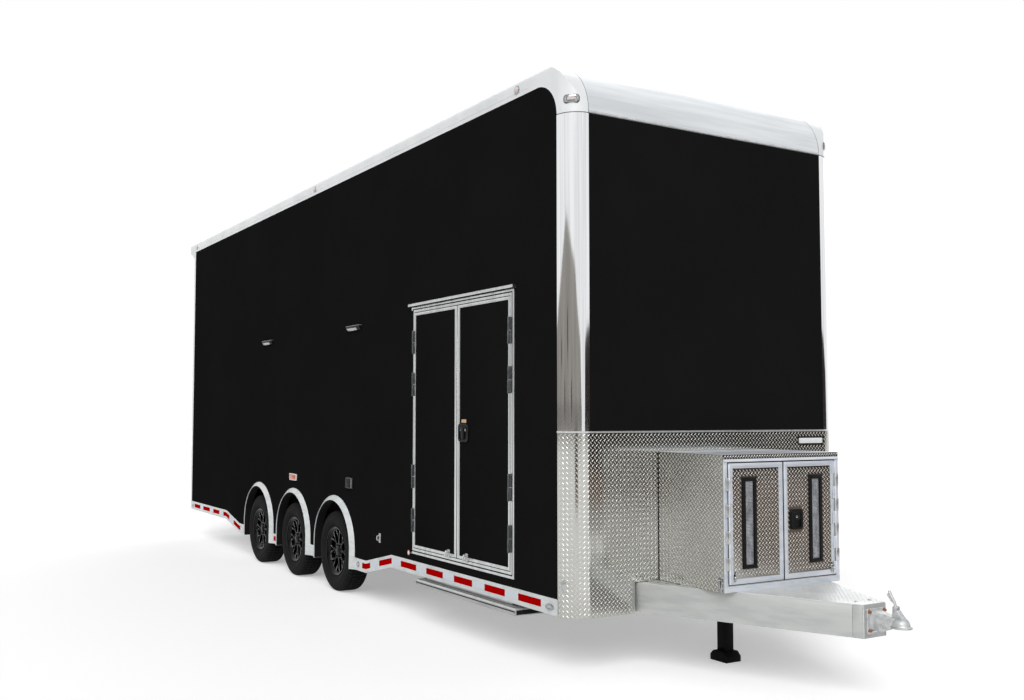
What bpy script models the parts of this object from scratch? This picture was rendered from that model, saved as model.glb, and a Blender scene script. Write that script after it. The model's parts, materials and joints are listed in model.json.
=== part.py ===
"""Bumper-pull stacker car trailer: a tall box body on three axles with an A-frame tongue, tongue box,
double side door, rear ramp door and pull-out step.

Frame: +X forward to the coupler, +Y to the trailer's left, +Z up. The origin is on the ground, at the
centre of the footprint. Metres throughout. Distances named "behind" run rearwards from the front wall.
"""
import math

import bmesh
import bpy
from mathutils import Matrix, Vector

# Clearances
SEAT = 0.0003
RUNNING = 0.0005
DOOR_GAP = 0.006
MEETING_GAP = 0.012

# Body box
BODY_LENGTH = 9.144
BODY_WIDTH = 2.590
WALL = 0.050
CORNER_RADIUS = 0.157
RAIL_TOP = 4.183
RAIL_HEIGHT = 0.125
RAIL_ROUNDING = 0.040
ROOF_CROWN = 0.015
COVE_BOTTOM = 3.807
COVE_REACH = 0.330
CAP_REACH = 0.500
CAP_CURVE_REACH = 0.400
GUARD_TOP = 1.632
GUARD_BOTTOM = 0.387

# Floor and chassis
FLOOR_TOP = 0.627
DECK_THICKNESS = 0.030
RIB_DEPTH = 0.100
RIB_WIDTH = 0.045
RIB_PITCH = 0.610
BOLSTER_BEHIND = 0.660
CHASSIS_BOTTOM = 0.396
RAIL_INSET = 0.415
RAIL_WIDTH = 0.080

# Tongue
BEAM_FRONT_Y = 0.100
BEAM_WALL_Y = 0.733
BEAM_WIDTH = 0.085
NOSE_AHEAD = 1.342
NOSE_LENGTH = 0.060
TONGUE_DECK_THICKNESS = 0.006
COUPLER_REACH = 0.248
COUPLER_RIM_Z = 0.483
COUPLER_RIM_RADIUS = 0.062
BALL_BORE_RADIUS = 0.0305
LATCH_AHEAD = 0.152
LATCH_SEAT_Z = 0.587
LATCH_KNUCKLE_RADIUS = 0.010
LATCH_HALF_WIDTH = 0.010
EAR_THICKNESS = 0.009
NOTCH_CLEARANCE = 0.003

# Tongue box
BOX_LENGTH = 0.628
BOX_WIDTH = 1.090
BOX_TOP = 1.487
BOX_WALL = 0.020
BOX_FLANGE_SIDE = 0.040
BOX_FLANGE_LOW = 0.045
BOX_FLANGE_TOP = 0.050
BOX_DOOR_THICKNESS = 0.030
VENT_WIDTH = 0.100
VENT_HEIGHT = 0.570
VENT_FROM_HINGE = 0.192

# Jack
JACK_AHEAD = 0.075
JACK_LEG_WIDTH = 0.082
JACK_HOUSING_WALL = 0.007
JACK_LEG_TOP = 0.467
JACK_HOUSING_TOP = 0.797
JACK_CAP = 0.015
JACK_BEAM_LENGTH = 0.130
JACK_BEAM_HEIGHT = 0.150
FOOT_LENGTH = 0.164
FOOT_WIDTH = 0.138
FOOT_HEIGHT = 0.072
FOOT_CHAMFER = 0.030

# Wheels
WHEEL_RADIUS = 0.391
TYRE_WIDTH = 0.235
TYRE_INSET = -0.010
AXLE_FIRST_BEHIND = 3.948
AXLE_PITCH = 1.120
AXLE_NAMES = ("front", "middle", "rear")
BEAD_RADIUS = 0.226
BEAD_HALF_WIDTH = 0.088
FLANGE_RADIUS = 0.238
HUB_RADIUS = 0.075
DRUM_RADIUS = 0.150
SPINDLE_RADIUS = 0.032
TYRE_STEPS = 30
RIM_STEPS = 24
SPOKES = 8

# Axles
AXLE_TUBE = 0.090
ARM_REACH = 0.150
ARM_WIDTH = 0.080
ARM_THICKNESS = 0.036

# Wheel arches and skirts
ARCH_OUTER = 0.488
ARCH_INNER = 0.441
ARCH_CENTRE_Z = 0.452
ARCH_STEPS = 12
SKIRT_HEIGHT = 0.112
SKIRT_HIGH = 0.392
SKIRT_LOW = 0.275
KINK_FRONT_HIGH = 2.673
KINK_FRONT_LOW = 3.200
KINK_REAR_LOW = 6.910
KINK_REAR_HIGH = 7.450
SKIRT_PROUD = 0.008
FLARE_PROUD = 0.045
FLARE_EASE = 0.025
WHEEL_BOX_SKIN = 0.010
WHEEL_BOX_TOP = 0.977
WHEEL_BOX_MARGIN = 0.060
WHEEL_BOX_INSET = 0.320

# Side door
DOOR_FRONT = 0.685
DOOR_REAR = 2.300
DOOR_BOTTOM = 0.564
DOOR_TOP = 2.662
DOOR_FRAME_WIDTH = 0.048
DOOR_MEETING = 1.510
DOOR_PROUD = 0.008
HINGE_STANDOFF = 0.015
KNUCKLE_RADIUS = 0.007
HINGE_WEB = 0.0025
HINGE_STRAP = 0.030
HINGE_BITE = 0.004
HINGE_HEIGHT = 0.200
HINGE_SHARES = (0.135, 0.311, 0.683, 0.855)
BOX_HINGE_SHARES = (0.190, 0.500, 0.810)
BOX_HINGE_HEIGHT = 0.120
DRIP_OVERHANG = 0.020
DRIP_HEIGHT = 0.027
DRIP_PROUD = 0.033

# Step
STEP_CENTRE = 1.370
STEP_LENGTH = 1.520
STEP_DEPTH = 0.350
STEP_THICKNESS = 0.055
STEP_TOP = 0.374
STEP_CARRIER_LENGTH = 1.300
STEP_CARRIER_SPACE = 0.015
CARRIER_LIP = 0.007
STEP_CARRIER_DEPTH = 0.270

# Rear
REAR_FRAME_DEPTH = 0.060
REAR_POST_WIDTH = 0.100
RAMP_BOTTOM = 0.578
RAMP_TOP = 3.797
RAMP_PROUD = 0.010
RAMP_HINGE_STANDOFF = 0.014
RAMP_HINGES = 5
RAMP_HINGE_PITCH = 0.480
RAMP_HINGE_LENGTH = 0.120
RAMP_HINGE_STRAP = 0.034
RAMP_KNUCKLE_RADIUS = 0.009
CANOPY_REACH = 0.206
CANOPY_DROP = 0.221
TAIL_LAMP_INSET = 0.215
TAIL_LAMP_Z = 0.487
TAIL_LAMP_WIDTH = 0.200
TAIL_LAMP_HEIGHT = 0.070
TAIL_LAMP_DEPTH = 0.014

# Small fittings on the right wall: name, behind, z, length, height, proud
WALL_FITTINGS = (
    ("scene_lamp_front", 3.500, 2.565, 0.300, 0.050, 0.032),
    ("scene_lamp_rear", 5.940, 2.565, 0.300, 0.050, 0.032),
    ("power_inlet", 3.575, 1.082, 0.150, 0.110, 0.033),
)

# Worked out from the driving sizes
SIDE = BODY_WIDTH / 2
RAIL_CENTRE_Y = SIDE - RAIL_INSET
TYRE_FACE_Y = SIDE - TYRE_INSET
WHEEL_BOX_INNER_Y = SIDE - WHEEL_BOX_INSET
DOOR_HEIGHT = DOOR_TOP - DOOR_BOTTOM
CORNER_Y = SIDE - CORNER_RADIUS
PANEL_TOP = RAIL_TOP - RAIL_HEIGHT
DECK_BOTTOM = FLOOR_TOP - DECK_THICKNESS
RIB_BOTTOM = DECK_BOTTOM - RIB_DEPTH
BEAM_TOP = DECK_BOTTOM - 2 * SEAT
BEAM_SLOPE = (BEAM_WALL_Y - BEAM_FRONT_Y) / NOSE_AHEAD
TONGUE_REACH = NOSE_AHEAD + COUPLER_REACH
FRONT = (BODY_LENGTH + CANOPY_REACH - TONGUE_REACH) / 2
BODY_END = BODY_LENGTH - REAR_FRAME_DEPTH
AXLES = tuple(AXLE_FIRST_BEHIND + AXLE_PITCH * i for i in range(len(AXLE_NAMES)))
TYRE_CENTRE_Y = TYRE_FACE_Y - TYRE_WIDTH / 2
HINGE_Y = SIDE + DOOR_PROUD + HINGE_STANDOFF
BOX_BOTTOM = BEAM_TOP + SEAT
BOX_HINGE_X = BOX_LENGTH + 0.012
BOX_HINGE_Y = BOX_WIDTH / 2 - BOX_FLANGE_SIDE
SIGNS = {"right": -1, "left": 1}

# Finishes: colour, roughness, metallic
FINISHES = {
    "black_skin": ((0.008, 0.008, 0.008), 0.35, 0.0),
    "bright_trim": ((0.82, 0.83, 0.84), 0.22, 1.0),
    "white_trim": ((0.80, 0.81, 0.82), 0.40, 0.0),
    "tread_plate": ((0.62, 0.62, 0.62), 0.35, 1.0),
    "mill_aluminium": ((0.60, 0.61, 0.61), 0.45, 1.0),
    "tyre_rubber": ((0.016, 0.016, 0.016), 0.85, 0.0),
    "gloss_black": ((0.006, 0.006, 0.006), 0.20, 0.0),
    "black_paint": ((0.008, 0.008, 0.008), 0.50, 0.0),
    "cast_zinc": ((0.66, 0.67, 0.67), 0.40, 1.0),
    "lamp_lens": ((0.45, 0.02, 0.015), 0.15, 0.0),
    "clear_lens": ((0.75, 0.76, 0.77), 0.12, 0.0),
    "axle_steel": ((0.03, 0.03, 0.03), 0.55, 0.3),
}


def clear_scene():
    """Empties the scene and makes the two collections: the trailer's pieces and the cutters."""
    for old in list(bpy.data.objects):
        bpy.data.objects.remove(old)
    for name in ("stacker_trailer", "cutters"):
        bpy.context.scene.collection.children.link(bpy.data.collections.new(name))


def finish(name):
    """The material of that name, made on first use."""
    if name in bpy.data.materials:
        return bpy.data.materials[name]
    colour, roughness, metallic = FINISHES[name]
    made = bpy.data.materials.new(name)
    made.use_nodes = True
    shader = made.node_tree.nodes["Principled BSDF"]
    shader.inputs["Base Color"].default_value = (*colour, 1.0)
    shader.inputs["Roughness"].default_value = roughness
    shader.inputs["Metallic"].default_value = metallic
    made.diffuse_color = (*colour, 1.0)
    return made


def add_piece(name, mesh, finish_name=None):
    """An object in the trailer's collection, or a hidden cutter where it has no finish."""
    piece = bpy.data.objects.new(name, mesh)
    if finish_name:
        mesh.materials.append(finish(finish_name))
        bpy.data.collections["stacker_trailer"].objects.link(piece)
    else:
        bpy.data.collections["cutters"].objects.link(piece)
        piece.hide_render = True
        piece.display_type = "WIRE"
    return piece


def behind(distance):
    """X of a place so far behind the front wall."""
    return FRONT - distance


def ahead(distance):
    """X of a place so far ahead of the front wall."""
    return FRONT + distance


def box(name, low, high, finish_name=None):
    """A box between two corners."""
    low, high = Vector(low), Vector(high)
    mesh = bpy.data.meshes.new(name)
    shape = bmesh.new()
    size = Matrix.Diagonal((*(high - low), 1.0))
    bmesh.ops.create_cube(shape, size=1.0, matrix=Matrix.Translation((low + high) / 2) @ size)
    shape.to_mesh(mesh)
    shape.free()
    return add_piece(name, mesh, finish_name)


def rod(name, start, end, radius, finish_name=None, steps=12, end_radius=None):
    """A cylinder, or a cone, from one point to another."""
    start, end = Vector(start), Vector(end)
    along = end - start
    turn = along.to_track_quat("Z", "Y").to_matrix().to_4x4()
    mesh = bpy.data.meshes.new(name)
    shape = bmesh.new()
    bmesh.ops.create_cone(
        shape, cap_ends=True, segments=steps, radius1=radius,
        radius2=radius if end_radius is None else end_radius, depth=along.length,
        matrix=Matrix.Translation((start + end) / 2) @ turn,
    )
    shape.to_mesh(mesh)
    shape.free()
    return add_piece(name, mesh, finish_name)


# For each plane, the rotation that carries a drawn outline (a, b) and its depth to the row's axes
PLANES = {
    "XY": Matrix.Identity(4),
    "XZ": Matrix(((1, 0, 0, 0), (0, 0, -1, 0), (0, 1, 0, 0), (0, 0, 0, 1))),
    "YZ": Matrix(((0, 0, 1, 0), (1, 0, 0, 0), (0, 1, 0, 0), (0, 0, 0, 1))),
}


def prism(name, plane, outline, low, high, finish_name=None, holes=()):
    """A flat outline in a plane, drawn out between two values of the third axis, with any holes left open."""
    if holes:
        return prism_with_holes(name, plane, (outline, *holes), low, high, finish_name)
    mesh = bpy.data.meshes.new(name)
    shape = bmesh.new()
    face = shape.faces.new([shape.verts.new((a, b, -(high - low) / 2)) for a, b in outline])
    drawn = bmesh.ops.extrude_face_region(shape, geom=[face])["geom"]
    bmesh.ops.translate(
        shape, verts=[v for v in drawn if isinstance(v, bmesh.types.BMVert)], vec=(0.0, 0.0, high - low))
    bmesh.ops.recalc_face_normals(shape, faces=shape.faces)
    shape.to_mesh(mesh)
    shape.free()
    mesh.transform(plane_place(plane, low, high))
    return add_piece(name, mesh, finish_name)


def plane_place(plane, low, high):
    """Where a drawn outline's own axes lie, for a depth between two values of the third axis."""
    middle = Vector()
    middle["XYZ".index(next(axis for axis in "XYZ" if axis not in plane))] = (low + high) / 2
    return Matrix.Translation(middle) @ PLANES[plane]


def prism_with_holes(name, plane, loops, low, high, finish_name):
    """An outline with holes, filled as a curve and drawn out."""
    curve = bpy.data.curves.new(name, "CURVE")
    curve.dimensions = "2D"
    curve.fill_mode = "BOTH"
    curve.extrude = abs(high - low) / 2
    for loop in loops:
        spline = curve.splines.new("POLY")
        spline.points.add(len(loop) - 1)
        for point, (a, b) in zip(spline.points, loop):
            point.co = (a, b, 0.0, 1.0)
        spline.use_cyclic_u = True
    drawn = bpy.data.objects.new(name + "_outline", curve)
    bpy.context.scene.collection.objects.link(drawn)
    drawn.matrix_world = plane_place(plane, low, high)
    return solid_from(drawn, name, finish_name)


def solid_from(drawn, name, finish_name=None):
    """The drawn object's evaluated shape as a welded mesh in world place. The drawn object is removed."""
    bpy.context.view_layer.update()
    graph = bpy.context.evaluated_depsgraph_get()
    mesh = bpy.data.meshes.new_from_object(drawn.evaluated_get(graph))
    mesh.transform(drawn.matrix_world)
    shape = bmesh.new()
    shape.from_mesh(mesh)
    bmesh.ops.remove_doubles(shape, verts=shape.verts, dist=0.00001)
    bmesh.ops.recalc_face_normals(shape, faces=shape.faces)
    shape.to_mesh(mesh)
    shape.free()
    mesh.name = name
    mesh.materials.clear()
    bpy.data.objects.remove(drawn)
    return add_piece(name, mesh, finish_name)


def turned(name, profile, steps, closed, finish_name=None):
    """A profile of (radius, height) points turned about the Z axis."""
    mesh = bpy.data.meshes.new(name)
    edges = [(i, i + 1) for i in range(len(profile) - 1)]
    if closed:
        edges.append((len(profile) - 1, 0))
    mesh.from_pydata([(r, 0.0, h) for r, h in profile], edges, [])
    drawn = bpy.data.objects.new(name + "_profile", mesh)
    bpy.context.scene.collection.objects.link(drawn)
    screw = drawn.modifiers.new("turn", "SCREW")
    screw.steps = steps
    screw.render_steps = steps
    screw.use_merge_vertices = True
    screw.merge_threshold = 0.00005
    return solid_from(drawn, name, finish_name)


def change(piece, operation, *others):
    """Joins, cuts or crops a piece with others by Booleans, which stay on it as modifiers."""
    for other in others:
        modifier = piece.modifiers.new(other.name, "BOOLEAN")
        modifier.operation = operation
        modifier.object = other
    return piece


def settled(piece, name, finish_name=None):
    """The piece with its Booleans carried out, as a new plain mesh."""
    return solid_from(piece, name, finish_name)


def arc(centre, radii, start, end, steps):
    """Points on an arc in degrees, ends included, in the plane of the outline."""
    angles = [math.radians(start + (end - start) * i / steps) for i in range(steps + 1)]
    return [(centre[0] + radii[0] * math.cos(a), centre[1] + radii[1] * math.sin(a)) for a in angles]


def skirt_stations():
    """Sections of the skirt and wheel arches from front to rear: behind and z of the upper or outer edge,
    behind and z of the lower or inner edge, and how far that edge stands out of the wall."""
    high, low = SKIRT_HIGH, SKIRT_LOW
    up = SKIRT_HEIGHT
    stations = [
        (CORNER_RADIUS + SEAT, high + up, CORNER_RADIUS + SEAT, high, SKIRT_PROUD),
        (KINK_FRONT_HIGH, high + up, KINK_FRONT_HIGH, high, SKIRT_PROUD),
        (KINK_FRONT_LOW, low + up, KINK_FRONT_LOW, low, SKIRT_PROUD),
    ]
    for centre in AXLES:
        foot = ARCH_OUTER + FLARE_EASE
        stations.append((centre - foot, low + up, centre - foot, low, SKIRT_PROUD))
        stations.append((centre - ARCH_OUTER, low + up, centre - ARCH_INNER, low, FLARE_PROUD))
        for i in range(ARCH_STEPS + 1):
            across = -math.cos(math.pi * i / ARCH_STEPS)
            rise = math.sin(math.pi * i / ARCH_STEPS)
            stations.append((
                centre + ARCH_OUTER * across, ARCH_CENTRE_Z + ARCH_OUTER * rise,
                centre + ARCH_INNER * across, ARCH_CENTRE_Z + ARCH_INNER * rise, FLARE_PROUD,
            ))
        stations.append((centre + ARCH_OUTER, low + up, centre + ARCH_INNER, low, FLARE_PROUD))
        stations.append((centre + foot, low + up, centre + foot, low, SKIRT_PROUD))
    stations += [
        (KINK_REAR_LOW, low + up, KINK_REAR_LOW, low, SKIRT_PROUD),
        (KINK_REAR_HIGH, high + up, KINK_REAR_HIGH, high, SKIRT_PROUD),
        (BODY_END - SEAT, high + up, BODY_END - SEAT, high, SKIRT_PROUD),
    ]
    return stations


def build_skirt(side):
    """Lower rail with its jogs and the three flared wheel arches, one loft of four-cornered sections."""
    sign = SIGNS[side]
    shape = bmesh.new()
    rings = []
    for out_s, out_z, in_s, in_z, proud in skirt_stations():
        rings.append([
            shape.verts.new((behind(out_s), sign * (SIDE + SKIRT_PROUD), out_z)),
            shape.verts.new((behind(in_s), sign * (SIDE + proud), in_z)),
            shape.verts.new((behind(in_s), sign * (SIDE - WALL), in_z)),
            shape.verts.new((behind(out_s), sign * (SIDE - WALL), out_z)),
        ])
    for first, second in zip(rings, rings[1:]):
        for i in range(4):
            j = (i + 1) % 4
            shape.faces.new((first[i], first[j], second[j], second[i]))
    shape.faces.new(rings[0])
    shape.faces.new(rings[-1])
    bmesh.ops.recalc_face_normals(shape, faces=shape.faces)
    mesh = bpy.data.meshes.new("skirt_" + side)
    shape.to_mesh(mesh)
    shape.free()
    add_piece("skirt_" + side, mesh, "white_trim")


def wall_outline():
    """Side wall: above the skirt and round the arches, up to the roof rail, with the front top corner rounded."""
    front = CORNER_RADIUS + SEAT
    lower = []
    for out_s, out_z, _, _, _ in skirt_stations():
        lower.append((behind(out_s), out_z + SEAT))
    lower = clear_of_arches(lower)
    top = PANEL_TOP - SEAT
    corner = arc(
        (behind(CAP_CURVE_REACH), COVE_BOTTOM), (CAP_CURVE_REACH - front, top - COVE_BOTTOM), 90, 0, 6)
    return lower + [(behind(BODY_END - SEAT), top)] + corner


def clear_of_arches(points):
    """Moves the outline's arch points out from each arch by the seat clearance, and drops repeats."""
    kept = []
    for x, z in points:
        for centre in AXLES:
            offset = Vector((x - behind(centre), z - SEAT - ARCH_CENTRE_Z))
            if abs(offset.length - ARCH_OUTER) < 1e-6 or abs(abs(offset.x) - ARCH_OUTER) < 1e-6:
                x += math.copysign(SEAT, offset.x)
        if not kept or (Vector(kept[-1]) - Vector((x, z))).length > 1e-4:
            kept.append((x, z))
    return kept


def rectangle(a_low, b_low, a_high, b_high):
    """The four corners of a rectangle, in order."""
    return [(a_low, b_low), (a_high, b_low), (a_high, b_high), (a_low, b_high)]


def build_walls():
    """Side walls, front wall, and the tread-plate guard that wraps the lower front."""
    doorway = rectangle(
        behind(DOOR_REAR + SEAT), DOOR_BOTTOM - SEAT, behind(DOOR_FRONT - SEAT), DOOR_TOP + SEAT)
    outline = wall_outline()
    prism("wall_right", "XZ", outline, -SIDE, -(SIDE - WALL), "black_skin", holes=[doorway])
    prism("wall_left", "XZ", outline, SIDE - WALL, SIDE, "black_skin")
    prism(
        "front_wall", "YZ",
        rectangle(-CORNER_Y + SEAT, GUARD_TOP + SEAT, CORNER_Y - SEAT, COVE_BOTTOM - SEAT),
        behind(WALL), FRONT, "black_skin")
    inner = CORNER_RADIUS - WALL
    corner = (behind(CORNER_RADIUS), CORNER_Y)
    right = (corner[0], -CORNER_Y)
    outside = arc(right, (CORNER_RADIUS, CORNER_RADIUS), -90, 0, 8)
    outside += arc(corner, (CORNER_RADIUS, CORNER_RADIUS), 0, 90, 8)
    inside = arc(corner, (inner, inner), 90, 0, 6) + arc(right, (inner, inner), 0, -90, 6)
    guard = prism("stone_guard", "XY", outside + inside, GUARD_BOTTOM, GUARD_TOP, "tread_plate")
    for side, sign in SIGNS.items():
        near = beam_outer_y(-WALL) + NOTCH_CLEARANCE
        far = beam_outer_y(0.0) - BEAM_WIDTH - NOTCH_CLEARANCE
        low, high = sorted((sign * near, sign * far))
        notch = box(
            "beam_notch_" + side, (behind(2 * WALL), low, GUARD_BOTTOM - WALL),
            (ahead(WALL), high, BEAM_TOP + NOTCH_CLEARANCE))
        change(guard, "DIFFERENCE", notch)
        outer = arc((corner[0], sign * CORNER_Y), (CORNER_RADIUS, CORNER_RADIUS), 0, sign * 90, 8)
        back = arc((corner[0], sign * CORNER_Y), (inner, inner), sign * 90, 0, 6)
        prism(
            "corner_post_" + side, "XY", outer + back, GUARD_TOP + SEAT, COVE_BOTTOM - SEAT, "bright_trim")


def cove_arc(inset, steps):
    """The front roof cove's curve from the front wall up and back to the roof, drawn in (x, z)."""
    return arc(
        (behind(COVE_REACH), COVE_BOTTOM), (COVE_REACH - inset, RAIL_TOP - COVE_BOTTOM - inset), 0, 90, steps)


def rail_section(sign, outer, top, grow=0.0):
    """Roof rail section in (y, z): an angle with a rounded outer top edge."""
    r = RAIL_ROUNDING
    rounding = arc((outer - r, top - r), (r, r), 0, 90, 4)
    points = [(outer, PANEL_TOP)] + rounding + [
        (CORNER_Y, top), (CORNER_Y, top - WALL), (outer - WALL, top - WALL), (outer - WALL, PANEL_TOP)]
    return [(sign * y, z) for y, z in points]


def build_corner_cap(side):
    """Cast corner where cove, post and roof rail meet: two crossed outlines, hollowed by two smaller ones."""
    sign = SIGNS[side]
    far = 0.05

    def across(low, high):
        return sorted((sign * low, sign * high))

    skin = cove_arc(0.0, 8)
    lower = arc(
        (behind(CAP_CURVE_REACH), COVE_BOTTOM), (CAP_CURVE_REACH - CORNER_RADIUS, PANEL_TOP - COVE_BOTTOM),
        90, 0, 6)
    reach = behind(CAP_REACH)
    outline = skin + [(behind(COVE_REACH), RAIL_TOP + far), (reach, RAIL_TOP + far), (reach, PANEL_TOP)]
    cap = prism(
        "cap_side_" + side, "XZ", outline + lower, *across(CORNER_Y + SEAT, SIDE + far))
    corner = (behind(CORNER_RADIUS), sign * CORNER_Y)
    plan = arc(corner, (CORNER_RADIUS, CORNER_RADIUS), 0, sign * 90, 8)
    plan += [(reach - far, sign * SIDE), (reach - far, sign * (CORNER_Y - far)), (FRONT, sign * (CORNER_Y - far))]
    crop = prism("cap_plan_" + side, "XY", plan, COVE_BOTTOM - far, RAIL_TOP + 2 * far)
    r = RAIL_ROUNDING
    edge = arc((SIDE - r, RAIL_TOP - r), (r, r), 90, 0, 4)
    edge += [(SIDE + 2 * far, RAIL_TOP - r), (SIDE + 2 * far, RAIL_TOP + 2 * far), (SIDE - r, RAIL_TOP + 2 * far)]
    rounding = prism(
        "cap_edge_" + side, "YZ", [(sign * y, z) for y, z in edge], reach - 2 * far, FRONT + 2 * far)
    flat_top = box(
        "cap_top_" + side, (reach - 2 * far, across(CORNER_Y - 2 * far, SIDE + 2 * far)[0], RAIL_TOP),
        (FRONT + far, across(CORNER_Y - 2 * far, SIDE + 2 * far)[1], RAIL_TOP + 3 * far))
    hollow_plan = arc(corner, (CORNER_RADIUS - WALL, CORNER_RADIUS - WALL), 0, sign * 90, 6)
    hollow_plan += [
        (reach - 2 * far, sign * (SIDE - WALL)), (reach - 2 * far, sign * (CORNER_Y - 2 * far)),
        (behind(WALL), sign * (CORNER_Y - 2 * far))]
    hollow = prism("cap_hollow_" + side, "XY", hollow_plan, COVE_BOTTOM - 2 * far, RAIL_TOP - WALL)
    under = cove_arc(WALL, 6) + [(reach - 3 * far, RAIL_TOP - WALL), (reach - 3 * far, COVE_BOTTOM - 3 * far)]
    under += [(behind(WALL), COVE_BOTTOM - 3 * far)]
    change(hollow, "INTERSECT", prism(
        "cap_under_" + side, "XZ", under, *across(CORNER_Y - 3 * far, SIDE + 3 * far)))
    hollow = settled(hollow, "cap_inside_" + side)
    change(cap, "INTERSECT", crop)
    change(cap, "DIFFERENCE", rounding, flat_top, hollow)
    settled(cap, "corner_cap_" + side, "white_trim")


def build_roof():
    """Roof panel with its crown, roof rails, front cove and corner caps."""
    half = CORNER_Y - SEAT
    crown_radius = (half ** 2 + ROOF_CROWN ** 2) / (2 * ROOF_CROWN)
    sweep = math.degrees(math.asin(half / crown_radius))
    crown = arc(
        (0.0, RAIL_TOP + ROOF_CROWN - crown_radius), (crown_radius, crown_radius), 90 - sweep, 90 + sweep, 12)
    section = crown + [(-half, RAIL_TOP - WALL), (half, RAIL_TOP - WALL)]
    prism("roof_panel", "YZ", section, behind(BODY_END - SEAT), behind(COVE_REACH + SEAT), "white_trim")
    cove = cove_arc(0.0, 10) + cove_arc(WALL, 8)[::-1]
    prism("front_cove", "XZ", cove, -half, half, "bright_trim")
    for side, sign in SIGNS.items():
        prism(
            "roof_rail_" + side, "YZ", rail_section(sign, SIDE, RAIL_TOP),
            behind(BODY_END - SEAT), behind(CAP_REACH + SEAT), "white_trim")
        build_corner_cap(side)


def build_floor():
    """Deck with cross ribs beneath, drawn as a comb, notched for the wheel boxes, and two chassis rails."""
    front, rear = WALL + SEAT, BODY_END - SEAT
    comb = [(front, FLOOR_TOP), (front, DECK_BOTTOM)]
    comb += [(BOLSTER_BEHIND, DECK_BOTTOM), (BOLSTER_BEHIND, CHASSIS_BOTTOM)]
    comb += [(BOLSTER_BEHIND + RIB_WIDTH, CHASSIS_BOTTOM), (BOLSTER_BEHIND + RIB_WIDTH, DECK_BOTTOM)]
    ribs = int((rear - BOLSTER_BEHIND - RIB_WIDTH) / RIB_PITCH)
    for i in range(1, ribs + 1):
        start = BOLSTER_BEHIND + RIB_PITCH * i
        comb += [(start, DECK_BOTTOM), (start, RIB_BOTTOM)]
        comb += [(start + RIB_WIDTH, RIB_BOTTOM), (start + RIB_WIDTH, DECK_BOTTOM)]
    comb += [(rear, DECK_BOTTOM), (rear, FLOOR_TOP)]
    floor = prism("floor_deck", "XZ", [(behind(s), z) for s, z in comb], -SIDE, SIDE, "mill_aluminium")
    corner_x, r = behind(CORNER_RADIUS), CORNER_RADIUS - WALL - SEAT
    plan = arc((corner_x, -CORNER_Y), (r, r), -90, 0, 6) + arc((corner_x, CORNER_Y), (r, r), 0, 90, 6)
    plan += [(behind(BODY_LENGTH + WALL), CORNER_Y + r), (behind(BODY_LENGTH + WALL), -CORNER_Y - r)]
    change(floor, "INTERSECT", prism("floor_plan", "XY", plan, 0.0, GUARD_TOP))
    for side, sign in SIGNS.items():
        low, high = sorted((sign * (WHEEL_BOX_INNER_Y - SEAT), sign * (SIDE + WALL)))
        notch = box(
            "wheel_notch_" + side, (behind(wheel_box_rear() + SEAT), low, CHASSIS_BOTTOM - WALL),
            (behind(wheel_box_front() - SEAT), high, FLOOR_TOP + WALL))
        change(floor, "DIFFERENCE", notch)
        low, high = sorted((sign * (RAIL_CENTRE_Y - RAIL_WIDTH / 2), sign * (RAIL_CENTRE_Y + RAIL_WIDTH / 2)))
        box(
            "main_rail_" + side, (behind(BODY_END - SEAT), low, CHASSIS_BOTTOM),
            (behind(BOLSTER_BEHIND + RIB_WIDTH + SEAT), high, RIB_BOTTOM - SEAT), "mill_aluminium")


def wheel_box_front():
    """Distance behind of the wheel boxes' front end."""
    return AXLES[0] - ARCH_OUTER - WHEEL_BOX_MARGIN


def wheel_box_rear():
    """Distance behind of the wheel boxes' rear end."""
    return AXLES[-1] + ARCH_OUTER + WHEEL_BOX_MARGIN


def build_wheel_box(side):
    """Inner fender over three wheels: a sheet box open below and outwards."""
    sign = SIGNS[side]
    outer = SIDE - WALL - SEAT
    low_y, high_y = sorted((sign * WHEEL_BOX_INNER_Y, sign * outer))
    mesh = bpy.data.meshes.new("wheel_box_" + side)
    shape = bmesh.new()
    low = Vector((behind(wheel_box_rear()), low_y, RIB_BOTTOM))
    high = Vector((behind(wheel_box_front()), high_y, WHEEL_BOX_TOP))
    place = Matrix.Translation((low + high) / 2) @ Matrix.Diagonal((*(high - low), 1.0))
    bmesh.ops.create_cube(shape, size=1.0, matrix=place)
    shape.normal_update()
    open_sides = [f for f in shape.faces if f.normal.z < -0.5 or f.normal.y * sign > 0.5]
    bmesh.ops.delete(shape, geom=open_sides, context="FACES")
    shape.to_mesh(mesh)
    shape.free()
    piece = add_piece("wheel_box_" + side, mesh, "black_paint")
    sheet = piece.modifiers.new("sheet", "SOLIDIFY")
    sheet.thickness = WHEEL_BOX_SKIN
    sheet.offset = -1.0
    sheet.use_even_offset = True


def beam_outer_y(ahead_of_wall):
    """Half width over the tongue beams, so far ahead of the front wall."""
    return BEAM_WALL_Y - BEAM_SLOPE * ahead_of_wall


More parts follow.
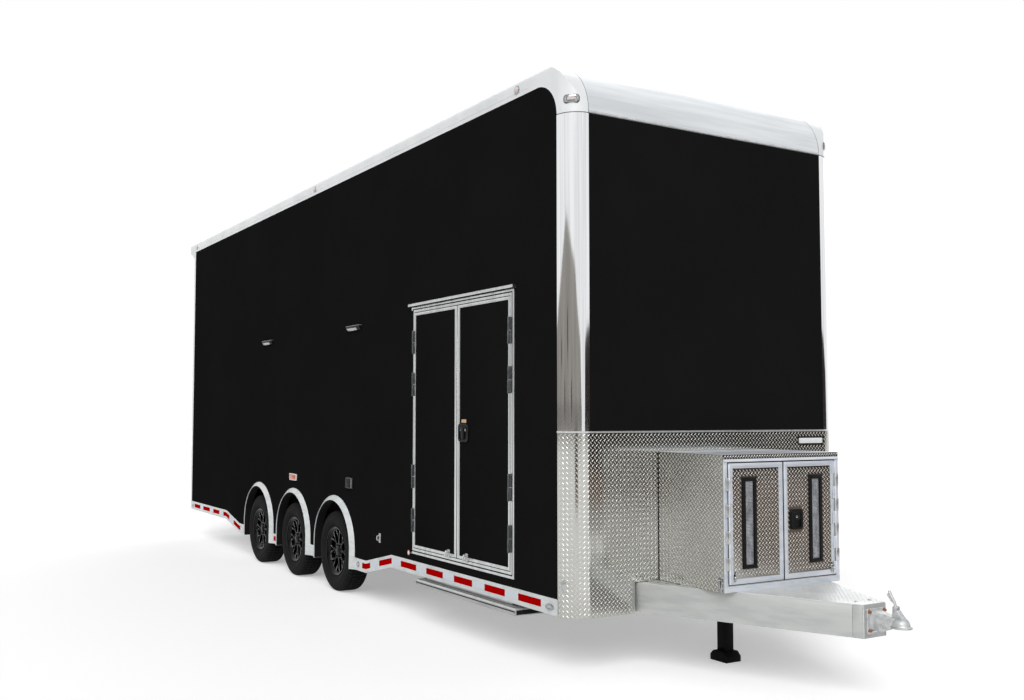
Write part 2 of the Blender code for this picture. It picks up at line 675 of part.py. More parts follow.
def build_tongue():
    """A-frame beams, nose, deck plate, and the jack's cross beam with its housing."""
    nose_back = NOSE_AHEAD - NOSE_LENGTH
    beam_front = nose_back - SEAT
    beam_rear = -(BOLSTER_BEHIND - SEAT)
    for side, sign in SIGNS.items():
        outline = [
            (ahead(beam_rear), sign * beam_outer_y(beam_rear)),
            (ahead(beam_front), sign * beam_outer_y(beam_front)),
            (ahead(beam_front), sign * (beam_outer_y(beam_front) - BEAM_WIDTH)),
            (ahead(beam_rear), sign * (beam_outer_y(beam_rear) - BEAM_WIDTH)),
        ]
        prism("tongue_beam_" + side, "XY", outline, CHASSIS_BOTTOM, BEAM_TOP, "mill_aluminium")
    nose = [(nose_back, -beam_outer_y(nose_back)), (NOSE_AHEAD, -BEAM_FRONT_Y)]
    nose += [(NOSE_AHEAD, BEAM_FRONT_Y), (nose_back, beam_outer_y(nose_back))]
    prism(
        "tongue_nose", "XY", [(ahead(x), y) for x, y in nose], CHASSIS_BOTTOM, BEAM_TOP, "mill_aluminium")
    start = BOX_LENGTH + SEAT
    deck = [(start, -beam_outer_y(start)), (NOSE_AHEAD, -BEAM_FRONT_Y)]
    deck += [(NOSE_AHEAD, BEAM_FRONT_Y), (start, beam_outer_y(start))]
    prism(
        "tongue_deck", "XY", [(ahead(x), y) for x, y in deck], BEAM_TOP + SEAT,
        BEAM_TOP + SEAT + TONGUE_DECK_THICKNESS, "white_trim")
    build_jack()


def upright(name, centre_x, half, low, high, finish_name=None):
    """A square bar that stands on the centreline."""
    return box(name, (centre_x - half, -half, low), (centre_x + half, half, high), finish_name)


def build_jack():
    """Cross beam with the jack's housing, and the square leg with its foot that slides in it."""
    rear, front = JACK_AHEAD - JACK_BEAM_LENGTH / 2, JACK_AHEAD + JACK_BEAM_LENGTH / 2

    def inner_y(place):
        return beam_outer_y(place) - BEAM_WIDTH - SEAT

    outline = [(ahead(rear), -inner_y(rear)), (ahead(front), -inner_y(front))]
    outline += [(ahead(front), inner_y(front)), (ahead(rear), inner_y(rear))]
    mount = prism("jack_mount", "XY", outline, BEAM_TOP - JACK_BEAM_HEIGHT, BEAM_TOP, "black_paint")
    centre = ahead(JACK_AHEAD)
    bore = JACK_LEG_WIDTH / 2 + RUNNING
    housing = upright(
        "jack_housing_wall", centre, bore + JACK_HOUSING_WALL, CHASSIS_BOTTOM, JACK_HOUSING_TOP)
    hole = upright("jack_bore", centre, bore, CHASSIS_BOTTOM - WALL, JACK_HOUSING_TOP - JACK_CAP)
    change(mount, "UNION", housing)
    change(mount, "DIFFERENCE", hole)
    leg = upright(
        "jack_leg", centre, JACK_LEG_WIDTH / 2, FOOT_HEIGHT / 2, JACK_LEG_TOP, "black_paint")
    half, cut = FOOT_LENGTH / 2, FOOT_CHAMFER
    shape = [(-half, 0.0), (half, 0.0), (half, FOOT_HEIGHT - cut), (half - cut, FOOT_HEIGHT)]
    shape += [(-half + cut, FOOT_HEIGHT), (-half, FOOT_HEIGHT - cut)]
    foot = prism("jack_foot_block", "XZ", [(centre + x, z) for x, z in shape], -FOOT_WIDTH / 2, FOOT_WIDTH / 2)
    change(leg, "UNION", foot)


def build_coupler():
    """Cast ball coupler bolted to the nose, with its socket open below, and the latch lever."""
    nose = ahead(NOSE_AHEAD + SEAT)
    tip = ahead(TONGUE_REACH)
    # Sections of the casting: ahead of the nose, half width, lower z, upper z
    sections = (
        (0.000, 0.085, 0.423, 0.575),
        (0.014, 0.085, 0.423, 0.575),
        (0.015, 0.052, 0.427, 0.561),
        (0.060, 0.048, 0.443, 0.555),
        (0.138, 0.036, 0.475, 0.544),
        (0.160, 0.032, 0.487, 0.544),
    )
    shape = bmesh.new()
    rings = []
    for place, half, low, high in sections:
        corners = ((-half, low), (half, low), (half, high), (-half, high))
        rings.append([shape.verts.new((nose + place, y, z)) for y, z in corners])
    for first, second in zip(rings, rings[1:]):
        for i in range(4):
            j = (i + 1) % 4
            shape.faces.new((first[i], first[j], second[j], second[i]))
    shape.faces.new(rings[0])
    shape.faces.new(rings[-1])
    bmesh.ops.recalc_face_normals(shape, faces=shape.faces)
    mesh = bpy.data.meshes.new("coupler")
    shape.to_mesh(mesh)
    shape.free()
    coupler = add_piece("coupler", mesh, "cast_zinc")
    rim = COUPLER_RIM_RADIUS
    centre = tip - rim
    dome_profile = [
        (0.0, 0.068), (0.020, 0.066), (0.038, 0.052), (0.048, 0.030), (0.050, 0.012),
        (rim, 0.010), (rim, 0.0), (0.0, 0.0)]
    dome = turned("coupler_dome", dome_profile, 20, False)
    dome.location = (centre, 0, COUPLER_RIM_Z)
    bore = BALL_BORE_RADIUS
    low = COUPLER_RIM_Z
    ball = rod("ball_space", (centre, 0, low - 0.02), (centre, 0, low + 0.020), bore, steps=20)
    crown = rod(
        "ball_crown", (centre, 0, low + 0.019), (centre, 0, low + 0.044), bore - 0.0001, steps=20,
        end_radius=0.012)
    hump = [(-0.016, 0.537), (0.052, 0.527), (0.052, 0.547), (0.018, LATCH_SEAT_Z), (-0.016, LATCH_SEAT_Z)]
    latch_x = ahead(NOSE_AHEAD + LATCH_AHEAD)
    inside = LATCH_HALF_WIDTH + RUNNING
    outside = inside + EAR_THICKNESS
    saddle = prism("latch_saddle", "XZ", [(latch_x + x, z) for x, z in hump], -outside, outside)
    ears = []
    for side, sign in SIGNS.items():
        near, far = sorted((sign * inside, sign * outside))
        ears.append(box(
            "latch_ear_" + side, (latch_x - 0.012, near, LATCH_SEAT_Z - 0.010),
            (latch_x + 0.012, far, LATCH_SEAT_Z + 0.022)))
    change(coupler, "UNION", dome, saddle, *ears)
    change(coupler, "DIFFERENCE", ball, crown)


def build_latch():
    """Coupler latch lever: a bent bar on a knuckle between the casting's ears."""
    curve = bpy.data.curves.new("latch", "CURVE")
    curve.dimensions = "3D"
    curve.bevel_depth = 0.008
    curve.bevel_resolution = 1
    curve.use_fill_caps = True
    knuckle_z = LATCH_SEAT_Z + LATCH_KNUCKLE_RADIUS + SEAT
    # From the knuckle: ahead, up
    route = ((0.0, 0.0), (-0.010, 0.032), (-0.032, 0.066), (-0.046, 0.095))
    spline = curve.splines.new("POLY")
    spline.points.add(len(route) - 1)
    latch_x = ahead(NOSE_AHEAD + LATCH_AHEAD)
    for point, (x, z) in zip(spline.points, route):
        point.co = (latch_x + x, 0.0, knuckle_z + z, 1.0)
    drawn = bpy.data.objects.new("latch_route", curve)
    bpy.context.scene.collection.objects.link(drawn)
    lever = solid_from(drawn, "coupler_latch", "cast_zinc")
    change(lever, "UNION", rod(
        "latch_knuckle", (latch_x, -LATCH_HALF_WIDTH, knuckle_z), (latch_x, LATCH_HALF_WIDTH, knuckle_z),
        LATCH_KNUCKLE_RADIUS, steps=16))


def build_tongue_box():
    """Hollow sheet box on the tongue with a flanged front opening."""
    half = BOX_WIDTH / 2
    case = box(
        "tongue_box", (ahead(SEAT), -half, BOX_BOTTOM), (ahead(BOX_LENGTH), half, BOX_TOP), "tread_plate")
    inside = box(
        "box_inside", (ahead(BOX_WALL), -half + BOX_WALL, BOX_BOTTOM + BOX_WALL),
        (ahead(BOX_LENGTH - BOX_WALL), half - BOX_WALL, BOX_TOP - BOX_WALL))
    mouth = box(
        "box_mouth", (ahead(BOX_LENGTH - 2 * BOX_WALL), -BOX_HINGE_Y, BOX_BOTTOM + BOX_FLANGE_LOW),
        (ahead(BOX_LENGTH + BOX_WALL), BOX_HINGE_Y, BOX_TOP - BOX_FLANGE_TOP))
    well = upright(
        "jack_well", ahead(JACK_AHEAD), JACK_LEG_WIDTH / 2 + JACK_HOUSING_WALL + 2 * RUNNING,
        BOX_BOTTOM - BOX_WALL, BOX_BOTTOM + 2 * BOX_WALL)
    change(case, "DIFFERENCE", inside, mouth, well)
    for side in SIGNS:
        build_box_door(side, case)


def build_box_door(side, case):
    """One tongue-box door with its vent slot and hinges. Its case half of each hinge joins the case."""
    sign = SIGNS[side]
    low_z = BOX_BOTTOM + BOX_FLANGE_LOW + DOOR_GAP
    high_z = BOX_TOP - BOX_FLANGE_TOP - DOOR_GAP
    near, far = sorted((sign * MEETING_GAP / 2, sign * (BOX_HINGE_Y - DOOR_GAP)))
    face = BOX_LENGTH + 0.002
    door = box(
        "box_door_" + side, (ahead(face - BOX_DOOR_THICKNESS), near, low_z), (ahead(face), far, high_z),
        "tread_plate")
    middle = (low_z + high_z) / 2
    vent_y = sign * (BOX_HINGE_Y - VENT_FROM_HINGE)
    slot = box(
        "vent_slot_" + side, (ahead(face - 0.06), vent_y - VENT_WIDTH / 2, middle - VENT_HEIGHT / 2),
        (ahead(face + 0.06), vent_y + VENT_WIDTH / 2, middle + VENT_HEIGHT / 2))
    change(door, "DIFFERENCE", slot)
    axis = Vector((ahead(BOX_HINGE_X), sign * (BOX_HINGE_Y - DOOR_GAP / 2), 0.0))
    into_door = Vector((0.0, -sign, 0.0))
    for i, share in enumerate(BOX_HINGE_SHARES):
        add_hinge(f"box_{side}_{i}", axis, low_z + share * (high_z - low_z), BOX_HINGE_HEIGHT, into_door, Vector((-1, 0, 0)),
                  BOX_HINGE_X - face, BOX_HINGE_X - BOX_LENGTH, door, case)


def add_hinge(name, axis, level, height, into_leaf, inward, leaf_drop, frame_drop, leaf, frame):
    """A lift-off hinge: its lower half joins the leaf and its upper half the frame. The drops are the axis's
    distances out from the leaf's face and from the frame's."""
    halves = (
        ("leaf", leaf, into_leaf, leaf_drop, level - height / 2, level),
        ("frame", frame, -into_leaf, frame_drop, level + RUNNING, level + height / 2),
    )
    for half, owner, toward, drop, low, high in halves:
        rod(f"{name}_{half}_knuckle", (axis.x, axis.y, low), (axis.x, axis.y, high), KNUCKLE_RADIUS, steps=8)
        # Plan of the strap: distance from the axis along the leaf, and inward
        steps = (
            (0.0, -HINGE_WEB), (HINGE_STRAP, -HINGE_WEB), (HINGE_STRAP, drop + HINGE_BITE),
            (DOOR_GAP / 2 + 0.001, drop + HINGE_BITE), (DOOR_GAP / 2 + 0.001, HINGE_WEB), (0.0, HINGE_WEB),
        )
        plan = [axis + toward * t + inward * n for t, n in steps]
        strap = prism(f"{name}_{half}_strap", "XY", [(p.x, p.y) for p in plan], low + 0.002, high - 0.002)
        change(owner, "UNION", strap, bpy.data.objects[f"{name}_{half}_knuckle"])


def build_side_door():
    """Door frame in the right wall, its two leaves on vertical hinges, and the drip cap above."""
    w = DOOR_FRAME_WIDTH
    outer = rectangle(behind(DOOR_REAR), DOOR_BOTTOM, behind(DOOR_FRONT), DOOR_TOP)
    inner = rectangle(behind(DOOR_REAR - w), DOOR_BOTTOM + w, behind(DOOR_FRONT + w), DOOR_TOP - w)
    frame = prism(
        "side_door_frame", "XZ", outer, -(SIDE + DOOR_PROUD), -(SIDE - WALL), "bright_trim", holes=[inner])
    leaves = (
        ("front", DOOR_FRONT + w + DOOR_GAP, DOOR_MEETING - MEETING_GAP / 2, DOOR_FRONT + w + DOOR_GAP / 2, -1),
        ("rear", DOOR_MEETING + MEETING_GAP / 2, DOOR_REAR - w - DOOR_GAP, DOOR_REAR - w - DOOR_GAP / 2, 1),
    )
    for name, start, end, hinge, turn in leaves:
        leaf = box(
            "side_door_" + name,
            (behind(end), -(SIDE + DOOR_PROUD), DOOR_BOTTOM + w + DOOR_GAP),
            (behind(start), -(SIDE + DOOR_PROUD - WALL), DOOR_TOP - w - DOOR_GAP), "black_skin")
        axis = Vector((behind(hinge), -HINGE_Y, 0.0))
        for i, share in enumerate(HINGE_SHARES):
            add_hinge(f"side_{name}_{i}", axis, DOOR_BOTTOM + share * DOOR_HEIGHT, HINGE_HEIGHT, Vector((turn, 0, 0)), Vector((0, 1, 0)),
                      HINGE_STANDOFF, HINGE_STANDOFF, leaf, frame)
    wall = -(SIDE + SEAT)
    low = DOOR_TOP + SEAT
    drip = [(wall, low), (wall, low + DRIP_HEIGHT), (-(SIDE + DRIP_PROUD), low + DRIP_HEIGHT / 2),
            (-(SIDE + DRIP_PROUD), low + DRIP_HEIGHT / 5), (-(SIDE + DOOR_PROUD), low)]
    prism(
        "drip_cap", "YZ", drip, behind(DOOR_REAR + DRIP_OVERHANG), behind(DOOR_FRONT - DRIP_OVERHANG),
        "bright_trim")


def build_step():
    """Pull-out step under the side door, and the carrier it slides in."""
    start, end = STEP_CENTRE - STEP_LENGTH / 2, STEP_CENTRE + STEP_LENGTH / 2
    outer = -(SIDE + FLARE_PROUD)
    box(
        "step", (behind(end), outer, STEP_TOP - STEP_THICKNESS), (behind(start), outer + STEP_DEPTH, STEP_TOP),
        "mill_aluminium")
    carrier_y = -(SIDE - WALL - RUNNING)
    front = BOLSTER_BEHIND + RIB_WIDTH + STEP_CARRIER_SPACE
    box(
        "step_carrier", (behind(front + STEP_CARRIER_LENGTH), carrier_y, STEP_TOP + RUNNING),
        (behind(front), carrier_y + STEP_CARRIER_DEPTH, RIB_BOTTOM - SEAT), "mill_aluminium")
    lip = box(
        "carrier_lip", (behind(front + STEP_CARRIER_LENGTH), -SIDE, STEP_TOP + CARRIER_LIP),
        (behind(front), carrier_y + WALL, SKIRT_HIGH - SEAT))
    change(bpy.data.objects["step_carrier"], "UNION", lip)


def build_rear():
    """Rear frame with its canopy, ramp door hinged at the sill, and tail lamps."""
    r = RAIL_ROUNDING
    outer = [(-SIDE, SKIRT_HIGH), (SIDE, SKIRT_HIGH)]
    outer += arc((SIDE - r, RAIL_TOP - r), (r, r), 0, 90, 4) + arc((-SIDE + r, RAIL_TOP - r), (r, r), 90, 180, 4)
    side_view = [
        (behind(BODY_LENGTH + SEAT), RAIL_TOP + WALL), (behind(BODY_LENGTH + SEAT), RAIL_TOP - CANOPY_DROP),
        (behind(BODY_LENGTH + 0.8 * CANOPY_REACH), PANEL_TOP), (behind(BODY_LENGTH + CANOPY_REACH), PANEL_TOP),
        (behind(BODY_LENGTH + CANOPY_REACH), RAIL_TOP + WALL)]
    canopy = prism("rear_canopy", "XZ", side_view, -SIDE - WALL, SIDE + WALL, "white_trim")
    change(canopy, "INTERSECT", prism(
        "canopy_crop", "YZ", outer, behind(BODY_LENGTH + 2 * CANOPY_REACH), behind(0.0)))
    mouth = SIDE - REAR_POST_WIDTH
    hole = rectangle(-mouth, RAMP_BOTTOM, mouth, RAMP_TOP)
    face = BODY_LENGTH
    frame = prism("rear_frame", "YZ", outer, behind(face), behind(BODY_END), "white_trim", holes=[hole])
    half = mouth - DOOR_GAP
    ramp_face = face + RAMP_PROUD
    ramp = box(
        "ramp_door", (behind(ramp_face), -half, RAMP_BOTTOM + DOOR_GAP),
        (behind(ramp_face - WALL), half, RAMP_TOP - MEETING_GAP), "black_skin")
    axis_x = behind(ramp_face + RAMP_HINGE_STANDOFF)
    axis_z = RAMP_BOTTOM + DOOR_GAP / 2
    for i in range(RAMP_HINGES):
        middle = (i - (RAMP_HINGES - 1) / 2) * RAMP_HINGE_PITCH
        halves = (
            ("ramp", ramp, middle - RAMP_HINGE_LENGTH / 2, middle, 1, ramp_face),
            ("frame", frame, middle + RUNNING, middle + RAMP_HINGE_LENGTH / 2, -1, face),
        )
        for half_name, owner, low, high, toward, face_at in halves:
            pin = rod(
                f"ramp_hinge_{i}_{half_name}_knuckle", (axis_x, low, axis_z), (axis_x, high, axis_z),
                RAMP_KNUCKLE_RADIUS, steps=8)
            inner = behind(face_at) + HINGE_BITE
            near = axis_z + toward * (DOOR_GAP / 2 + 0.001)
            far = axis_z + toward * RAMP_HINGE_STRAP
            outline = [
                (axis_x - HINGE_WEB, axis_z), (axis_x - HINGE_WEB, far), (inner, far), (inner, near),
                (axis_x + HINGE_WEB, near), (axis_x + HINGE_WEB, axis_z)]
            strap = prism(f"ramp_hinge_{i}_{half_name}_strap", "XZ", outline, low + 0.002, high - 0.002)
            change(owner, "UNION", strap, pin)
    for side, sign in SIGNS.items():
        centre_y = SIDE - TAIL_LAMP_INSET
        low_y, high_y = sorted(
            (sign * (centre_y - TAIL_LAMP_WIDTH / 2), sign * (centre_y + TAIL_LAMP_WIDTH / 2)))
        box(
            "tail_lamp_" + side,
            (behind(face + TAIL_LAMP_DEPTH), low_y, TAIL_LAMP_Z - TAIL_LAMP_HEIGHT / 2),
            (behind(face + SEAT), high_y, TAIL_LAMP_Z + TAIL_LAMP_HEIGHT / 2), "lamp_lens")


def build_fittings():
    """Lamps and the power inlet on the right wall."""
    for name, place, z, length, height, proud in WALL_FITTINGS:
        half, rise = length / 2, height / 2
        wall = -(SIDE + SEAT)
        out = -(SIDE + proud)
        section = [(wall, z - rise), (wall, z + rise), (out, z + rise * 0.8), (out, z - rise * 0.4)]
        prism(
            name, "YZ", section, behind(place + half), behind(place - half),
            "gloss_black" if name == "power_inlet" else "clear_lens")


def build_tyre_mesh():
    """Tyre section, bead to bead, as (radius, distance out from the tyre's middle)."""
    r, h = WHEEL_RADIUS, TYRE_WIDTH / 2
    half = [(r, h * 0.62), (r - 0.010, h * 0.82), (r - 0.038, h * 0.95), (r - 0.078, h), (r - 0.128, h * 0.92),
            (FLANGE_RADIUS + 0.004, BEAD_HALF_WIDTH), (BEAD_RADIUS, BEAD_HALF_WIDTH)]
    profile = [(a, b) for a, b in half[::-1]] + [(a, -b) for a, b in half]
    return turned("tyre", profile, TYRE_STEPS, True)


def build_rim_mesh():
    """Wheel: barrel with flanges, spoked disc, hub with drum, and the bore for the spindle."""
    barrel_r = BEAD_RADIUS * math.cos(math.pi / TYRE_STEPS) - SEAT
    lip = BEAD_HALF_WIDTH + 0.0015
    profile = [
        (FLANGE_RADIUS - 0.010, lip + 0.010), (FLANGE_RADIUS, lip + 0.006), (FLANGE_RADIUS, lip), (barrel_r, lip),
        (barrel_r, -lip), (FLANGE_RADIUS, -lip), (FLANGE_RADIUS, -lip - 0.008), (barrel_r - 0.012, -lip - 0.008),
        (barrel_r - 0.016, lip - 0.010),
    ]
    barrel = turned("rim_barrel", profile, RIM_STEPS, True)
    bore = (SPINDLE_RADIUS + RUNNING) / math.cos(math.pi / RIM_STEPS)
    drum_back = -0.100
    hub_profile = [
        (0.0, 0.086), (0.040, 0.086), (0.052, 0.066), (HUB_RADIUS, 0.060), (HUB_RADIUS, -0.022),
        (DRUM_RADIUS, -0.030), (DRUM_RADIUS, drum_back), (bore, drum_back), (bore, 0.030), (0.0, 0.030),
    ]
    hub = turned("rim_hub", hub_profile, RIM_STEPS, False)
    rim_edge = arc((0, 0), (barrel_r - 0.006, barrel_r - 0.006), 0, 360 - 360 / RIM_STEPS, RIM_STEPS - 1)
    windows = []
    for i in range(SPOKES):
        middle = 360 / SPOKES * (i + 0.5)
        wide, narrow = 14.5, 9.0
        outer = arc((0, 0), (0.196, 0.196), middle - wide, middle + wide, 2)
        inner = arc((0, 0), (0.096, 0.096), middle + narrow, middle - narrow, 1)
        windows.append(outer + inner)
    disc = prism("rim_disc", "XY", rim_edge, 0.036, 0.058, holes=windows)
    change(barrel, "UNION", disc, hub)
    return settled(barrel, "rim")


def build_wheels():
    """Six wheels from one tyre mesh and one rim mesh, each placed on its spindle."""
    tyre, rim = build_tyre_mesh().data, build_rim_mesh().data
    for shared, look in ((tyre, "tyre_rubber"), (rim, "gloss_black")):
        shared.materials.append(finish(look))
        shared.shade_smooth()
        shared.set_sharp_from_angle(angle=math.radians(35))
    for shape in ("tyre", "rim"):
        bpy.data.objects.remove(bpy.data.objects[shape])
    for place, centre in zip(AXLE_NAMES, AXLES):
        for side, sign in SIGNS.items():
            # The turned axis lies along Y with its outer end outboard, and the first facet edge straight down
            outward = Matrix(((0, -sign, 0), (0, 0, sign), (-1, 0, 0)))
            for shape, mesh in (("tyre", tyre), ("rim", rim)):
                wheel = bpy.data.objects.new(f"{shape}_{place}_{side}", mesh)
                bpy.data.collections["stacker_trailer"].objects.link(wheel)
                wheel.rotation_mode = "QUATERNION"
                wheel.rotation_quaternion = outward.to_quaternion()
                wheel.location = (behind(centre), sign * TYRE_CENTRE_Y, WHEEL_RADIUS)


def build_axles():
    """Torsion axles: a cross tube under the chassis rails, a rising arm at each end, and a spindle."""
    tube_top = CHASSIS_BOTTOM - SEAT
    tube_z = tube_top - AXLE_TUBE / 2
    reach = RAIL_CENTRE_Y + RAIL_WIDTH / 2 + 0.014
    for place, centre in zip(AXLE_NAMES, AXLES):
        tube_x = behind(centre - ARM_REACH)
        half = AXLE_TUBE / 2
        tube = box(
            "axle_" + place, (tube_x - half, -reach, tube_z - half), (tube_x + half, reach, tube_top), "axle_steel")
        for side, sign in SIGNS.items():
            rise = math.degrees(math.atan2(WHEEL_RADIUS - tube_z, -ARM_REACH))
            w = ARM_WIDTH / 2
            bar = arc((tube_x, tube_z), (w, w), rise + 90, rise + 270, 6)
            bar += arc((behind(centre), WHEEL_RADIUS), (w, w), rise - 90, rise + 90, 6)
            low, high = sorted((sign * (reach - 0.008), sign * (reach - 0.008 + ARM_THICKNESS)))
            arm = prism(f"arm_{place}_{side}", "XZ", bar, low, high)
            spindle = rod(
                f"spindle_{place}_{side}", (behind(centre), sign * reach, WHEEL_RADIUS),
                (behind(centre), sign * (TYRE_CENTRE_Y + 0.024), WHEEL_RADIUS), SPINDLE_RADIUS, steps=RIM_STEPS)
            change(tube, "UNION", arm, spindle)


def smooth_round_pieces():
    """Shades the curved pieces smooth and leaves their corners sharp."""
    for piece in bpy.data.collections["stacker_trailer"].objects:
        piece.data.shade_smooth()
        piece.data.set_sharp_from_angle(angle=math.radians(30))


def build_trailer():
    """Builds every piece of the trailer."""
    clear_scene()
    build_walls()
    build_roof()
    build_floor()
    for side in SIGNS:
        build_skirt(side)
        build_wheel_box(side)
    build_tongue()
    build_coupler()
    build_latch()
    build_tongue_box()
    build_side_door()
    build_step()
    build_rear()
    build_fittings()
    build_axles()
    build_wheels()
    smooth_round_pieces()


build_trailer()
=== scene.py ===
"""Looks of the stacker car trailer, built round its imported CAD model.

Row frame: +X forward to the coupler, +Y to the trailer's left, +Z up, the origin on the ground under the
middle. Metres throughout, and millimetres in the finishes. Distances named "behind" run rearwards from the
front wall's face, and "ahead" forwards from it.
"""
from __future__ import annotations

import json
import logging
import math
from dataclasses import dataclass
from enum import Enum
from typing import Callable, Iterable, Optional, Sequence, Union

import bmesh
import bpy
from mathutils import Matrix, Vector

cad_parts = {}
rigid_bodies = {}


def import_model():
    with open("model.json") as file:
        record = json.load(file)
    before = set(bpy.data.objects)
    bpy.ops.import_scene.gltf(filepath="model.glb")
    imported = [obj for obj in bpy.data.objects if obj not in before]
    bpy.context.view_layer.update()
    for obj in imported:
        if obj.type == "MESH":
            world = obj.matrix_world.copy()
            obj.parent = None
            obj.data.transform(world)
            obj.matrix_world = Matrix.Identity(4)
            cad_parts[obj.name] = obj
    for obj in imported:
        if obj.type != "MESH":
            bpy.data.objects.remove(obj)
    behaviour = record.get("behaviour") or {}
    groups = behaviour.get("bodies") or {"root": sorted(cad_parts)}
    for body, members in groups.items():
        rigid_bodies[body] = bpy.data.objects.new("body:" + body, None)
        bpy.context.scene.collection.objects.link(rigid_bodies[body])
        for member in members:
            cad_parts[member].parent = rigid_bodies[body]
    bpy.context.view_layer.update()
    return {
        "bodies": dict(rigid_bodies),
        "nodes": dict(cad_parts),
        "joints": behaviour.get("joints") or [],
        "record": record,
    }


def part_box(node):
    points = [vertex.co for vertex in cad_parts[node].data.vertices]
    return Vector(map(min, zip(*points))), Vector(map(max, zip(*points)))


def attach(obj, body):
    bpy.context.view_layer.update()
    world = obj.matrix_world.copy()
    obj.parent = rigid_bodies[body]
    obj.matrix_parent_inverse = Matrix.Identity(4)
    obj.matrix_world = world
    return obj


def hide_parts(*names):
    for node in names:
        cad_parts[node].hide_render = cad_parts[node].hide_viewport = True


LOG = logging.getLogger("stacker_trailer")
Point = tuple[float, float]
Place = Union[Vector, Sequence[float]]


class Side(Enum):
    """The trailer's two sides, each with the sign of Y on it."""

    RIGHT = -1
    LEFT = 1

    @property
    def sign(self) -> int:
        """The sign of Y on this side."""
        return self.value

    @property
    def tag(self) -> str:
        """The side's name as it ends a piece's name."""
        return self.name.lower()


class Plane(Enum):
    """The plane that an outline is drawn in. Its value carries (a, b, depth) to the row's axes."""

    XY = ((1, 0, 0), (0, 1, 0), (0, 0, 1))
    XZ = ((1, 0, 0), (0, 0, 1), (0, 1, 0))
    YZ = ((0, 1, 0), (0, 0, 1), (1, 0, 0))

    def point(self, a: float, b: float, depth: float) -> Vector:
        """The row-frame point of a drawn point at a depth."""
        first, second, third = (Vector(axis) for axis in self.value)
        return first * a + second * b + third * depth


def linear(colour: str) -> tuple[float, float, float, float]:
    """Turns an sRGB hex colour to Blender's linear values.

    Args:
        colour: The colour as "#RRGGBB".

    Returns:
        Red, green, blue and an alpha of 1.
    """
    values = []
    for start in (1, 3, 5):
        share = int(colour[start:start + 2], 16) / 255
        values.append(share / 12.92 if share <= 0.04045 else ((share + 0.055) / 1.055) ** 2.4)
    return (*values, 1.0)


def add_node(tree: bpy.types.NodeTree, kind: str, inputs: Optional[dict] = None,
             **settings) -> bpy.types.Node:
    """Adds a node with its settings and links.

    Args:
        tree: The node tree that takes it.
        kind: Blender's name for the kind of node.
        inputs: For each input socket, by name or number, the socket linked to it or its value.
        settings: The node's own properties.

    Returns:
        The node.
    """
    made = tree.nodes.new(kind)
    for name, value in settings.items():
        setattr(made, name, value)
    for key, value in (inputs or {}).items():
        if isinstance(value, bpy.types.NodeSocket):
            tree.links.new(value, made.inputs[key])
        else:
            made.inputs[key].default_value = value
    return made


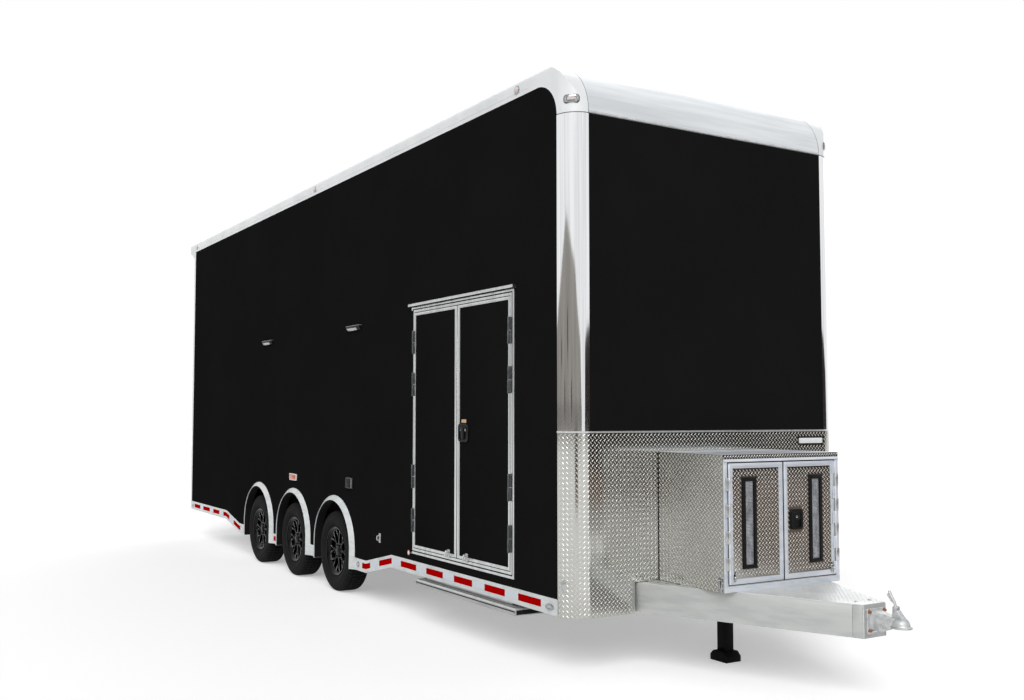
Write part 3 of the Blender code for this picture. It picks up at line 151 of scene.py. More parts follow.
@dataclass(frozen=True)
class Finish:
    """A real material and how its surface was made.

    Patches are broad changes of colour, such as dust, oxide or rolling streaks. The grain is fine relief.
    Both sizes are in millimetres along X, Y and Z. The slot is the record's material slot it mostly goes to.
    """

    name: str
    colour: str
    roughness: float
    metallic: float = 0.0
    slot: str = "bright_trim"
    specular: float = 0.5
    coat: float = 0.0
    second: str = ""
    patch_mm: tuple[float, float, float] = (300.0, 300.0, 300.0)
    patch_edges: tuple[float, float] = (0.35, 0.70)
    grain_mm: tuple[float, float, float] = (4.0, 4.0, 4.0)
    grain_depth_mm: float = 0.02
    roughness_spread: float = 0.06
    anisotropic: float = 0.0

    def material(self) -> bpy.types.Material:
        """The Blender material, made on first use."""
        made = bpy.data.materials.get(self.name)
        if made is None:
            made = bpy.data.materials.new(self.name)
            made.use_nodes = True
            made.diffuse_color = linear(self.colour)
            tree = made.node_tree
            shader = tree.nodes["Principled BSDF"]
            shader.inputs["Base Color"].default_value = linear(self.colour)
            shader.inputs["Roughness"].default_value = self.roughness
            shader.inputs["Metallic"].default_value = self.metallic
            shader.inputs["Specular IOR Level"].default_value = self.specular
            shader.inputs["Coat Weight"].default_value = self.coat
            shader.inputs["Anisotropic"].default_value = self.anisotropic
            self.dress(tree, shader)
        return made

    def mapped(self, tree: bpy.types.NodeTree, size_mm: Sequence[float]) -> bpy.types.NodeSocket:
        """Coordinates on the piece in which one unit is the given size.

        Args:
            tree: The material's nodes.
            size_mm: The size of one unit along X, Y and Z, in millimetres.

        Returns:
            The coordinates' socket.
        """
        place = add_node(tree, "ShaderNodeTexCoord")
        scale = tuple(1000.0 / size for size in size_mm)
        return add_node(
            tree, "ShaderNodeMapping", {"Vector": place.outputs["Object"], "Scale": scale}).outputs["Vector"]

    def dress(self, tree: bpy.types.NodeTree, shader: bpy.types.Node) -> None:
        """Adds the patches, the spread of roughness and the grain's relief.

        Args:
            tree: The material's nodes.
            shader: Its Principled shader.
        """
        patches = add_node(
            tree, "ShaderNodeTexNoise",
            {"Vector": self.mapped(tree, self.patch_mm), "Scale": 1.0, "Detail": 5.0, "Roughness": 0.6})
        share = add_node(
            tree, "ShaderNodeMapRange",
            {"Value": patches.outputs["Fac"], "From Min": self.patch_edges[0],
             "From Max": self.patch_edges[1]},
            interpolation_type="SMOOTHSTEP")
        if self.second:
            blend = add_node(
                tree, "ShaderNodeMix",
                {"Factor": share.outputs["Result"], 6: linear(self.colour), 7: linear(self.second)},
                data_type="RGBA")
            tree.links.new(blend.outputs[2], shader.inputs["Base Color"])
        grain = add_node(
            tree, "ShaderNodeTexNoise",
            {"Vector": self.mapped(tree, self.grain_mm), "Scale": 1.0, "Detail": 3.0})
        gloss = add_node(
            tree, "ShaderNodeMapRange",
            {"Value": patches.outputs["Fac"], "From Min": 0.3, "From Max": 0.7,
             "To Min": max(0.02, self.roughness - self.roughness_spread),
             "To Max": min(1.0, self.roughness + self.roughness_spread)})
        tree.links.new(gloss.outputs["Result"], shader.inputs["Roughness"])
        relief = add_node(
            tree, "ShaderNodeBump",
            {"Height": grain.outputs["Fac"], "Strength": 0.6, "Distance": self.grain_depth_mm / 1000})
        tree.links.new(relief.outputs["Normal"], shader.inputs["Normal"])


@dataclass(frozen=True)
class PrismaticTape(Finish):
    """Retroreflective tape: a clear film over small cells, with the cells' walls a little duller."""

    cell_mm: float = 9.0
    wall: str = "#BFC6CE"

    def dress(self, tree: bpy.types.NodeTree, shader: bpy.types.Node) -> None:
        """Draws the cells of the tape.

        Real cells are about 4 mm across; they are drawn at 9 mm, or they would not show.

        Args:
            tree: The material's nodes.
            shader: Its Principled shader.
        """
        cells = add_node(
            tree, "ShaderNodeTexVoronoi",
            {"Vector": self.mapped(tree, (self.cell_mm,) * 3), "Scale": 1.0, "Randomness": 0.15},
            feature="DISTANCE_TO_EDGE")
        edge = add_node(
            tree, "ShaderNodeMapRange",
            {"Value": cells.outputs["Distance"], "From Min": 0.03, "From Max": 0.14})
        blend = add_node(
            tree, "ShaderNodeMix",
            {"Factor": edge.outputs["Result"], 6: linear(self.wall), 7: linear(self.colour)},
            data_type="RGBA")
        tree.links.new(blend.outputs[2], shader.inputs["Base Color"])
        relief = add_node(
            tree, "ShaderNodeBump", {"Height": edge.outputs["Result"], "Strength": 0.4, "Distance": 0.0002})
        tree.links.new(relief.outputs["Normal"], shader.inputs["Normal"])


@dataclass(frozen=True)
class RibbedLens(Finish):
    """Moulded acrylic lamp lens with fine upright optic ribs inside it."""

    rib_mm: float = 5.0

    def dress(self, tree: bpy.types.NodeTree, shader: bpy.types.Node) -> None:
        """Draws the ribs as relief and as darker lines.

        Args:
            tree: The material's nodes.
            shader: Its Principled shader.
        """
        ribs = add_node(
            tree, "ShaderNodeTexWave",
            {"Vector": self.mapped(tree, (self.rib_mm * 3,) * 3), "Scale": 1.0, "Distortion": 0.0},
            wave_type="BANDS", bands_direction="X")
        blend = add_node(
            tree, "ShaderNodeMix",
            {"Factor": ribs.outputs["Fac"], 6: linear(self.second or self.colour), 7: linear(self.colour)},
            data_type="RGBA")
        tree.links.new(blend.outputs[2], shader.inputs["Base Color"])
        relief = add_node(
            tree, "ShaderNodeBump", {"Height": ribs.outputs["Fac"], "Strength": 0.5, "Distance": 0.0006})
        tree.links.new(relief.outputs["Normal"], shader.inputs["Normal"])


# Coil-coated aluminium skin, roller painted: an even, deep satin black with hardly any reflection
BLACK_SKIN = Finish(
    "coil_coated_black_skin", "#171717", 0.50, specular=0.0, second="#191919", patch_mm=(900, 900, 900),
    grain_mm=(6, 6, 6), grain_depth_mm=0.03, slot="black_skin")
# Polished rolled aluminium: a mirror with soft darker streaks running up the post, partly the rolls' marks and
# partly painted reflection streaks
POLISHED_POST = Finish(
    "polished_rolled_aluminium", "#EDEEF0", 0.07, 1.0, second="#D8DADC", patch_mm=(26, 26, 2400),
    patch_edges=(0.36, 0.62), grain_mm=(3, 3, 400), grain_depth_mm=0.003, roughness_spread=0.02,
    slot="bright_trim")
# Anodised extruded aluminium: soft silver with a little less shine than the posts
BRIGHT_TRIM = Finish(
    "anodised_extruded_aluminium", "#D3D5D5", 0.30, 1.0, second="#BFC2C3", patch_mm=(60, 60, 900),
    grain_mm=(2, 2, 60), grain_depth_mm=0.02, slot="bright_trim")
# Enamelled aluminium extrusions and sheet: clean white with a faint cast of dust
WHITE_ENAMEL = Finish(
    "white_enamel", "#E7E9EA", 0.34, coat=0.25, second="#DADDDE", patch_mm=(420, 420, 700),
    grain_mm=(5, 5, 5), grain_depth_mm=0.03, slot="white_trim")
# The same enamel low on the body, where road dust greys it
ROAD_ENAMEL = Finish(
    "dusted_white_enamel", "#D9DCDC", 0.40, coat=0.15, second="#C6CACB", patch_mm=(160, 160, 60),
    grain_mm=(5, 5, 5), grain_depth_mm=0.03, slot="white_trim")
# Rolled tread plate: bright rolled aluminium with broad darker, warmer patches, partly oxide haze and partly
# painted reflection of the surroundings
TREAD_PLATE = Finish(
    "rolled_tread_plate", "#BDBDB9", 0.12, 1.0, second="#AEADA8", patch_mm=(700, 700, 600),
    patch_edges=(0.35, 0.70), grain_mm=(3, 3, 3), grain_depth_mm=0.008, roughness_spread=0.03,
    slot="tread_plate")
# The same plate on its lugs, lighter all over the lug: partly rubbed bright and partly a painted highlight on
# the lugs
TREAD_LUG = Finish(
    "rubbed_tread_lugs", "#CBCBC7", 0.36, 1.0, second="#BDBDB9", patch_mm=(500, 500, 400),
    grain_mm=(3, 3, 3),
    grain_depth_mm=0.02, slot="tread_plate")
# Smooth sheet of the box's lid and edgings: pale, with a painted reflection of a clear sky, a faint blue in its
# colour
LID_SHEET = Finish(
    "smooth_edging_sheet", "#D9DDE3", 0.42, 0.45, second="#C8CED8", patch_mm=(300, 260, 60),
    grain_mm=(4, 4, 4), slot="bright_trim")
# Zinc-plated steel of the door hinges, dulled dark grey
HINGE_STEEL = Finish(
    "dulled_zinc_steel", "#5C5E60", 0.45, 0.6, second="#3F4142", patch_mm=(14, 14, 30), grain_mm=(2, 2, 2),
    slot="bright_trim")
# Blackened wheel nuts and bolts
BLACK_CHROME = Finish(
    "blackened_chrome", "#2E2F30", 0.25, 1.0, grain_mm=(1, 1, 1), slot="bright_trim")
# Mill-finish extrusions: dull light grey with smears along the beam
MILL_BEAM = Finish(
    "mill_finish_extrusion", "#C1C3C1", 0.48, 0.85, second="#B5B8B7", patch_mm=(1600, 160, 60),
    patch_edges=(0.40, 0.66), grain_mm=(40, 4, 2), grain_depth_mm=0.03, slot="mill_aluminium")
# Shot-blasted zinc-plated casting: light grey, dull and slightly pitted
CAST_ZINC = Finish(
    "zinc_plated_casting", "#CACCCC", 0.48, 0.65, second="#A5A8A9", patch_mm=(50, 50, 50),
    grain_mm=(1.6, 1.6, 1.6), grain_depth_mm=0.12, slot="bright_trim")
# Yellow-passivated bolts: a coppery, slightly worn plating
PASSIVATED_BOLT = Finish(
    "passivated_steel", "#B98465", 0.38, 1.0, second="#8E6A58", patch_mm=(10, 10, 10), grain_mm=(1, 1, 1),
    slot="cast_zinc")
# Chromed steel and plastic bezels
CHROME = Finish(
    "chrome_plate", "#AEB0B2", 0.10, 1.0, second="#8E9092", patch_mm=(16, 16, 16), grain_mm=(3, 3, 3),
    grain_depth_mm=0.005, roughness_spread=0.03, slot="bright_trim")
# Moulded tyre rubber: charcoal, with a dusty bloom on its sidewall
TYRE_RUBBER = Finish(
    "moulded_tyre_rubber", "#19191A", 0.80, specular=0.08, second="#212122", patch_mm=(90, 90, 60),
    grain_mm=(2, 2, 2), grain_depth_mm=0.10, slot="tyre_rubber")
# Gloss powder coat on the cast wheels
GLOSS_BLACK = Finish(
    "gloss_powder_coat", "#030303", 0.20, specular=0.22, grain_mm=(3, 3, 3), grain_depth_mm=0.02,
    roughness_spread=0.05, slot="gloss_black")
# Bright cut faces where the coated wheel was machined
MACHINED_FACE = Finish(
    "machined_wheel_face", "#B9BABB", 0.26, 1.0, grain_mm=(1, 1, 8), grain_depth_mm=0.02, slot="bright_trim")
# Satin powder coat on the jack and brackets
BLACK_POWDER = Finish(
    "satin_powder_coat", "#060606", 0.55, specular=0.08, second="#0B0B0B", patch_mm=(60, 60, 60),
    grain_mm=(1.5, 1.5, 1.5), grain_depth_mm=0.06, slot="black_paint")
# Moulded nylon handles, frames and housings
BLACK_NYLON = Finish(
    "moulded_black_nylon", "#0B0B0C", 0.45, specular=0.14, second="#121213", patch_mm=(30, 30, 30),
    grain_mm=(0.8, 0.8, 0.8), grain_depth_mm=0.05, slot="gloss_black")
# Extruded rubber seals; the same dark rubber also paints shade and shadow: the contact shadow round the box's
# back, the shadow gap under the cove's lip and the shade on the step's end faces
SEAL_RUBBER = Finish(
    "extruded_seal_rubber", "#161617", 0.70, specular=0.10, grain_mm=(2, 2, 2), slot="gloss_black")
# Perforated steel behind the vents
PERFORATED_STEEL = Finish(
    "perforated_zinc_steel", "#CDD0D6", 0.42, 0.5, second="#8C8F96", patch_mm=(60, 60, 90),
    grain_mm=(2, 2, 2), slot="mill_aluminium")
# Painted axle steel and brake drums
AXLE_STEEL = Finish(
    "painted_axle_steel", "#1C1C1D", 0.6, 0.2, second="#2A2826", patch_mm=(80, 80, 80), grain_mm=(2, 2, 2),
    grain_depth_mm=0.08, slot="axle_steel")
# Pre-finished aluminium lining sheet
LINER_WHITE = Finish(
    "lining_sheet", "#E4E5E2", 0.42, second="#DCDDDA", patch_mm=(600, 600, 600), grain_mm=(5, 5, 5),
    slot="white_trim")
# Ribbed rubber floor covering
FLOOR_RUBBER = Finish(
    "ribbed_floor_rubber", "#232325", 0.66, specular=0.35, second="#2B2B2D", patch_mm=(400, 400, 400),
    grain_mm=(3, 3, 3), grain_depth_mm=0.1, slot="tyre_rubber")
# Brushed aluminium cove, clear coated: nearly white, with streaks that run across the trailer
COVE_ALUMINIUM = Finish(
    "clear_coated_aluminium", "#E2E5E8", 0.42, 0.45, second="#CDD1D4", patch_mm=(160, 1500, 90),
    grain_mm=(3, 200, 3), grain_depth_mm=0.02, slot="bright_trim")
# Extruded step, washed and a little scuffed
STEP_ALUMINIUM = Finish(
    "extruded_step_aluminium", "#B2B4B3", 0.42, 0.8, second="#9B9D9C", patch_mm=(300, 80, 60),
    grain_mm=(60, 3, 2), grain_depth_mm=0.03, slot="mill_aluminium")
# Tread deck: the same plate, chalky white with oxide and dust
DECK_PLATE = Finish(
    "oxidised_tread_plate", "#DFE0E0", 0.42, 0.55, second="#CDCFD0", patch_mm=(260, 260, 260),
    grain_mm=(3, 3, 3), grain_depth_mm=0.04, slot="white_trim")
# Die-cast lamp housing, silver grey
LAMP_GREY = Finish(
    "painted_die_casting", "#A2A5A8", 0.38, 0.45, second="#777B7E", patch_mm=(50, 50, 50),
    grain_mm=(1.5, 1.5, 1.5), slot="clear_lens")
# Prismatic tape and moulded acrylic lenses
RED_TAPE = PrismaticTape("red_prismatic_tape", "#B00000", 0.55, specular=0.0, wall="#9A0000",
                         slot="lamp_lens")
WHITE_TAPE = PrismaticTape("white_prismatic_tape", "#DDE5EC", 0.40, specular=0.2, wall="#B4C0CC",
                           slot="clear_lens")
AMBER_LENS = RibbedLens("amber_acrylic_lens", "#D9571C", 0.12, coat=0.6, second="#A8330D", slot="lamp_lens")
CLEAR_LENS = RibbedLens("clear_acrylic_lens", "#E3D3D0", 0.10, coat=0.6, second="#B7A9A9", rib_mm=3.0,
                        slot="lamp_lens")
LED_LENS = RibbedLens("led_lens", "#C9CDD0", 0.14, coat=0.5, second="#8D9196", rib_mm=8.0, slot="clear_lens")
TAIL_LENS = RibbedLens("red_tail_lens", "#A3100D", 0.12, coat=0.6, second="#6E0806", rib_mm=6.0,
                       slot="lamp_lens")
# Printed paper tag and enamelled badge, both left blank
BUFF_TAG = Finish("buff_card", "#CDB18C", 0.7, second="#C2A581", patch_mm=(8, 8, 8), grain_mm=(1, 1, 1),
                  slot="white_trim")
RED_BADGE = Finish("red_enamel", "#A8322C", 0.4, second="#9A2A25", patch_mm=(8, 8, 8), grain_mm=(1, 1, 1),
                   slot="white_trim")


def arc(centre: Point, radii: Point, start: float, end: float, steps: int) -> list[Point]:
    """Points on an elliptic arc.

    Args:
        centre: The arc's centre.
        radii: Its two half axes.
        start: The first point's angle in degrees.
        end: The last point's angle in degrees.
        steps: How many stretches it has.

    Returns:
        The points, both ends included.
    """
    angles = [math.radians(start + (end - start) * i / steps) for i in range(steps + 1)]
    return [(centre[0] + radii[0] * math.cos(a), centre[1] + radii[1] * math.sin(a)) for a in angles]


def rounded(a_low: float, b_low: float, a_high: float, b_high: float, radius: float,
            steps: int = 5) -> list[Point]:
    """The outline of a rectangle with rounded corners, in order.

    Args:
        a_low: Lowest value on the first axis.
        b_low: Lowest value on the second axis.
        a_high: Highest value on the first axis.
        b_high: Highest value on the second axis.
        radius: The corners' radius, less where the rectangle is too small for it.
        steps: How many stretches each corner has.

    Returns:
        The points.
    """
    r = min(radius, (a_high - a_low) / 2 - 1e-5, (b_high - b_low) / 2 - 1e-5)
    corners = (
        (a_high - r, b_high - r, 0), (a_low + r, b_high - r, 90), (a_low + r, b_low + r, 180),
        (a_high - r, b_low + r, 270))
    points: list[Point] = []
    for a, b, start in corners:
        points += arc((a, b), (r, r), start, start + 90, steps)
    return points


def pad(a: float, b: float, half_a: float, half_b: float, radius: float, steps: int = 5) -> list[Point]:
    """The outline of a rectangle about (a, b) with rounded corners, in order."""
    return rounded(a - half_a, b - half_b, a + half_a, b + half_b, radius, steps)


def oval(a: float, b: float, half_a: float, half_b: float, steps: int) -> list[Point]:
    """The outline of a circle or an ellipse about (a, b), in order."""
    return arc((a, b), (half_a, half_b), 0, 360 - 360 / steps, steps - 1)


def rectangle(a_low: float, b_low: float, a_high: float, b_high: float) -> list[Point]:
    """The four corners of a rectangle, in order."""
    return [(a_low, b_low), (a_high, b_low), (a_high, b_high), (a_low, b_high)]


def show(
    name: str, mesh: bpy.types.Mesh, finish: Finish, body: str = "body", replaces: Iterable[str] = (),
    slot: str = "", smooth: float = 32.0, place: Optional[Matrix] = None,
) -> bpy.types.Object:
    """Puts a mesh in the scene as a piece that rides on a body.

    Args:
        name: The piece's name.
        mesh: Its mesh, in the row frame unless it has a place. Several pieces may share it.
        finish: Its finish.
        body: The CAD body it moves with.
        replaces: The CAD nodes it stands for.
        slot: The record's material slot, where it isn't the finish's own; not used.
        smooth: Edges sharper than this many degrees stay sharp.
        place: Where the mesh's own frame lies in the row frame.

    Returns:
        The piece.
    """
    if not mesh.materials:
        mesh.materials.append(finish.material())
        mesh.shade_smooth()
        mesh.set_sharp_from_angle(angle=math.radians(smooth))
    piece = link(name, mesh)
    if place is not None:
        piece.matrix_world = place
    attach(piece, body)
    nodes = tuple(replaces)
    if nodes:
        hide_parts(*nodes)
    LOG.info("%s: %d faces, on %s", name, len(mesh.polygons), body)
    return piece


def link(name: str, data: bpy.types.ID) -> bpy.types.Object:
    """A new object with this data, linked to the scene."""
    made = bpy.data.objects.new(name, data)
    bpy.context.scene.collection.objects.link(made)
    return made


def paint(frame: dict, finish: Finish, *nodes: str) -> None:
    """Gives CAD nodes that stay in view their finish.

    Args:
        frame: What the frame loaded.
        finish: The finish.
        nodes: The nodes' names.
    """
    for node in nodes:
        piece = frame["nodes"][node]
        if not piece.material_slots:
            piece.data.materials.append(None)
        for held in piece.material_slots:
            held.material = finish.material()
        LOG.info("%s: painted with %s", node, finish.name)


class Shape:
    """A mesh in the making, in the row frame. Each method adds one closed body and returns the shape."""

    def __init__(self) -> None:
        """Starts with nothing in it."""
        self.mesh = bmesh.new()

    def add(self, part: bmesh.types.BMesh, ease: float = 0.0, segments: int = 2) -> "Shape":
        """Takes in another mesh, with its sharp edges eased.

        Args:
            part: The mesh, which is used up.
            ease: The rounding's width, or 0 for none.
            segments: How many facets the rounding has.

        Returns:
            The shape.
        """
        bmesh.ops.recalc_face_normals(part, faces=part.faces)
        if ease:
            sharp = [e for e in part.edges if e.is_manifold and e.calc_face_angle(0.0) > 0.5]
            bmesh.ops.bevel(
                part, geom=sharp, offset=ease, segments=segments, profile=0.5, affect="EDGES",
                clamp_overlap=True)
        scratch = bpy.data.meshes.new("scratch")
        part.to_mesh(scratch)
        part.free()
        self.mesh.from_mesh(scratch)
        bpy.data.meshes.remove(scratch)
        return self

    def box(self, low: Place, high: Place, ease: float = 0.0) -> "Shape":
        """Adds a box between two corners, given in any order.

        Args:
            low: One corner.
            high: The opposite corner.
            ease: The rounding of its edges, or 0.

        Returns:
            The shape.
        """
        a, b = Vector(low), Vector(high)
        part = bmesh.new()
        size = Matrix.Diagonal((abs(b.x - a.x), abs(b.y - a.y), abs(b.z - a.z), 1.0))
        bmesh.ops.create_cube(part, size=1.0, matrix=Matrix.Translation((a + b) / 2) @ size)
        return self.add(part, ease)

    def prism(self, plane: Plane, outline: Sequence[Point], low: float, high: float,
              ease: float = 0.0) -> "Shape":
        """Adds an outline drawn out between two values of the third axis.

        Args:
            plane: The plane of the outline.
            outline: Its points, in order.
            low: Where it starts.
            high: Where it ends.
            ease: The rounding of its edges, or 0.

        Returns:
            The shape.
        """
        part = bmesh.new()
        rings = [[part.verts.new(plane.point(a, b, depth)) for a, b in outline] for depth in (low, high)]
        self._skin(part, rings, closed=True)
        return self.add(part, ease)

    def frame(
        self, plane: Plane, outer: Sequence[Point], inner: Sequence[Point], low: float, high: float,
        ease: float = 0.0,
    ) -> "Shape":
        """Adds a frame between two outlines that have as many points as each other.

        Args:
            plane: The plane of the outlines.
            outer: The outer outline.
            inner: The inner outline.
            low: Where it starts.
            high: Where it ends.
            ease: The rounding of its edges, or 0.

        Returns:
            The shape.
        """
        part = bmesh.new()
        loops = [(outer, low), (outer, high), (inner, high), (inner, low)]
        rings = [[part.verts.new(plane.point(a, b, depth)) for a, b in loop] for loop, depth in loops]
        self._skin(part, rings + rings[:1], closed=True, ends=False)
        return self.add(part, ease)

    def loft(self, rings: Sequence[Sequence[Place]], ease: float = 0.0) -> "Shape":
        """Adds a body through rings of points, closed at both ends.

        Args:
            rings: The rings, each with as many points.
            ease: The rounding of its edges, or 0.

        Returns:
            The shape.
        """
        part = bmesh.new()
        made = [[part.verts.new(Vector(point)) for point in ring] for ring in rings]
        self._skin(part, made, closed=True)
        return self.add(part, ease)

    @staticmethod
    def _skin(part: bmesh.types.BMesh, rings: list, closed: bool, ends: bool = True) -> None:
        """Joins rings of vertices by faces, and caps the first and last ring where ends is true.

        Args:
            part: The mesh that takes the faces.
            rings: The rings of vertices.
            closed: Whether each ring closes on itself.
            ends: Whether the first and last ring are filled.
        """
        count = len(rings[0])
        for first, second in zip(rings, rings[1:]):
            for i in range(count if closed else count - 1):
                j = (i + 1) % count
                part.faces.new((first[i], first[j], second[j], second[i]))
        if ends:
            part.faces.new(rings[0])
            part.faces.new(rings[-1])

    def rod(
        self, start: Place, end: Place, radius: float, steps: int = 20, end_radius: Optional[float] = None,
        ease: float = 0.0,
    ) -> "Shape":
        """Adds a cylinder or a cone from one point to another.

        Args:
            start: The middle of one end.
            end: The middle of the other end.
            radius: Its radius.
            steps: How many sides it has.
            end_radius: The radius at the end, where it isn't the same.
            ease: The rounding of its edges, or 0.

        Returns:
            The shape.
        """
        a, b = Vector(start), Vector(end)
        turn = (b - a).to_track_quat("Z", "Y").to_matrix().to_4x4()
        part = bmesh.new()
        bmesh.ops.create_cone(
            part, cap_ends=True, segments=steps, radius1=radius,
            radius2=radius if end_radius is None else end_radius, depth=(b - a).length,
            matrix=Matrix.Translation((a + b) / 2) @ turn)
        return self.add(part, ease)

    def turned(self, profile: Sequence[Point], place: Matrix, steps: int = 32) -> "Shape":
        """Adds a closed profile of (radius, height) points turned about the placed Z axis.

        Args:
            profile: The points.
            place: Where its axis lies.
            steps: How many sides it has.

        Returns:
            The shape.
        """
        part = bmesh.new()
        rings = []
        for i in range(steps):
            turn = Matrix.Rotation(2 * math.pi * i / steps, 4, "Z")
            rings.append([part.verts.new(place @ (turn @ Vector((r, 0.0, h)))) for r, h in profile])
        self._skin(part, rings + rings[:1], closed=True, ends=False)
        bmesh.ops.remove_doubles(part, verts=part.verts, dist=1e-6)
        loose = [f for f in part.faces if f.calc_area() < 1e-12]
        bmesh.ops.delete(part, geom=loose, context="FACES_ONLY")
        return self.add(part)

    def dome(self, centre: Place, outward: Place, radius: float, height: float, steps: int = 12) -> "Shape":
        """Adds a shallow dome, such as a screw head, that rises from a surface.

        Args:
            centre: The middle of its foot.
            outward: The way it rises.
            radius: Its foot's radius.
            height: How far it rises.
            steps: How many sides it has.

        Returns:
            The shape.
        """
        turn = Vector(outward).to_track_quat("Z", "Y").to_matrix().to_4x4()
        profile = [(0.0, 0.0), (radius, 0.0)]
        profile += [(radius * math.cos(a), height * math.sin(a)) for a in (0.35, 0.8, 1.2)] + [(0.0, height)]
        return self.turned(profile, Matrix.Translation(Vector(centre)) @ turn, steps)

    def tube(self, path: Sequence[Place], radius: float, steps: int = 8) -> "Shape":
        """Adds a round bar along a path.

        Args:
            path: The points of its middle line.
            radius: Its radius.
            steps: How many sides it has.

        Returns:
            The shape.
        """
        points = [Vector(p) for p in path]
        part = bmesh.new()
        rings = []
        side: Optional[Vector] = None
        for i, point in enumerate(points):
            along = (points[min(i + 1, len(points) - 1)] - points[max(i - 1, 0)]).normalized()
            if side is None:
                side = along.orthogonal().normalized()
            side = (side - along * side.dot(along)).normalized()
            up = along.cross(side)
            angles = [2 * math.pi * k / steps for k in range(steps)]
            rings.append([
                part.verts.new(point + (side * math.cos(a) + up * math.sin(a)) * radius) for a in angles])
        self._skin(part, rings, closed=True)
        return self.add(part)

    def cast(self, name: str) -> bpy.types.Mesh:
        """Ends the shape and gives its mesh."""
        mesh = bpy.data.meshes.new(name)
        self.mesh.to_mesh(mesh)
        self.mesh.free()
        return mesh

    def piece(self, name: str, finish: Finish, **settings) -> bpy.types.Object:
        """Ends the shape and shows it as a piece, with the settings of show."""
        return show(name, self.cast(name), finish, **settings)


@dataclass(frozen=True)
class Datum:
    """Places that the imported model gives, in the row frame."""

    front: float
    rear: float
    side: float
    guard_low: float
    guard_top: float
    cove_low: float
    roof_top: float
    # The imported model's own sizes that several assemblies share
    corner_radius: float = 0.157
    rail_rounding: float = 0.040
    wall: float = 0.050
    seat: float = 0.0003
    skirt_proud: float = 0.008
    skirt_high: float = 0.392
    rear_frame_depth: float = 0.060
    door_front: float = 0.685
    door_rear: float = 2.300
    door_bottom: float = 0.564
    door_top: float = 2.662
    box_length: float = 0.628
    nose_ahead: float = 1.342
    axles: tuple[float, ...] = (3.948, 5.068, 6.188)

    @classmethod
    def from_frame(cls) -> "Datum":
        """Reads the places from the CAD nodes' boxes. The rear is the frame's face, not its knuckles."""
        wall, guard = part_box("wall_left"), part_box("stone_guard")
        return cls(
            front=guard[1].x, rear=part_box("rear_frame")[1].x - cls.rear_frame_depth, side=wall[1].y,
            guard_low=guard[0].z,
            guard_top=guard[1].z, cove_low=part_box("front_cove")[0].z, roof_top=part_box("roof_rail_left")[1].z)

    def behind(self, distance: float) -> float:
        """X of a place so far behind the front wall."""
        return self.front - distance

    def ahead(self, distance: float) -> float:
        """X of a place so far ahead of the front wall."""
        return self.front + distance


@dataclass(frozen=True)
class TreadPattern:
    """The raised lugs of tread plate: pointed bars that lie crosswise in turn, like a basket weave."""

    spacing: float = 0.034
    length: float = 0.0265
    width: float = 0.0085
    height: float = 0.0014
    sunk: float = 0.0004
    top_share: float = 0.34

    def outline(self) -> list[Point]:
        """One lug's outline, pointed at its ends, with its length along the first axis."""
        l, w = self.length / 2, self.width / 2
        return [(l, 0.0), (l * 0.55, w), (-l * 0.55, w), (-l, 0.0), (-l * 0.55, -w), (l * 0.55, -w)]

    def mesh(
        self, name: str,
        sheets: Sequence[tuple[float, float, float, float, Callable[[float, float], tuple]]],
        clear: Callable[[float, float], bool] = lambda u, v: True,
    ) -> bpy.types.Mesh:
        """The lugs over one or more sheets.

        Args:
            name: The mesh's name.
            sheets: For each sheet, the lowest u and v, the highest u and v, and a function from (u, v) to
                the point, the two directions along the sheet and the direction out of it.
            clear: Whether a lug may stand at (u, v) on its sheet.

        Returns:
            The mesh.
        """
        verts: list[Vector] = []
        faces: list[tuple[int, ...]] = []
        outline = self.outline()
        count = len(outline)
        margin = self.length * 0.40
        for u_low, v_low, u_high, v_high, where in sheets:
            pitch = self.spacing / 2
            columns = int((u_high - u_low - 2 * margin) / pitch) + 1
            rows = int((v_high - v_low - 2 * margin) / pitch) + 1
            u_start = (u_low + u_high - (columns - 1) * pitch) / 2
            v_start = (v_low + v_high - (rows - 1) * pitch) / 2
            for i in range(columns):
                for j in range(i % 2, rows, 2):
                    u, v = u_start + i * pitch, v_start + j * pitch
                    if not clear(u, v):
                        continue
                    middle, along, across, out = where(u, v)
                    slant = math.radians(45 if i % 2 else -45)
                    first = along * math.cos(slant) + across * math.sin(slant)
                    second = across * math.cos(slant) - along * math.sin(slant)
                    start = len(verts)
                    for share, rise in ((1.0, -self.sunk), (self.top_share, self.height)):
                        long = 1.0 - (1.0 - share) * 0.35
                        verts += [middle + first * (a * long) + second * (b * share) + out * rise for a,
                                  b in outline]
                    faces.append(tuple(range(start + count - 1, start - 1, -1)))
                    faces.append(tuple(range(start + count, start + 2 * count)))
                    for k in range(count):
                        n = (k + 1) % count
                        faces.append((start + k, start + n, start + count + n, start + count + k))
        made = bpy.data.meshes.new(name)
        made.from_pydata([tuple(v) for v in verts], [], faces)
        return made


def flat_sheet(origin: Place, along: Place, across: Place) -> Callable[[float, float], tuple]:
    """A flat sheet through a point, for TreadPattern.mesh.

    Args:
        origin: The point at u = v = 0.
        along: The direction of u, of unit length.
        across: The direction of v, of unit length.

    Returns:
        The function from (u, v) to a point and three directions.
    """
    o, a, b = Vector(origin), Vector(along), Vector(across)
    out = a.cross(b)
    return lambda u, v: (o + a * u + b * v, a, b, out)


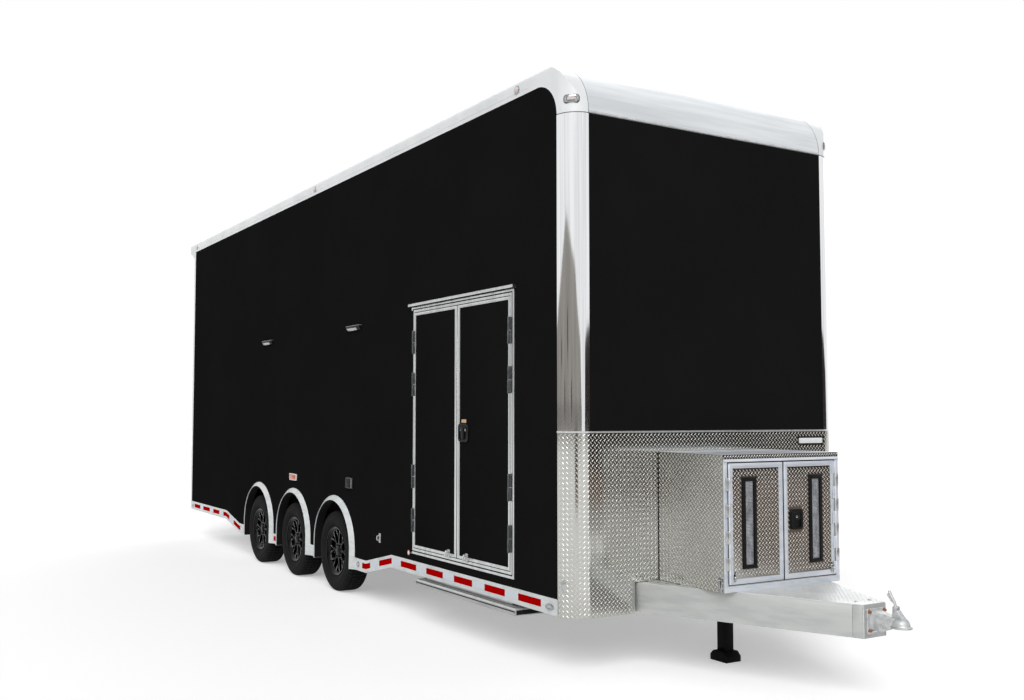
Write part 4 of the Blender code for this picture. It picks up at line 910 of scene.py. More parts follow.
@dataclass
class BodySkins:
    """The flat black skins, the polished corner posts and the screws of the roof rails."""

    datum: Datum
    frame: dict
    post_thickness: float = 0.050
    screw_pitch: float = 0.305
    screw_radius: float = 0.0055
    screw_z: float = 4.116
    first_screw: float = 0.62

    def dress(self) -> None:
        """Paints the flat skins, which stay as the CAD has them."""
        paint(self.frame, BLACK_SKIN, "wall_left", "wall_right", "front_wall")

    def build(self) -> None:
        """Builds the posts and the rail screws."""
        d = self.datum
        for side in Side:
            centre = (d.behind(d.corner_radius), side.sign * (d.side - d.corner_radius))
            inner = d.corner_radius - self.post_thickness
            outline = arc(centre, (d.corner_radius,) * 2, 0, side.sign * 90, 40)
            outline += arc(centre, (inner, inner), side.sign * 90, 0, 16)
            Shape().prism(
                Plane.XY, outline, d.guard_top + d.seat, d.cove_low - d.seat,
            ).piece(f"post_{side.tag}", POLISHED_POST, replaces=[f"corner_post_{side.tag}"])
            screws = Shape()
            for i in range(int((d.front - self.first_screw - d.rear) / self.screw_pitch)):
                x = d.behind(self.first_screw + self.screw_pitch * i)
                screws.dome(
                    (x, side.sign * d.side, self.screw_z), (0, side.sign, 0), self.screw_radius, 0.002, 8)
            screws.piece(f"rail_screws_{side.tag}", BRIGHT_TRIM, slot="white_trim")


@dataclass
class StoneGuard:
    """Tread plate round the lower front, with its lugs, the bright strip on top and a blank plate."""

    datum: Datum
    thickness: float = 0.050
    notch_top: float = 0.5994
    # Distances from the centreline between which a notch lies
    notch: Point = (0.645, 0.760)
    strip_height: float = 0.012
    strip_proud: float = 0.004
    plate_y: Point = (0.865, 1.121)
    plate_z: Point = (1.529, 1.569)
    plate_thickness: float = 0.002

    @property
    def flat_half(self) -> float:
        """Half the width of the flat front."""
        return self.datum.side - self.datum.corner_radius

    @property
    def bend(self) -> float:
        """Length of the curve round one corner."""
        return self.datum.corner_radius * math.pi / 2

    def where(self, u: float, v: float) -> tuple[Vector, Vector, Vector, Vector]:
        """The guard's face at u along it from the middle, towards the left, and v up.

        Args:
            u: Distance along the face from the centreline.
            v: Height.

        Returns:
            The point, the directions along and up the face, and the direction out of it.
        """
        sign = math.copysign(1.0, u)
        turn = max(0.0, abs(u) - self.flat_half) / self.datum.corner_radius
        out = Vector((math.cos(turn), sign * math.sin(turn), 0.0))
        centre = Vector((self.datum.behind(self.datum.corner_radius), sign * min(abs(u), self.flat_half), v))
        along = Vector((-math.sin(turn), sign * math.cos(turn), 0.0)) * sign
        return centre + out * self.datum.corner_radius, along * 1.0, Vector((0.0, 0.0, 1.0)), out

    def in_notch(self, u: float, v: float, margin: float = 0.0) -> bool:
        """Whether a place on the face lies in a notch for a tongue beam.

        Args:
            u: Distance along the face from the centreline.
            v: Height.
            margin: How far round the notch still counts.

        Returns:
            True where it does.
        """
        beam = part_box("tongue_beam_left")
        near, far = self.notch[0] - margin, self.notch[1] + margin
        return near < abs(u) < min(far, beam[1].y) and v < self.notch_top + margin

    def build(self) -> None:
        """Builds the plate, its lugs and its trim."""
        d = self.datum
        half = self.flat_half + self.bend
        stops = [self.flat_half - 0.006] + [self.flat_half + self.bend * i / 20 for i in range(21)]
        columns = sorted({s * u for u in [*stops, *self.notch] for s in (-1, 1)} | {0.0})
        rows = [d.guard_low, self.notch_top, d.guard_top]
        self._plate(columns, rows)
        pattern = TreadPattern()
        mesh = pattern.mesh(
            "guard_lugs", [(-half, d.guard_low, half, d.guard_top - self.strip_height, self.where)],
            lambda u, v: not self.in_notch(u, v, 0.014) and not self._under_box(u, v)
            and not self._under_plate(u, v))
        show("guard_lugs", mesh, TREAD_LUG)
        strip = Shape()
        outer = [self.where(u, 0.0) for u in columns]
        rings = []
        for point, _, _, out in outer:
            top = d.guard_top + 0.001
            low = top - self.strip_height
            rings.append([
                point + out * r + Vector((0, 0, z)) for r, z in (
                    (-0.002, low), (self.strip_proud * 0.6, low), (self.strip_proud, low + 0.003),
                    (self.strip_proud, top - 0.002), (self.strip_proud * 0.5, top), (-0.002, top))])
        strip.loft(rings).piece("guard_strip", BRIGHT_TRIM)
        face = d.front + TreadPattern().height
        Shape().prism(
            Plane.YZ, rounded(self.plate_y[0], self.plate_z[0], self.plate_y[1], self.plate_z[1], 0.006),
            face - 0.002, face + self.plate_thickness, 0.0005,
        ).piece("blank_plate", WHITE_ENAMEL)
        rivets = Shape()
        for y in (self.plate_y[0] + 0.010, self.plate_y[1] - 0.010):
            rivets.dome((face + self.plate_thickness, y, sum(self.plate_z) / 2), (1, 0, 0), 0.004, 0.0018,
                        10)
        rivets.piece("plate_rivets", BRIGHT_TRIM)

    def _under_box(self, u: float, v: float) -> bool:
        """Whether the tongue box hides a place on the face."""
        low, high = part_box("tongue_box")
        return abs(u) < high.y - 0.012 and low.z + 0.012 < v < high.z - 0.012

    def _under_plate(self, u: float, v: float) -> bool:
        """Whether the blank plate covers a place on the face."""
        return (
            self.plate_y[0] - 0.014 < u < self.plate_y[1] + 0.014
            and self.plate_z[0] - 0.014 < v < self.plate_z[1] + 0.014)

    def _plate(self, columns: list[float], rows: list[float]) -> None:
        """The plate itself, closed, with its two notches.

        Args:
            columns: Distances along the face at which it is divided.
            rows: Heights at which it is divided.
        """
        part = bmesh.new()
        grid: dict[tuple[int, int, int], bmesh.types.BMVert] = {}
        for i, u in enumerate(columns):
            for j, v in enumerate(rows):
                point, _, _, out = self.where(u, v)
                for layer in (0, 1):
                    grid[i, j, layer] = part.verts.new(point - out * (self.thickness * layer))
        cells = set()
        for i in range(len(columns) - 1):
            for j in range(len(rows) - 1):
                u, v = (columns[i] + columns[i + 1]) / 2, (rows[j] + rows[j + 1]) / 2
                if not self.in_notch(u, v):
                    cells.add((i, j))
        for i, j in cells:
            for layer in (0, 1):
                part.faces.new(
                    [grid[a, b, layer] for a, b in ((i, j), (i + 1, j), (i + 1, j + 1), (i, j + 1))])
            edges = (
                ((i, j), (i + 1, j), (i, j - 1)), ((i, j + 1), (i + 1, j + 1), (i, j + 1)),
                ((i, j), (i, j + 1), (i - 1, j)), ((i + 1, j), (i + 1, j + 1), (i + 1, j)))
            for a, b, neighbour in edges:
                if neighbour not in cells:
                    part.faces.new([grid[(*a, 0)], grid[(*b, 0)], grid[(*b, 1)], grid[(*a, 1)]])
        loose = [v for v in part.verts if not v.link_faces]
        bmesh.ops.delete(part, geom=loose, context="VERTS")
        Shape().add(part).piece("guard_plate", TREAD_PLATE, replaces=["stone_guard"])


@dataclass
class Roof:
    """Roof skin, rails, front cove, corner caps, and the hood over the rear door."""

    datum: Datum
    cove_reach: float = 0.330
    cap_reach: float = 0.500
    cap_curve_reach: float = 0.400
    crown: float = 0.015
    gasket: float = 0.0028
    seam_pitch: float = 1.22

    def build(self) -> None:
        """Builds every piece of the roof."""
        self._panel()
        self._cove()
        for side in Side:
            self._rail(side)
            self._cap(side)
            self._gaskets(side)
        self._hood()

    @property
    def height(self) -> float:
        """Height of the cove's curve."""
        return self.datum.roof_top - self.datum.cove_low

    @property
    def panel_top(self) -> float:
        """Height of the side skins' top edge."""
        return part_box("wall_left")[1].z + self.datum.seat

    def _cove_arc(self, inset: float, steps: int) -> list[Point]:
        """The cove's curve in (x, z), so far inside its face."""
        d = self.datum
        return arc(
            (d.behind(self.cove_reach), d.cove_low), (self.cove_reach - inset, self.height - inset), 0, 90,
            steps)

    def _cove(self) -> None:
        """The front cove with its lower lip, and a dark seal under the lip that paints the shadow gap there."""
        d = self.datum
        half = d.side - d.corner_radius - d.seat
        outline = self._cove_arc(0.0, 40) + self._cove_arc(d.wall, 12)[::-1]
        Shape().prism(Plane.XZ, outline, -half, half).piece(
            "cove_skin", COVE_ALUMINIUM, replaces=["front_cove"])
        lip = [(d.front - 0.004, 0.002), (d.front + 0.0035, 0.002), (d.front + 0.0045, 0.006),
               (d.front + 0.0035, 0.016), (d.front - 0.002, 0.020)]
        Shape().prism(
            Plane.XZ, [(x, d.cove_low + z) for x, z in lip], -half, half).piece(
            "cove_lip", BRIGHT_TRIM)
        # A dark strip under the lip: a seal, drawn dark as painted shadow in the gap under the lip
        Shape().box(
            (d.front - 0.004, -half, d.cove_low - 0.008), (d.front + 0.0012, half, d.cove_low - 0.0005),
        ).piece("cove_seal", SEAL_RUBBER)

    def _panel(self) -> None:
        """The crowned roof skin with its lap seams."""
        d = self.datum
        half = d.side - d.corner_radius - d.seat
        radius = (half ** 2 + self.crown ** 2) / (2 * self.crown)
        sweep = math.degrees(math.asin(half / radius))
        centre = (0.0, d.roof_top + self.crown - radius)
        top = arc(centre, (radius, radius), 90 - sweep, 90 + sweep, 48)
        rear = d.rear + d.rear_frame_depth + d.seat
        front = d.behind(self.cove_reach + d.seat)
        Shape().prism(
            Plane.YZ, top + [(-half, d.roof_top - d.wall), (half, d.roof_top - d.wall)], rear, front,
        ).piece("roof_skin", WHITE_ENAMEL, replaces=["roof_panel"])
        seams = Shape()
        under = arc(centre, (radius - 0.001,) * 2, 90 + sweep, 90 - sweep, 24)
        over = arc(centre, (radius + 0.0016,) * 2, 90 - sweep, 90 + sweep, 24)
        count = int((front - rear) / self.seam_pitch)
        for i in range(1, count + 1):
            x = rear + (front - rear) * i / (count + 1)
            seams.prism(Plane.YZ, over + under, x - 0.022, x + 0.022)
        seams.piece("roof_seams", ROAD_ENAMEL)
        screws = Shape()
        for i in range(1, count + 1):
            x = rear + (front - rear) * i / (count + 1)
            for j in range(-7, 8):
                y = half * j / 7.5
                z = centre[1] + math.sqrt(radius ** 2 - y ** 2) + 0.0015
                screws.dome((x, y, z), (0, 0, 1), 0.005, 0.002, 8)
        screws.piece("roof_screws", BRIGHT_TRIM)

    def _rail(self, side: Side) -> None:
        """One roof rail with its rounded shoulder and a shadow groove.

        Args:
            side: The trailer's side.
        """
        d = self.datum
        r, outer, top = d.rail_rounding, d.side, d.roof_top
        inner = d.side - d.corner_radius
        groove = self.panel_top + 0.030
        points = [(outer, self.panel_top), (outer, groove), (outer - 0.0025, groove + 0.001),
                  (outer - 0.0025, groove + 0.004), (outer, groove + 0.005)]
        points += arc((outer - r, top - r), (r, r), 0, 90, 14)
        points += [(inner, top), (inner, top - d.wall), (outer - d.wall, top - d.wall),
                   (outer - d.wall, self.panel_top)]
        Shape().prism(
            Plane.YZ, [(side.sign * y, z) for y, z in points], d.rear + d.rear_frame_depth + d.seat,
            d.behind(self.cap_reach + d.seat),
        ).piece(f"rail_{side.tag}", WHITE_ENAMEL, replaces=[f"roof_rail_{side.tag}"])

    def _cap(self, side: Side) -> None:
        """The cast cap where cove, post and rail meet, as crossed outlines joined by Booleans.

        Args:
            side: The trailer's side.
        """
        d = self.datum
        sign, far, r = side.sign, 0.05, d.rail_rounding
        corner_y = d.side - d.corner_radius
        reach = d.behind(self.cap_reach)
        outline = self._cove_arc(0.0, 32)
        outline += [(d.behind(self.cove_reach), d.roof_top + far), (reach, d.roof_top + far),
                    (reach, self.panel_top)]
        outline += arc(
            (d.behind(self.cap_curve_reach), d.cove_low),
            (self.cap_curve_reach - d.corner_radius, self.panel_top - d.cove_low), 90, 0, 18)
        low_y, high_y = sorted((sign * (corner_y + d.seat), sign * (d.side + far)))
        cap = hidden("cap_body", Shape().prism(Plane.XZ, outline, low_y, high_y))
        corner = (d.behind(d.corner_radius), sign * corner_y)
        plan = arc(corner, (d.corner_radius,) * 2, 0, sign * 90, 32)
        plan += [(reach - far, sign * d.side), (reach - far, sign * (corner_y - far)),
                 (d.front, sign * (corner_y - far))]
        crop = hidden("cap_plan", Shape().prism(Plane.XY, plan, d.cove_low - far, d.roof_top + 2 * far))
        edge = arc((d.side - r, d.roof_top - r), (r, r), 90, 0, 14)
        edge += [(d.side + 2 * far, d.roof_top - r), (d.side + 2 * far, d.roof_top + 3 * far),
                 (corner_y - 2 * far, d.roof_top + 3 * far), (corner_y - 2 * far, d.roof_top)]
        above = hidden("cap_above", Shape().prism(
            Plane.YZ, [(sign * y, z) for y, z in edge], reach - 2 * far, d.front + 2 * far))
        mesh = combined(cap, (("INTERSECT", crop), ("DIFFERENCE", above)))
        show(f"cap_{side.tag}", mesh, WHITE_ENAMEL, replaces=[f"corner_cap_{side.tag}"], smooth=24)

    def _gaskets(self, side: Side) -> None:
        """The thin dark joints under the cap, between cap and cove, and along the skin's rounded corner.

        Args:
            side: The trailer's side.
        """
        d = self.datum
        sign = side.sign
        corner_y = d.side - d.corner_radius
        joints = Shape()
        centre = (d.behind(d.corner_radius), sign * corner_y)
        joints.tube([
            (x, y, d.cove_low) for x, y in arc(centre, (d.corner_radius - 0.0006,) * 2, 0, sign * 90, 24)],
            self.gasket)
        joints.tube([(x, sign * corner_y, z) for x, z in self._cove_arc(0.0014, 32)], self.gasket * 0.8)
        bend = arc(
            (d.behind(self.cap_curve_reach), d.cove_low),
            (self.cap_curve_reach - d.corner_radius, self.panel_top - d.cove_low), 0, 90, 18)
        joints.tube([(x, sign * (d.side - 0.0012), z) for x, z in bend], 0.002)
        joints.piece(f"cap_joints_{side.tag}", SEAL_RUBBER)

    def _hood(self) -> None:
        """The rail's end that runs on past the rear door as a hood with a sloped underside."""
        d, r = self.datum, self.datum.rail_rounding
        low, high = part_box("rear_canopy")
        stations = (
            (high.x, low.z), (low.x + 0.2 * (high.x - low.x), self.panel_top), (low.x, self.panel_top))
        rings = []
        for x, bottom in stations:
            outline = [(-d.side, bottom), (d.side, bottom)]
            outline += arc((d.side - r, d.roof_top - r), (r, r), 0, 90, 12)
            outline += arc((-d.side + r, d.roof_top - r), (r, r), 90, 180, 12)
            rings.append([(x, y, z) for y, z in outline])
        Shape().loft(rings).piece("rear_hood", WHITE_ENAMEL, replaces=["rear_canopy"])


def hidden(name: str, shape: Shape) -> bpy.types.Object:
    """A shape as an object for a Boolean, which is removed once that is done."""
    return link(name, shape.cast(name))


def combined(base: bpy.types.Object, steps: Sequence[tuple[str, bpy.types.Object]]) -> bpy.types.Mesh:
    """Carries out Booleans on an object.

    Args:
        base: The object that is changed, which is removed at the end.
        steps: Each operation with the object that it uses, which is removed too.

    Returns:
        The mesh that comes of it.
    """
    for operation, other in steps:
        modifier = base.modifiers.new(other.name, "BOOLEAN")
        modifier.operation = operation
        modifier.object = other
    bpy.context.view_layer.update()
    mesh = bpy.data.meshes.new_from_object(base.evaluated_get(bpy.context.evaluated_depsgraph_get()))
    mesh.materials.clear()
    for used in [base] + [other for _, other in steps]:
        bpy.data.objects.remove(used)
    return mesh


@dataclass
class Skirts:
    """Lower rails with their jogs, the flared wheel arches, and the reflective tape."""

    datum: Datum
    height: float = 0.112
    low: float = 0.275
    kinks: tuple[float, float, float, float] = (2.673, 3.200, 6.910, 7.450)
    start: float = 0.1573
    flare_proud: float = 0.045
    flare_ease: float = 0.025
    arch_outer: float = 0.488
    arch_inner: float = 0.441
    arch_z: float = 0.452
    tape_height: float = 0.050
    tape_rise: float = 0.060
    tape_thickness: float = 0.0008
    # Each red block from and to, behind the front wall
    red_blocks: tuple[Point, ...] = (
        (0.343, 0.627), (0.804, 1.086), (1.270, 1.550), (1.731, 2.011), (2.193, 2.478), (2.658, 2.912),
        (3.101, 3.276), (5.572, 5.684), (6.871, 7.136), (7.318, 7.569), (7.745, 8.011), (8.173, 8.477),
        (8.623, 8.905))
    # The white blocks between them
    white_blocks: tuple[Point, ...] = (
        (0.640, 0.792), (1.099, 1.258), (1.562, 1.719), (2.024, 2.180), (2.492, 2.645), (2.925, 3.088),
        (7.149, 7.305), (7.582, 7.732), (8.024, 8.160), (8.490, 8.610))

    @property
    def end(self) -> float:
        """Distance behind of the skirt's rear end."""
        return self.datum.front - self.datum.rear - 0.0603

    def base(self, place: float) -> float:
        """Height of the skirt's lower edge at a distance behind the front wall.

        Args:
            place: Distance behind the front wall.

        Returns:
            The height.
        """
        a, b, c, e = self.kinks
        if place <= a or place >= e:
            return self.datum.skirt_high
        if b <= place <= c:
            return self.low
        share = (place - a) / (b - a) if place < b else (e - place) / (e - c)
        return self.datum.skirt_high + (self.low - self.datum.skirt_high) * share

    def stations(self, steps: int) -> list[tuple[float, float, float, float, float]]:
        """Sections from front to rear.

        Args:
            steps: How many stretches each arch has.

        Returns:
            For each, behind and z of the outer edge, behind and z of the inner edge, and how far that edge
            stands out of the wall.
        """
        def straight(place: float) -> tuple[float, float, float, float, float]:
            """The section of the plain skirt at a place."""
            return (place, self.base(place) + self.height, place, self.base(place), self.datum.skirt_proud)

        found = [straight(place) for place in (self.start, self.kinks[0], self.kinks[1])]
        for centre in self.datum.axles:
            foot = self.arch_outer + self.flare_ease
            found.append(straight(centre - foot))
            found.append((
                centre - self.arch_outer, self.low + self.height, centre - self.arch_inner, self.low,
                self.flare_proud))
            for i in range(steps + 1):
                across, rise = -math.cos(math.pi * i / steps), math.sin(math.pi * i / steps)
                found.append((
                    centre + self.arch_outer * across, self.arch_z + self.arch_outer * rise,
                    centre + self.arch_inner * across, self.arch_z + self.arch_inner * rise,
                    self.flare_proud))
            found.append((
                centre + self.arch_outer, self.low + self.height, centre + self.arch_inner, self.low,
                self.flare_proud))
            found.append(straight(centre + foot))
        return found + [straight(place) for place in (self.kinks[2], self.kinks[3], self.end)]

    def build(self) -> None:
        """Builds both skirts with their tape."""
        for side in Side:
            self._skirt(side)
            self._edges(side)
            self._liners(side)
            self._tape(side, "red_tape", self.red_blocks, RED_TAPE)
            self._tape(side, "white_tape", self.white_blocks, WHITE_TAPE)

    def _skirt(self, side: Side) -> None:
        """The skirt and its arches, one loft with a rolled outer lip.

        Args:
            side: The trailer's side.
        """
        d = self.datum
        rings = []
        for out_s, out_z, in_s, in_z, proud in self.stations(36):
            outer = Vector((d.behind(out_s), side.sign * (d.side + d.skirt_proud), out_z))
            inner = Vector((d.behind(in_s), side.sign * (d.side + proud), in_z))
            back = Vector((0.0, -side.sign * 0.004, 0.0))
            down = (inner - outer).normalized() * 0.004
            rings.append([
                outer + back, outer + down, inner - down, inner + back,
                (inner.x, side.sign * (d.side - d.wall), inner.z),
                (outer.x, side.sign * (d.side - d.wall), outer.z)])
        Shape().loft(rings).piece(
            f"skirt_rail_{side.tag}", ROAD_ENAMEL, replaces=[f"skirt_{side.tag}"], smooth=25)

    def _edges(self, side: Side) -> None:
        """The dark joint between the skirt and the skin, along the top edge and round the arches.

        Args:
            side: The trailer's side.
        """
        d = self.datum
        path = []
        for out_s, out_z, _, _, _ in self.stations(36):
            point = (d.behind(out_s), side.sign * (d.side + 0.0006), out_z + 0.0006)
            if not path or (Vector(path[-1]) - Vector(point)).length > 0.002:
                path.append(point)
        Shape().tube(path, 0.0022, 6).piece(f"skirt_joint_{side.tag}", SEAL_RUBBER)

    def _liners(self, side: Side) -> None:
        """Black rubber liners that line each arch behind its rolled lip.

        Args:
            side: The trailer's side.
        """
        d = self.datum
        liners = Shape()
        outer = d.side + self.flare_proud - 0.010
        for centre in d.axles:
            rings = []
            for i in range(37):
                turn = math.pi * i / 36
                rings.append(self._liner_ring(side, centre, turn, outer))
            feet = [[(p[0], p[1], self.low + 0.003) for p in ring] for ring in (rings[0], rings[-1])]
            liners.loft([feet[0]] + rings + [feet[1]])
        liners.piece(f"arch_liner_{side.tag}", SEAL_RUBBER)

    def _liner_ring(self, side: Side, centre: float, turn: float, outer: float) -> list[Place]:
        """One section of an arch liner, at an angle round the arch.

        Args:
            side: The trailer's side.
            centre: The axle's distance behind the front wall.
            turn: The angle, in radians.
            outer: How far out the liner reaches.

        Returns:
            The section's points.
        """
        d = self.datum
        ring = []
        for radius, y in ((0.0008, outer), (0.0008, d.side - d.wall), (-0.004, d.side - d.wall),
                          (-0.004, outer)):
            reach = self.arch_inner + radius
            ring.append((
                d.behind(centre - reach * math.cos(turn)), side.sign * y,
                self.arch_z + reach * math.sin(turn)))
        return ring

    def _tape(self, side: Side, name: str, blocks: Sequence[Point], finish: Finish) -> None:
        """Blocks of tape that follow the skirt.

        Args:
            side: The trailer's side.
            name: What the piece's name starts with.
            blocks: From and to of each block, behind the front wall.
            finish: The tape's finish.
        """
        shape = Shape()
        face = self.datum.side + self.datum.skirt_proud
        for start, end in blocks:
            cuts = [start] + [k for k in self.kinks if start < k < end] + [end]
            rings = []
            for place in cuts:
                low = self.base(place) + self.tape_rise - self.tape_height / 2
                rings.append([
                    (self.datum.behind(place), side.sign * y, z) for y, z in (
                        (face - 0.001, low), (face + self.tape_thickness, low),
                        (face + self.tape_thickness, low + self.tape_height),
                        (face - 0.001, low + self.tape_height))])
            shape.loft(rings)
        shape.piece(f"{name}_{side.tag}", finish)


@dataclass
class SideDoor:
    """Double door in the right wall: frame, leaves with edge extrusions, hinges, handle and catches."""

    datum: Datum
    frame_width: float = 0.048
    gap: float = 0.006
    meeting: float = 1.510
    handle_place: float = 1.403
    handle_z: float = 1.600
    hook_places: tuple[tuple[str, float], ...] = (("rear", 1.637), ("front", 1.354))
    hook_z: float = 0.636
    catch_places: tuple[Point, ...] = ((2.915, 0.625), (0.100, 0.597))
    badge: Point = (2.345, 0.562)
    meeting_gap: float = 0.012
    proud: float = 0.008
    thickness: float = 0.050
    edge_width: float = 0.023
    meeting_edge: float = 0.034
    groove: Point = (0.019, 0.028)
    edge_proud: float = 0.003
    standoff: float = 0.015
    knuckle: float = 0.006
    strap: float = 0.011
    hinge_height: float = 0.200
    hinge_shares: tuple[float, ...] = (0.135, 0.311, 0.683, 0.855)

    def build(self) -> None:
        """Builds the door."""
        d = self.datum
        face = -(d.side + self.proud)
        w = self.frame_width
        outer = rectangle(d.behind(d.door_rear), d.door_bottom, d.behind(d.door_front), d.door_top)
        inner = rectangle(d.behind(d.door_rear - w), d.door_bottom + w, d.behind(d.door_front + w),
                          d.door_top - w)
        a, b = (rectangle(d.behind(d.door_rear - g), d.door_bottom + g, d.behind(d.door_front + g),
                          d.door_top - g)
                for g in self.groove)
        frame = Shape().frame(Plane.XZ, outer, inner, -(d.side - self.thickness), face + 0.002, 0.001)
        frame.frame(Plane.XZ, outer, a, face + 0.003, face, 0.0012)
        Shape().frame(Plane.XZ, a, b, face + 0.003, face + 0.0012).piece(
            "frame_groove", SEAL_RUBBER)
        Shape().box(
            (d.behind(d.door_rear + 0.0004), face + 0.006, d.door_bottom + 0.004),
            (d.behind(d.door_rear - self.groove[1]), face - 0.0008, d.door_top - 0.030), 0.0006,
        ).piece("rear_jamb_cover", BLACK_SKIN)
        hinges = Shape()
        leaves = (
            ("front", d.door_front + w + self.gap, self.meeting - self.meeting_gap / 2,
             d.door_front + w + self.gap / 2, -1),
            ("rear", self.meeting + self.meeting_gap / 2, d.door_rear - w - self.gap,
             d.door_rear - w - self.gap / 2, 1))
        for name, start, end, hinge, turn in leaves:
            self._leaf(name, start, end, hinge, turn, face, hinges)
        frame.piece("door_frame", BRIGHT_TRIM, replaces=["side_door_frame"])
        hinges.piece("door_hinges", HINGE_STEEL)
        self._seal()
        self._drip_cap()
        self._handle(face)
        self._catches(face)

    def _leaf(self, name: str, start: float, end: float, hinge: float, turn: int, face: float,
              frame: Shape) -> None:
        """One leaf with its black panel, bright edges, liner and hinges.

        Args:
            name: The leaf's name.
            start: Its front edge, behind the front wall.
            end: Its rear edge.
            hinge: Its hinge line.
            turn: +1 where the leaf lies towards +X from its hinge, -1 where towards -X.
            face: Y of its face.
            frame: The shape that takes the frame's half of each hinge.
        """
        d = self.datum
        body = f"side_door_{name}"
        low, high = d.door_bottom + self.frame_width + self.gap, d.door_top - self.frame_width - self.gap
        outer = rectangle(d.behind(end), low, d.behind(start), high)
        e = self.edge_width
        rear_edge, front_edge = (self.meeting_edge, e) if turn < 0 else (e, self.meeting_edge)
        inner = rectangle(d.behind(end) + rear_edge, low + e, d.behind(start) - front_edge, high - e)
        step = rectangle(d.behind(end) + rear_edge * 0.7, low + e * 0.7, d.behind(start) - front_edge * 0.7,
                         high - e * 0.7)
        halves = Shape()
        Shape().box(
            (d.behind(end) + 0.003, face + 0.004, low + 0.003),
            (d.behind(start) - 0.003, face + self.thickness - 0.004, high - 0.003), 0.001,
        ).piece(f"leaf_{name}_panel", BLACK_SKIN, body=body, replaces=[body])
        edges = Shape().frame(Plane.XZ, outer, inner, face + self.thickness, face + 0.001, 0.0012)
        edges.frame(Plane.XZ, outer, step, face + 0.003, face - self.edge_proud * 0.2, 0.001)
        axis = Vector((d.behind(hinge), -(d.side + self.proud + self.standoff), 0.0))
        height = d.door_top - d.door_bottom
        for share in self.hinge_shares:
            level = d.door_bottom + share * height
            self._hinge(halves, axis, level - self.hinge_height / 2, level - 0.0005, turn)
            self._hinge(frame, axis, level + 0.0005, level + self.hinge_height / 2, -turn)
        edges.piece(f"leaf_{name}_edges", BRIGHT_TRIM, body=body)
        halves.piece(f"leaf_{name}_hinges", HINGE_STEEL, body=body)
        Shape().box(
            (d.behind(end) + 0.010, face + self.thickness - 0.005, low + 0.010),
            (d.behind(start) - 0.010, face + self.thickness + 0.001, high - 0.010), 0.001,
        ).piece(f"leaf_{name}_liner", LINER_WHITE, body=body)

    def _hinge(self, shape: Shape, axis: Vector, low: float, high: float, toward: int) -> None:
        """Half a hinge: a knuckle of turned segments, its strap and the strap's screws.

        Args:
            shape: The shape that takes it.
            axis: A point of the hinge line.
            low: Where it starts.
            high: Where it ends.
            toward: +1 where its strap runs towards +X, else -1.
        """
        shape.rod((axis.x, axis.y, low), (axis.x, axis.y, high), self.knuckle, 16, ease=0.0008)
        reach = self.standoff + 0.001
        shape.box(
            (axis.x, axis.y - 0.0025, low + 0.002),
            (axis.x + toward * self.strap, axis.y + 0.0025, high - 0.002),
            0.0008)
        shape.box(
            (axis.x + toward * (self.strap - 0.012), axis.y, low + 0.002),
            (axis.x + toward * self.strap, axis.y + reach, high - 0.002), 0.0008)
        for share in (0.2, 0.5, 0.8):
            shape.dome(
                (axis.x + toward * (self.strap - 0.006), axis.y - 0.0025, low + share * (high - low)),
                (0, -1, 0), 0.0042, 0.0016, 10)

    def _seal(self) -> None:
        """Dark rubber in the joint between the leaves and the frame."""
        d = self.datum
        w = self.frame_width
        y_low, y_high = -(d.side - 0.036), -(d.side - 0.010)
        outer = rectangle(d.behind(d.door_rear - w), d.door_bottom + w, d.behind(d.door_front + w),
                          d.door_top - w)
        i = w + 0.0045
        inner = rectangle(d.behind(d.door_rear - i), d.door_bottom + i, d.behind(d.door_front + i),
                          d.door_top - i)
        Shape().frame(Plane.XZ, outer, inner, y_low, y_high).piece(
            "door_seal", SEAL_RUBBER)
        Shape().box(
            (d.behind(self.meeting + 0.0055), -(d.side - 0.030), d.door_bottom + w + 0.008),
            (d.behind(self.meeting - 0.0045), -(d.side - 0.006), d.door_top - w - 0.008),
        ).piece("leaf_seal", SEAL_RUBBER, body="side_door_front")

    def _drip_cap(self) -> None:
        """The drip cap above the door, with a folded nose and end plates."""
        d = self.datum
        low = d.door_top + 0.0003
        x_low, x_high = d.behind(d.door_rear + 0.020), d.behind(d.door_front - 0.020)
        outer = [(d.side + 0.0003, low + 0.027), (d.side + 0.030, low + 0.0262),
                 (d.side + 0.033, low + 0.023),
                 (d.side + 0.033, low + 0.003), (d.side + 0.0305, low + 0.003),
                 (d.side + 0.0300, low + 0.0225),
                 (d.side + 0.0003, low + 0.0230)]
        cap = Shape().prism(Plane.YZ, [(-y, z) for y, z in outer], x_low, x_high)
        side = [(d.side + 0.0003, low), (d.side + 0.0003, low + 0.0265), (d.side + 0.006, low + 0.0265),
                (d.side + 0.0325, low + 0.013), (d.side + 0.0325, low + 0.0045),
                (d.side + 0.012, low + 0.001)]
        for x in (x_low, x_high - 0.003):
            cap.prism(Plane.YZ, [(-y, z) for y, z in side], x, x + 0.003)
        cap.piece("drip_rail", BRIGHT_TRIM, replaces=["drip_cap"])

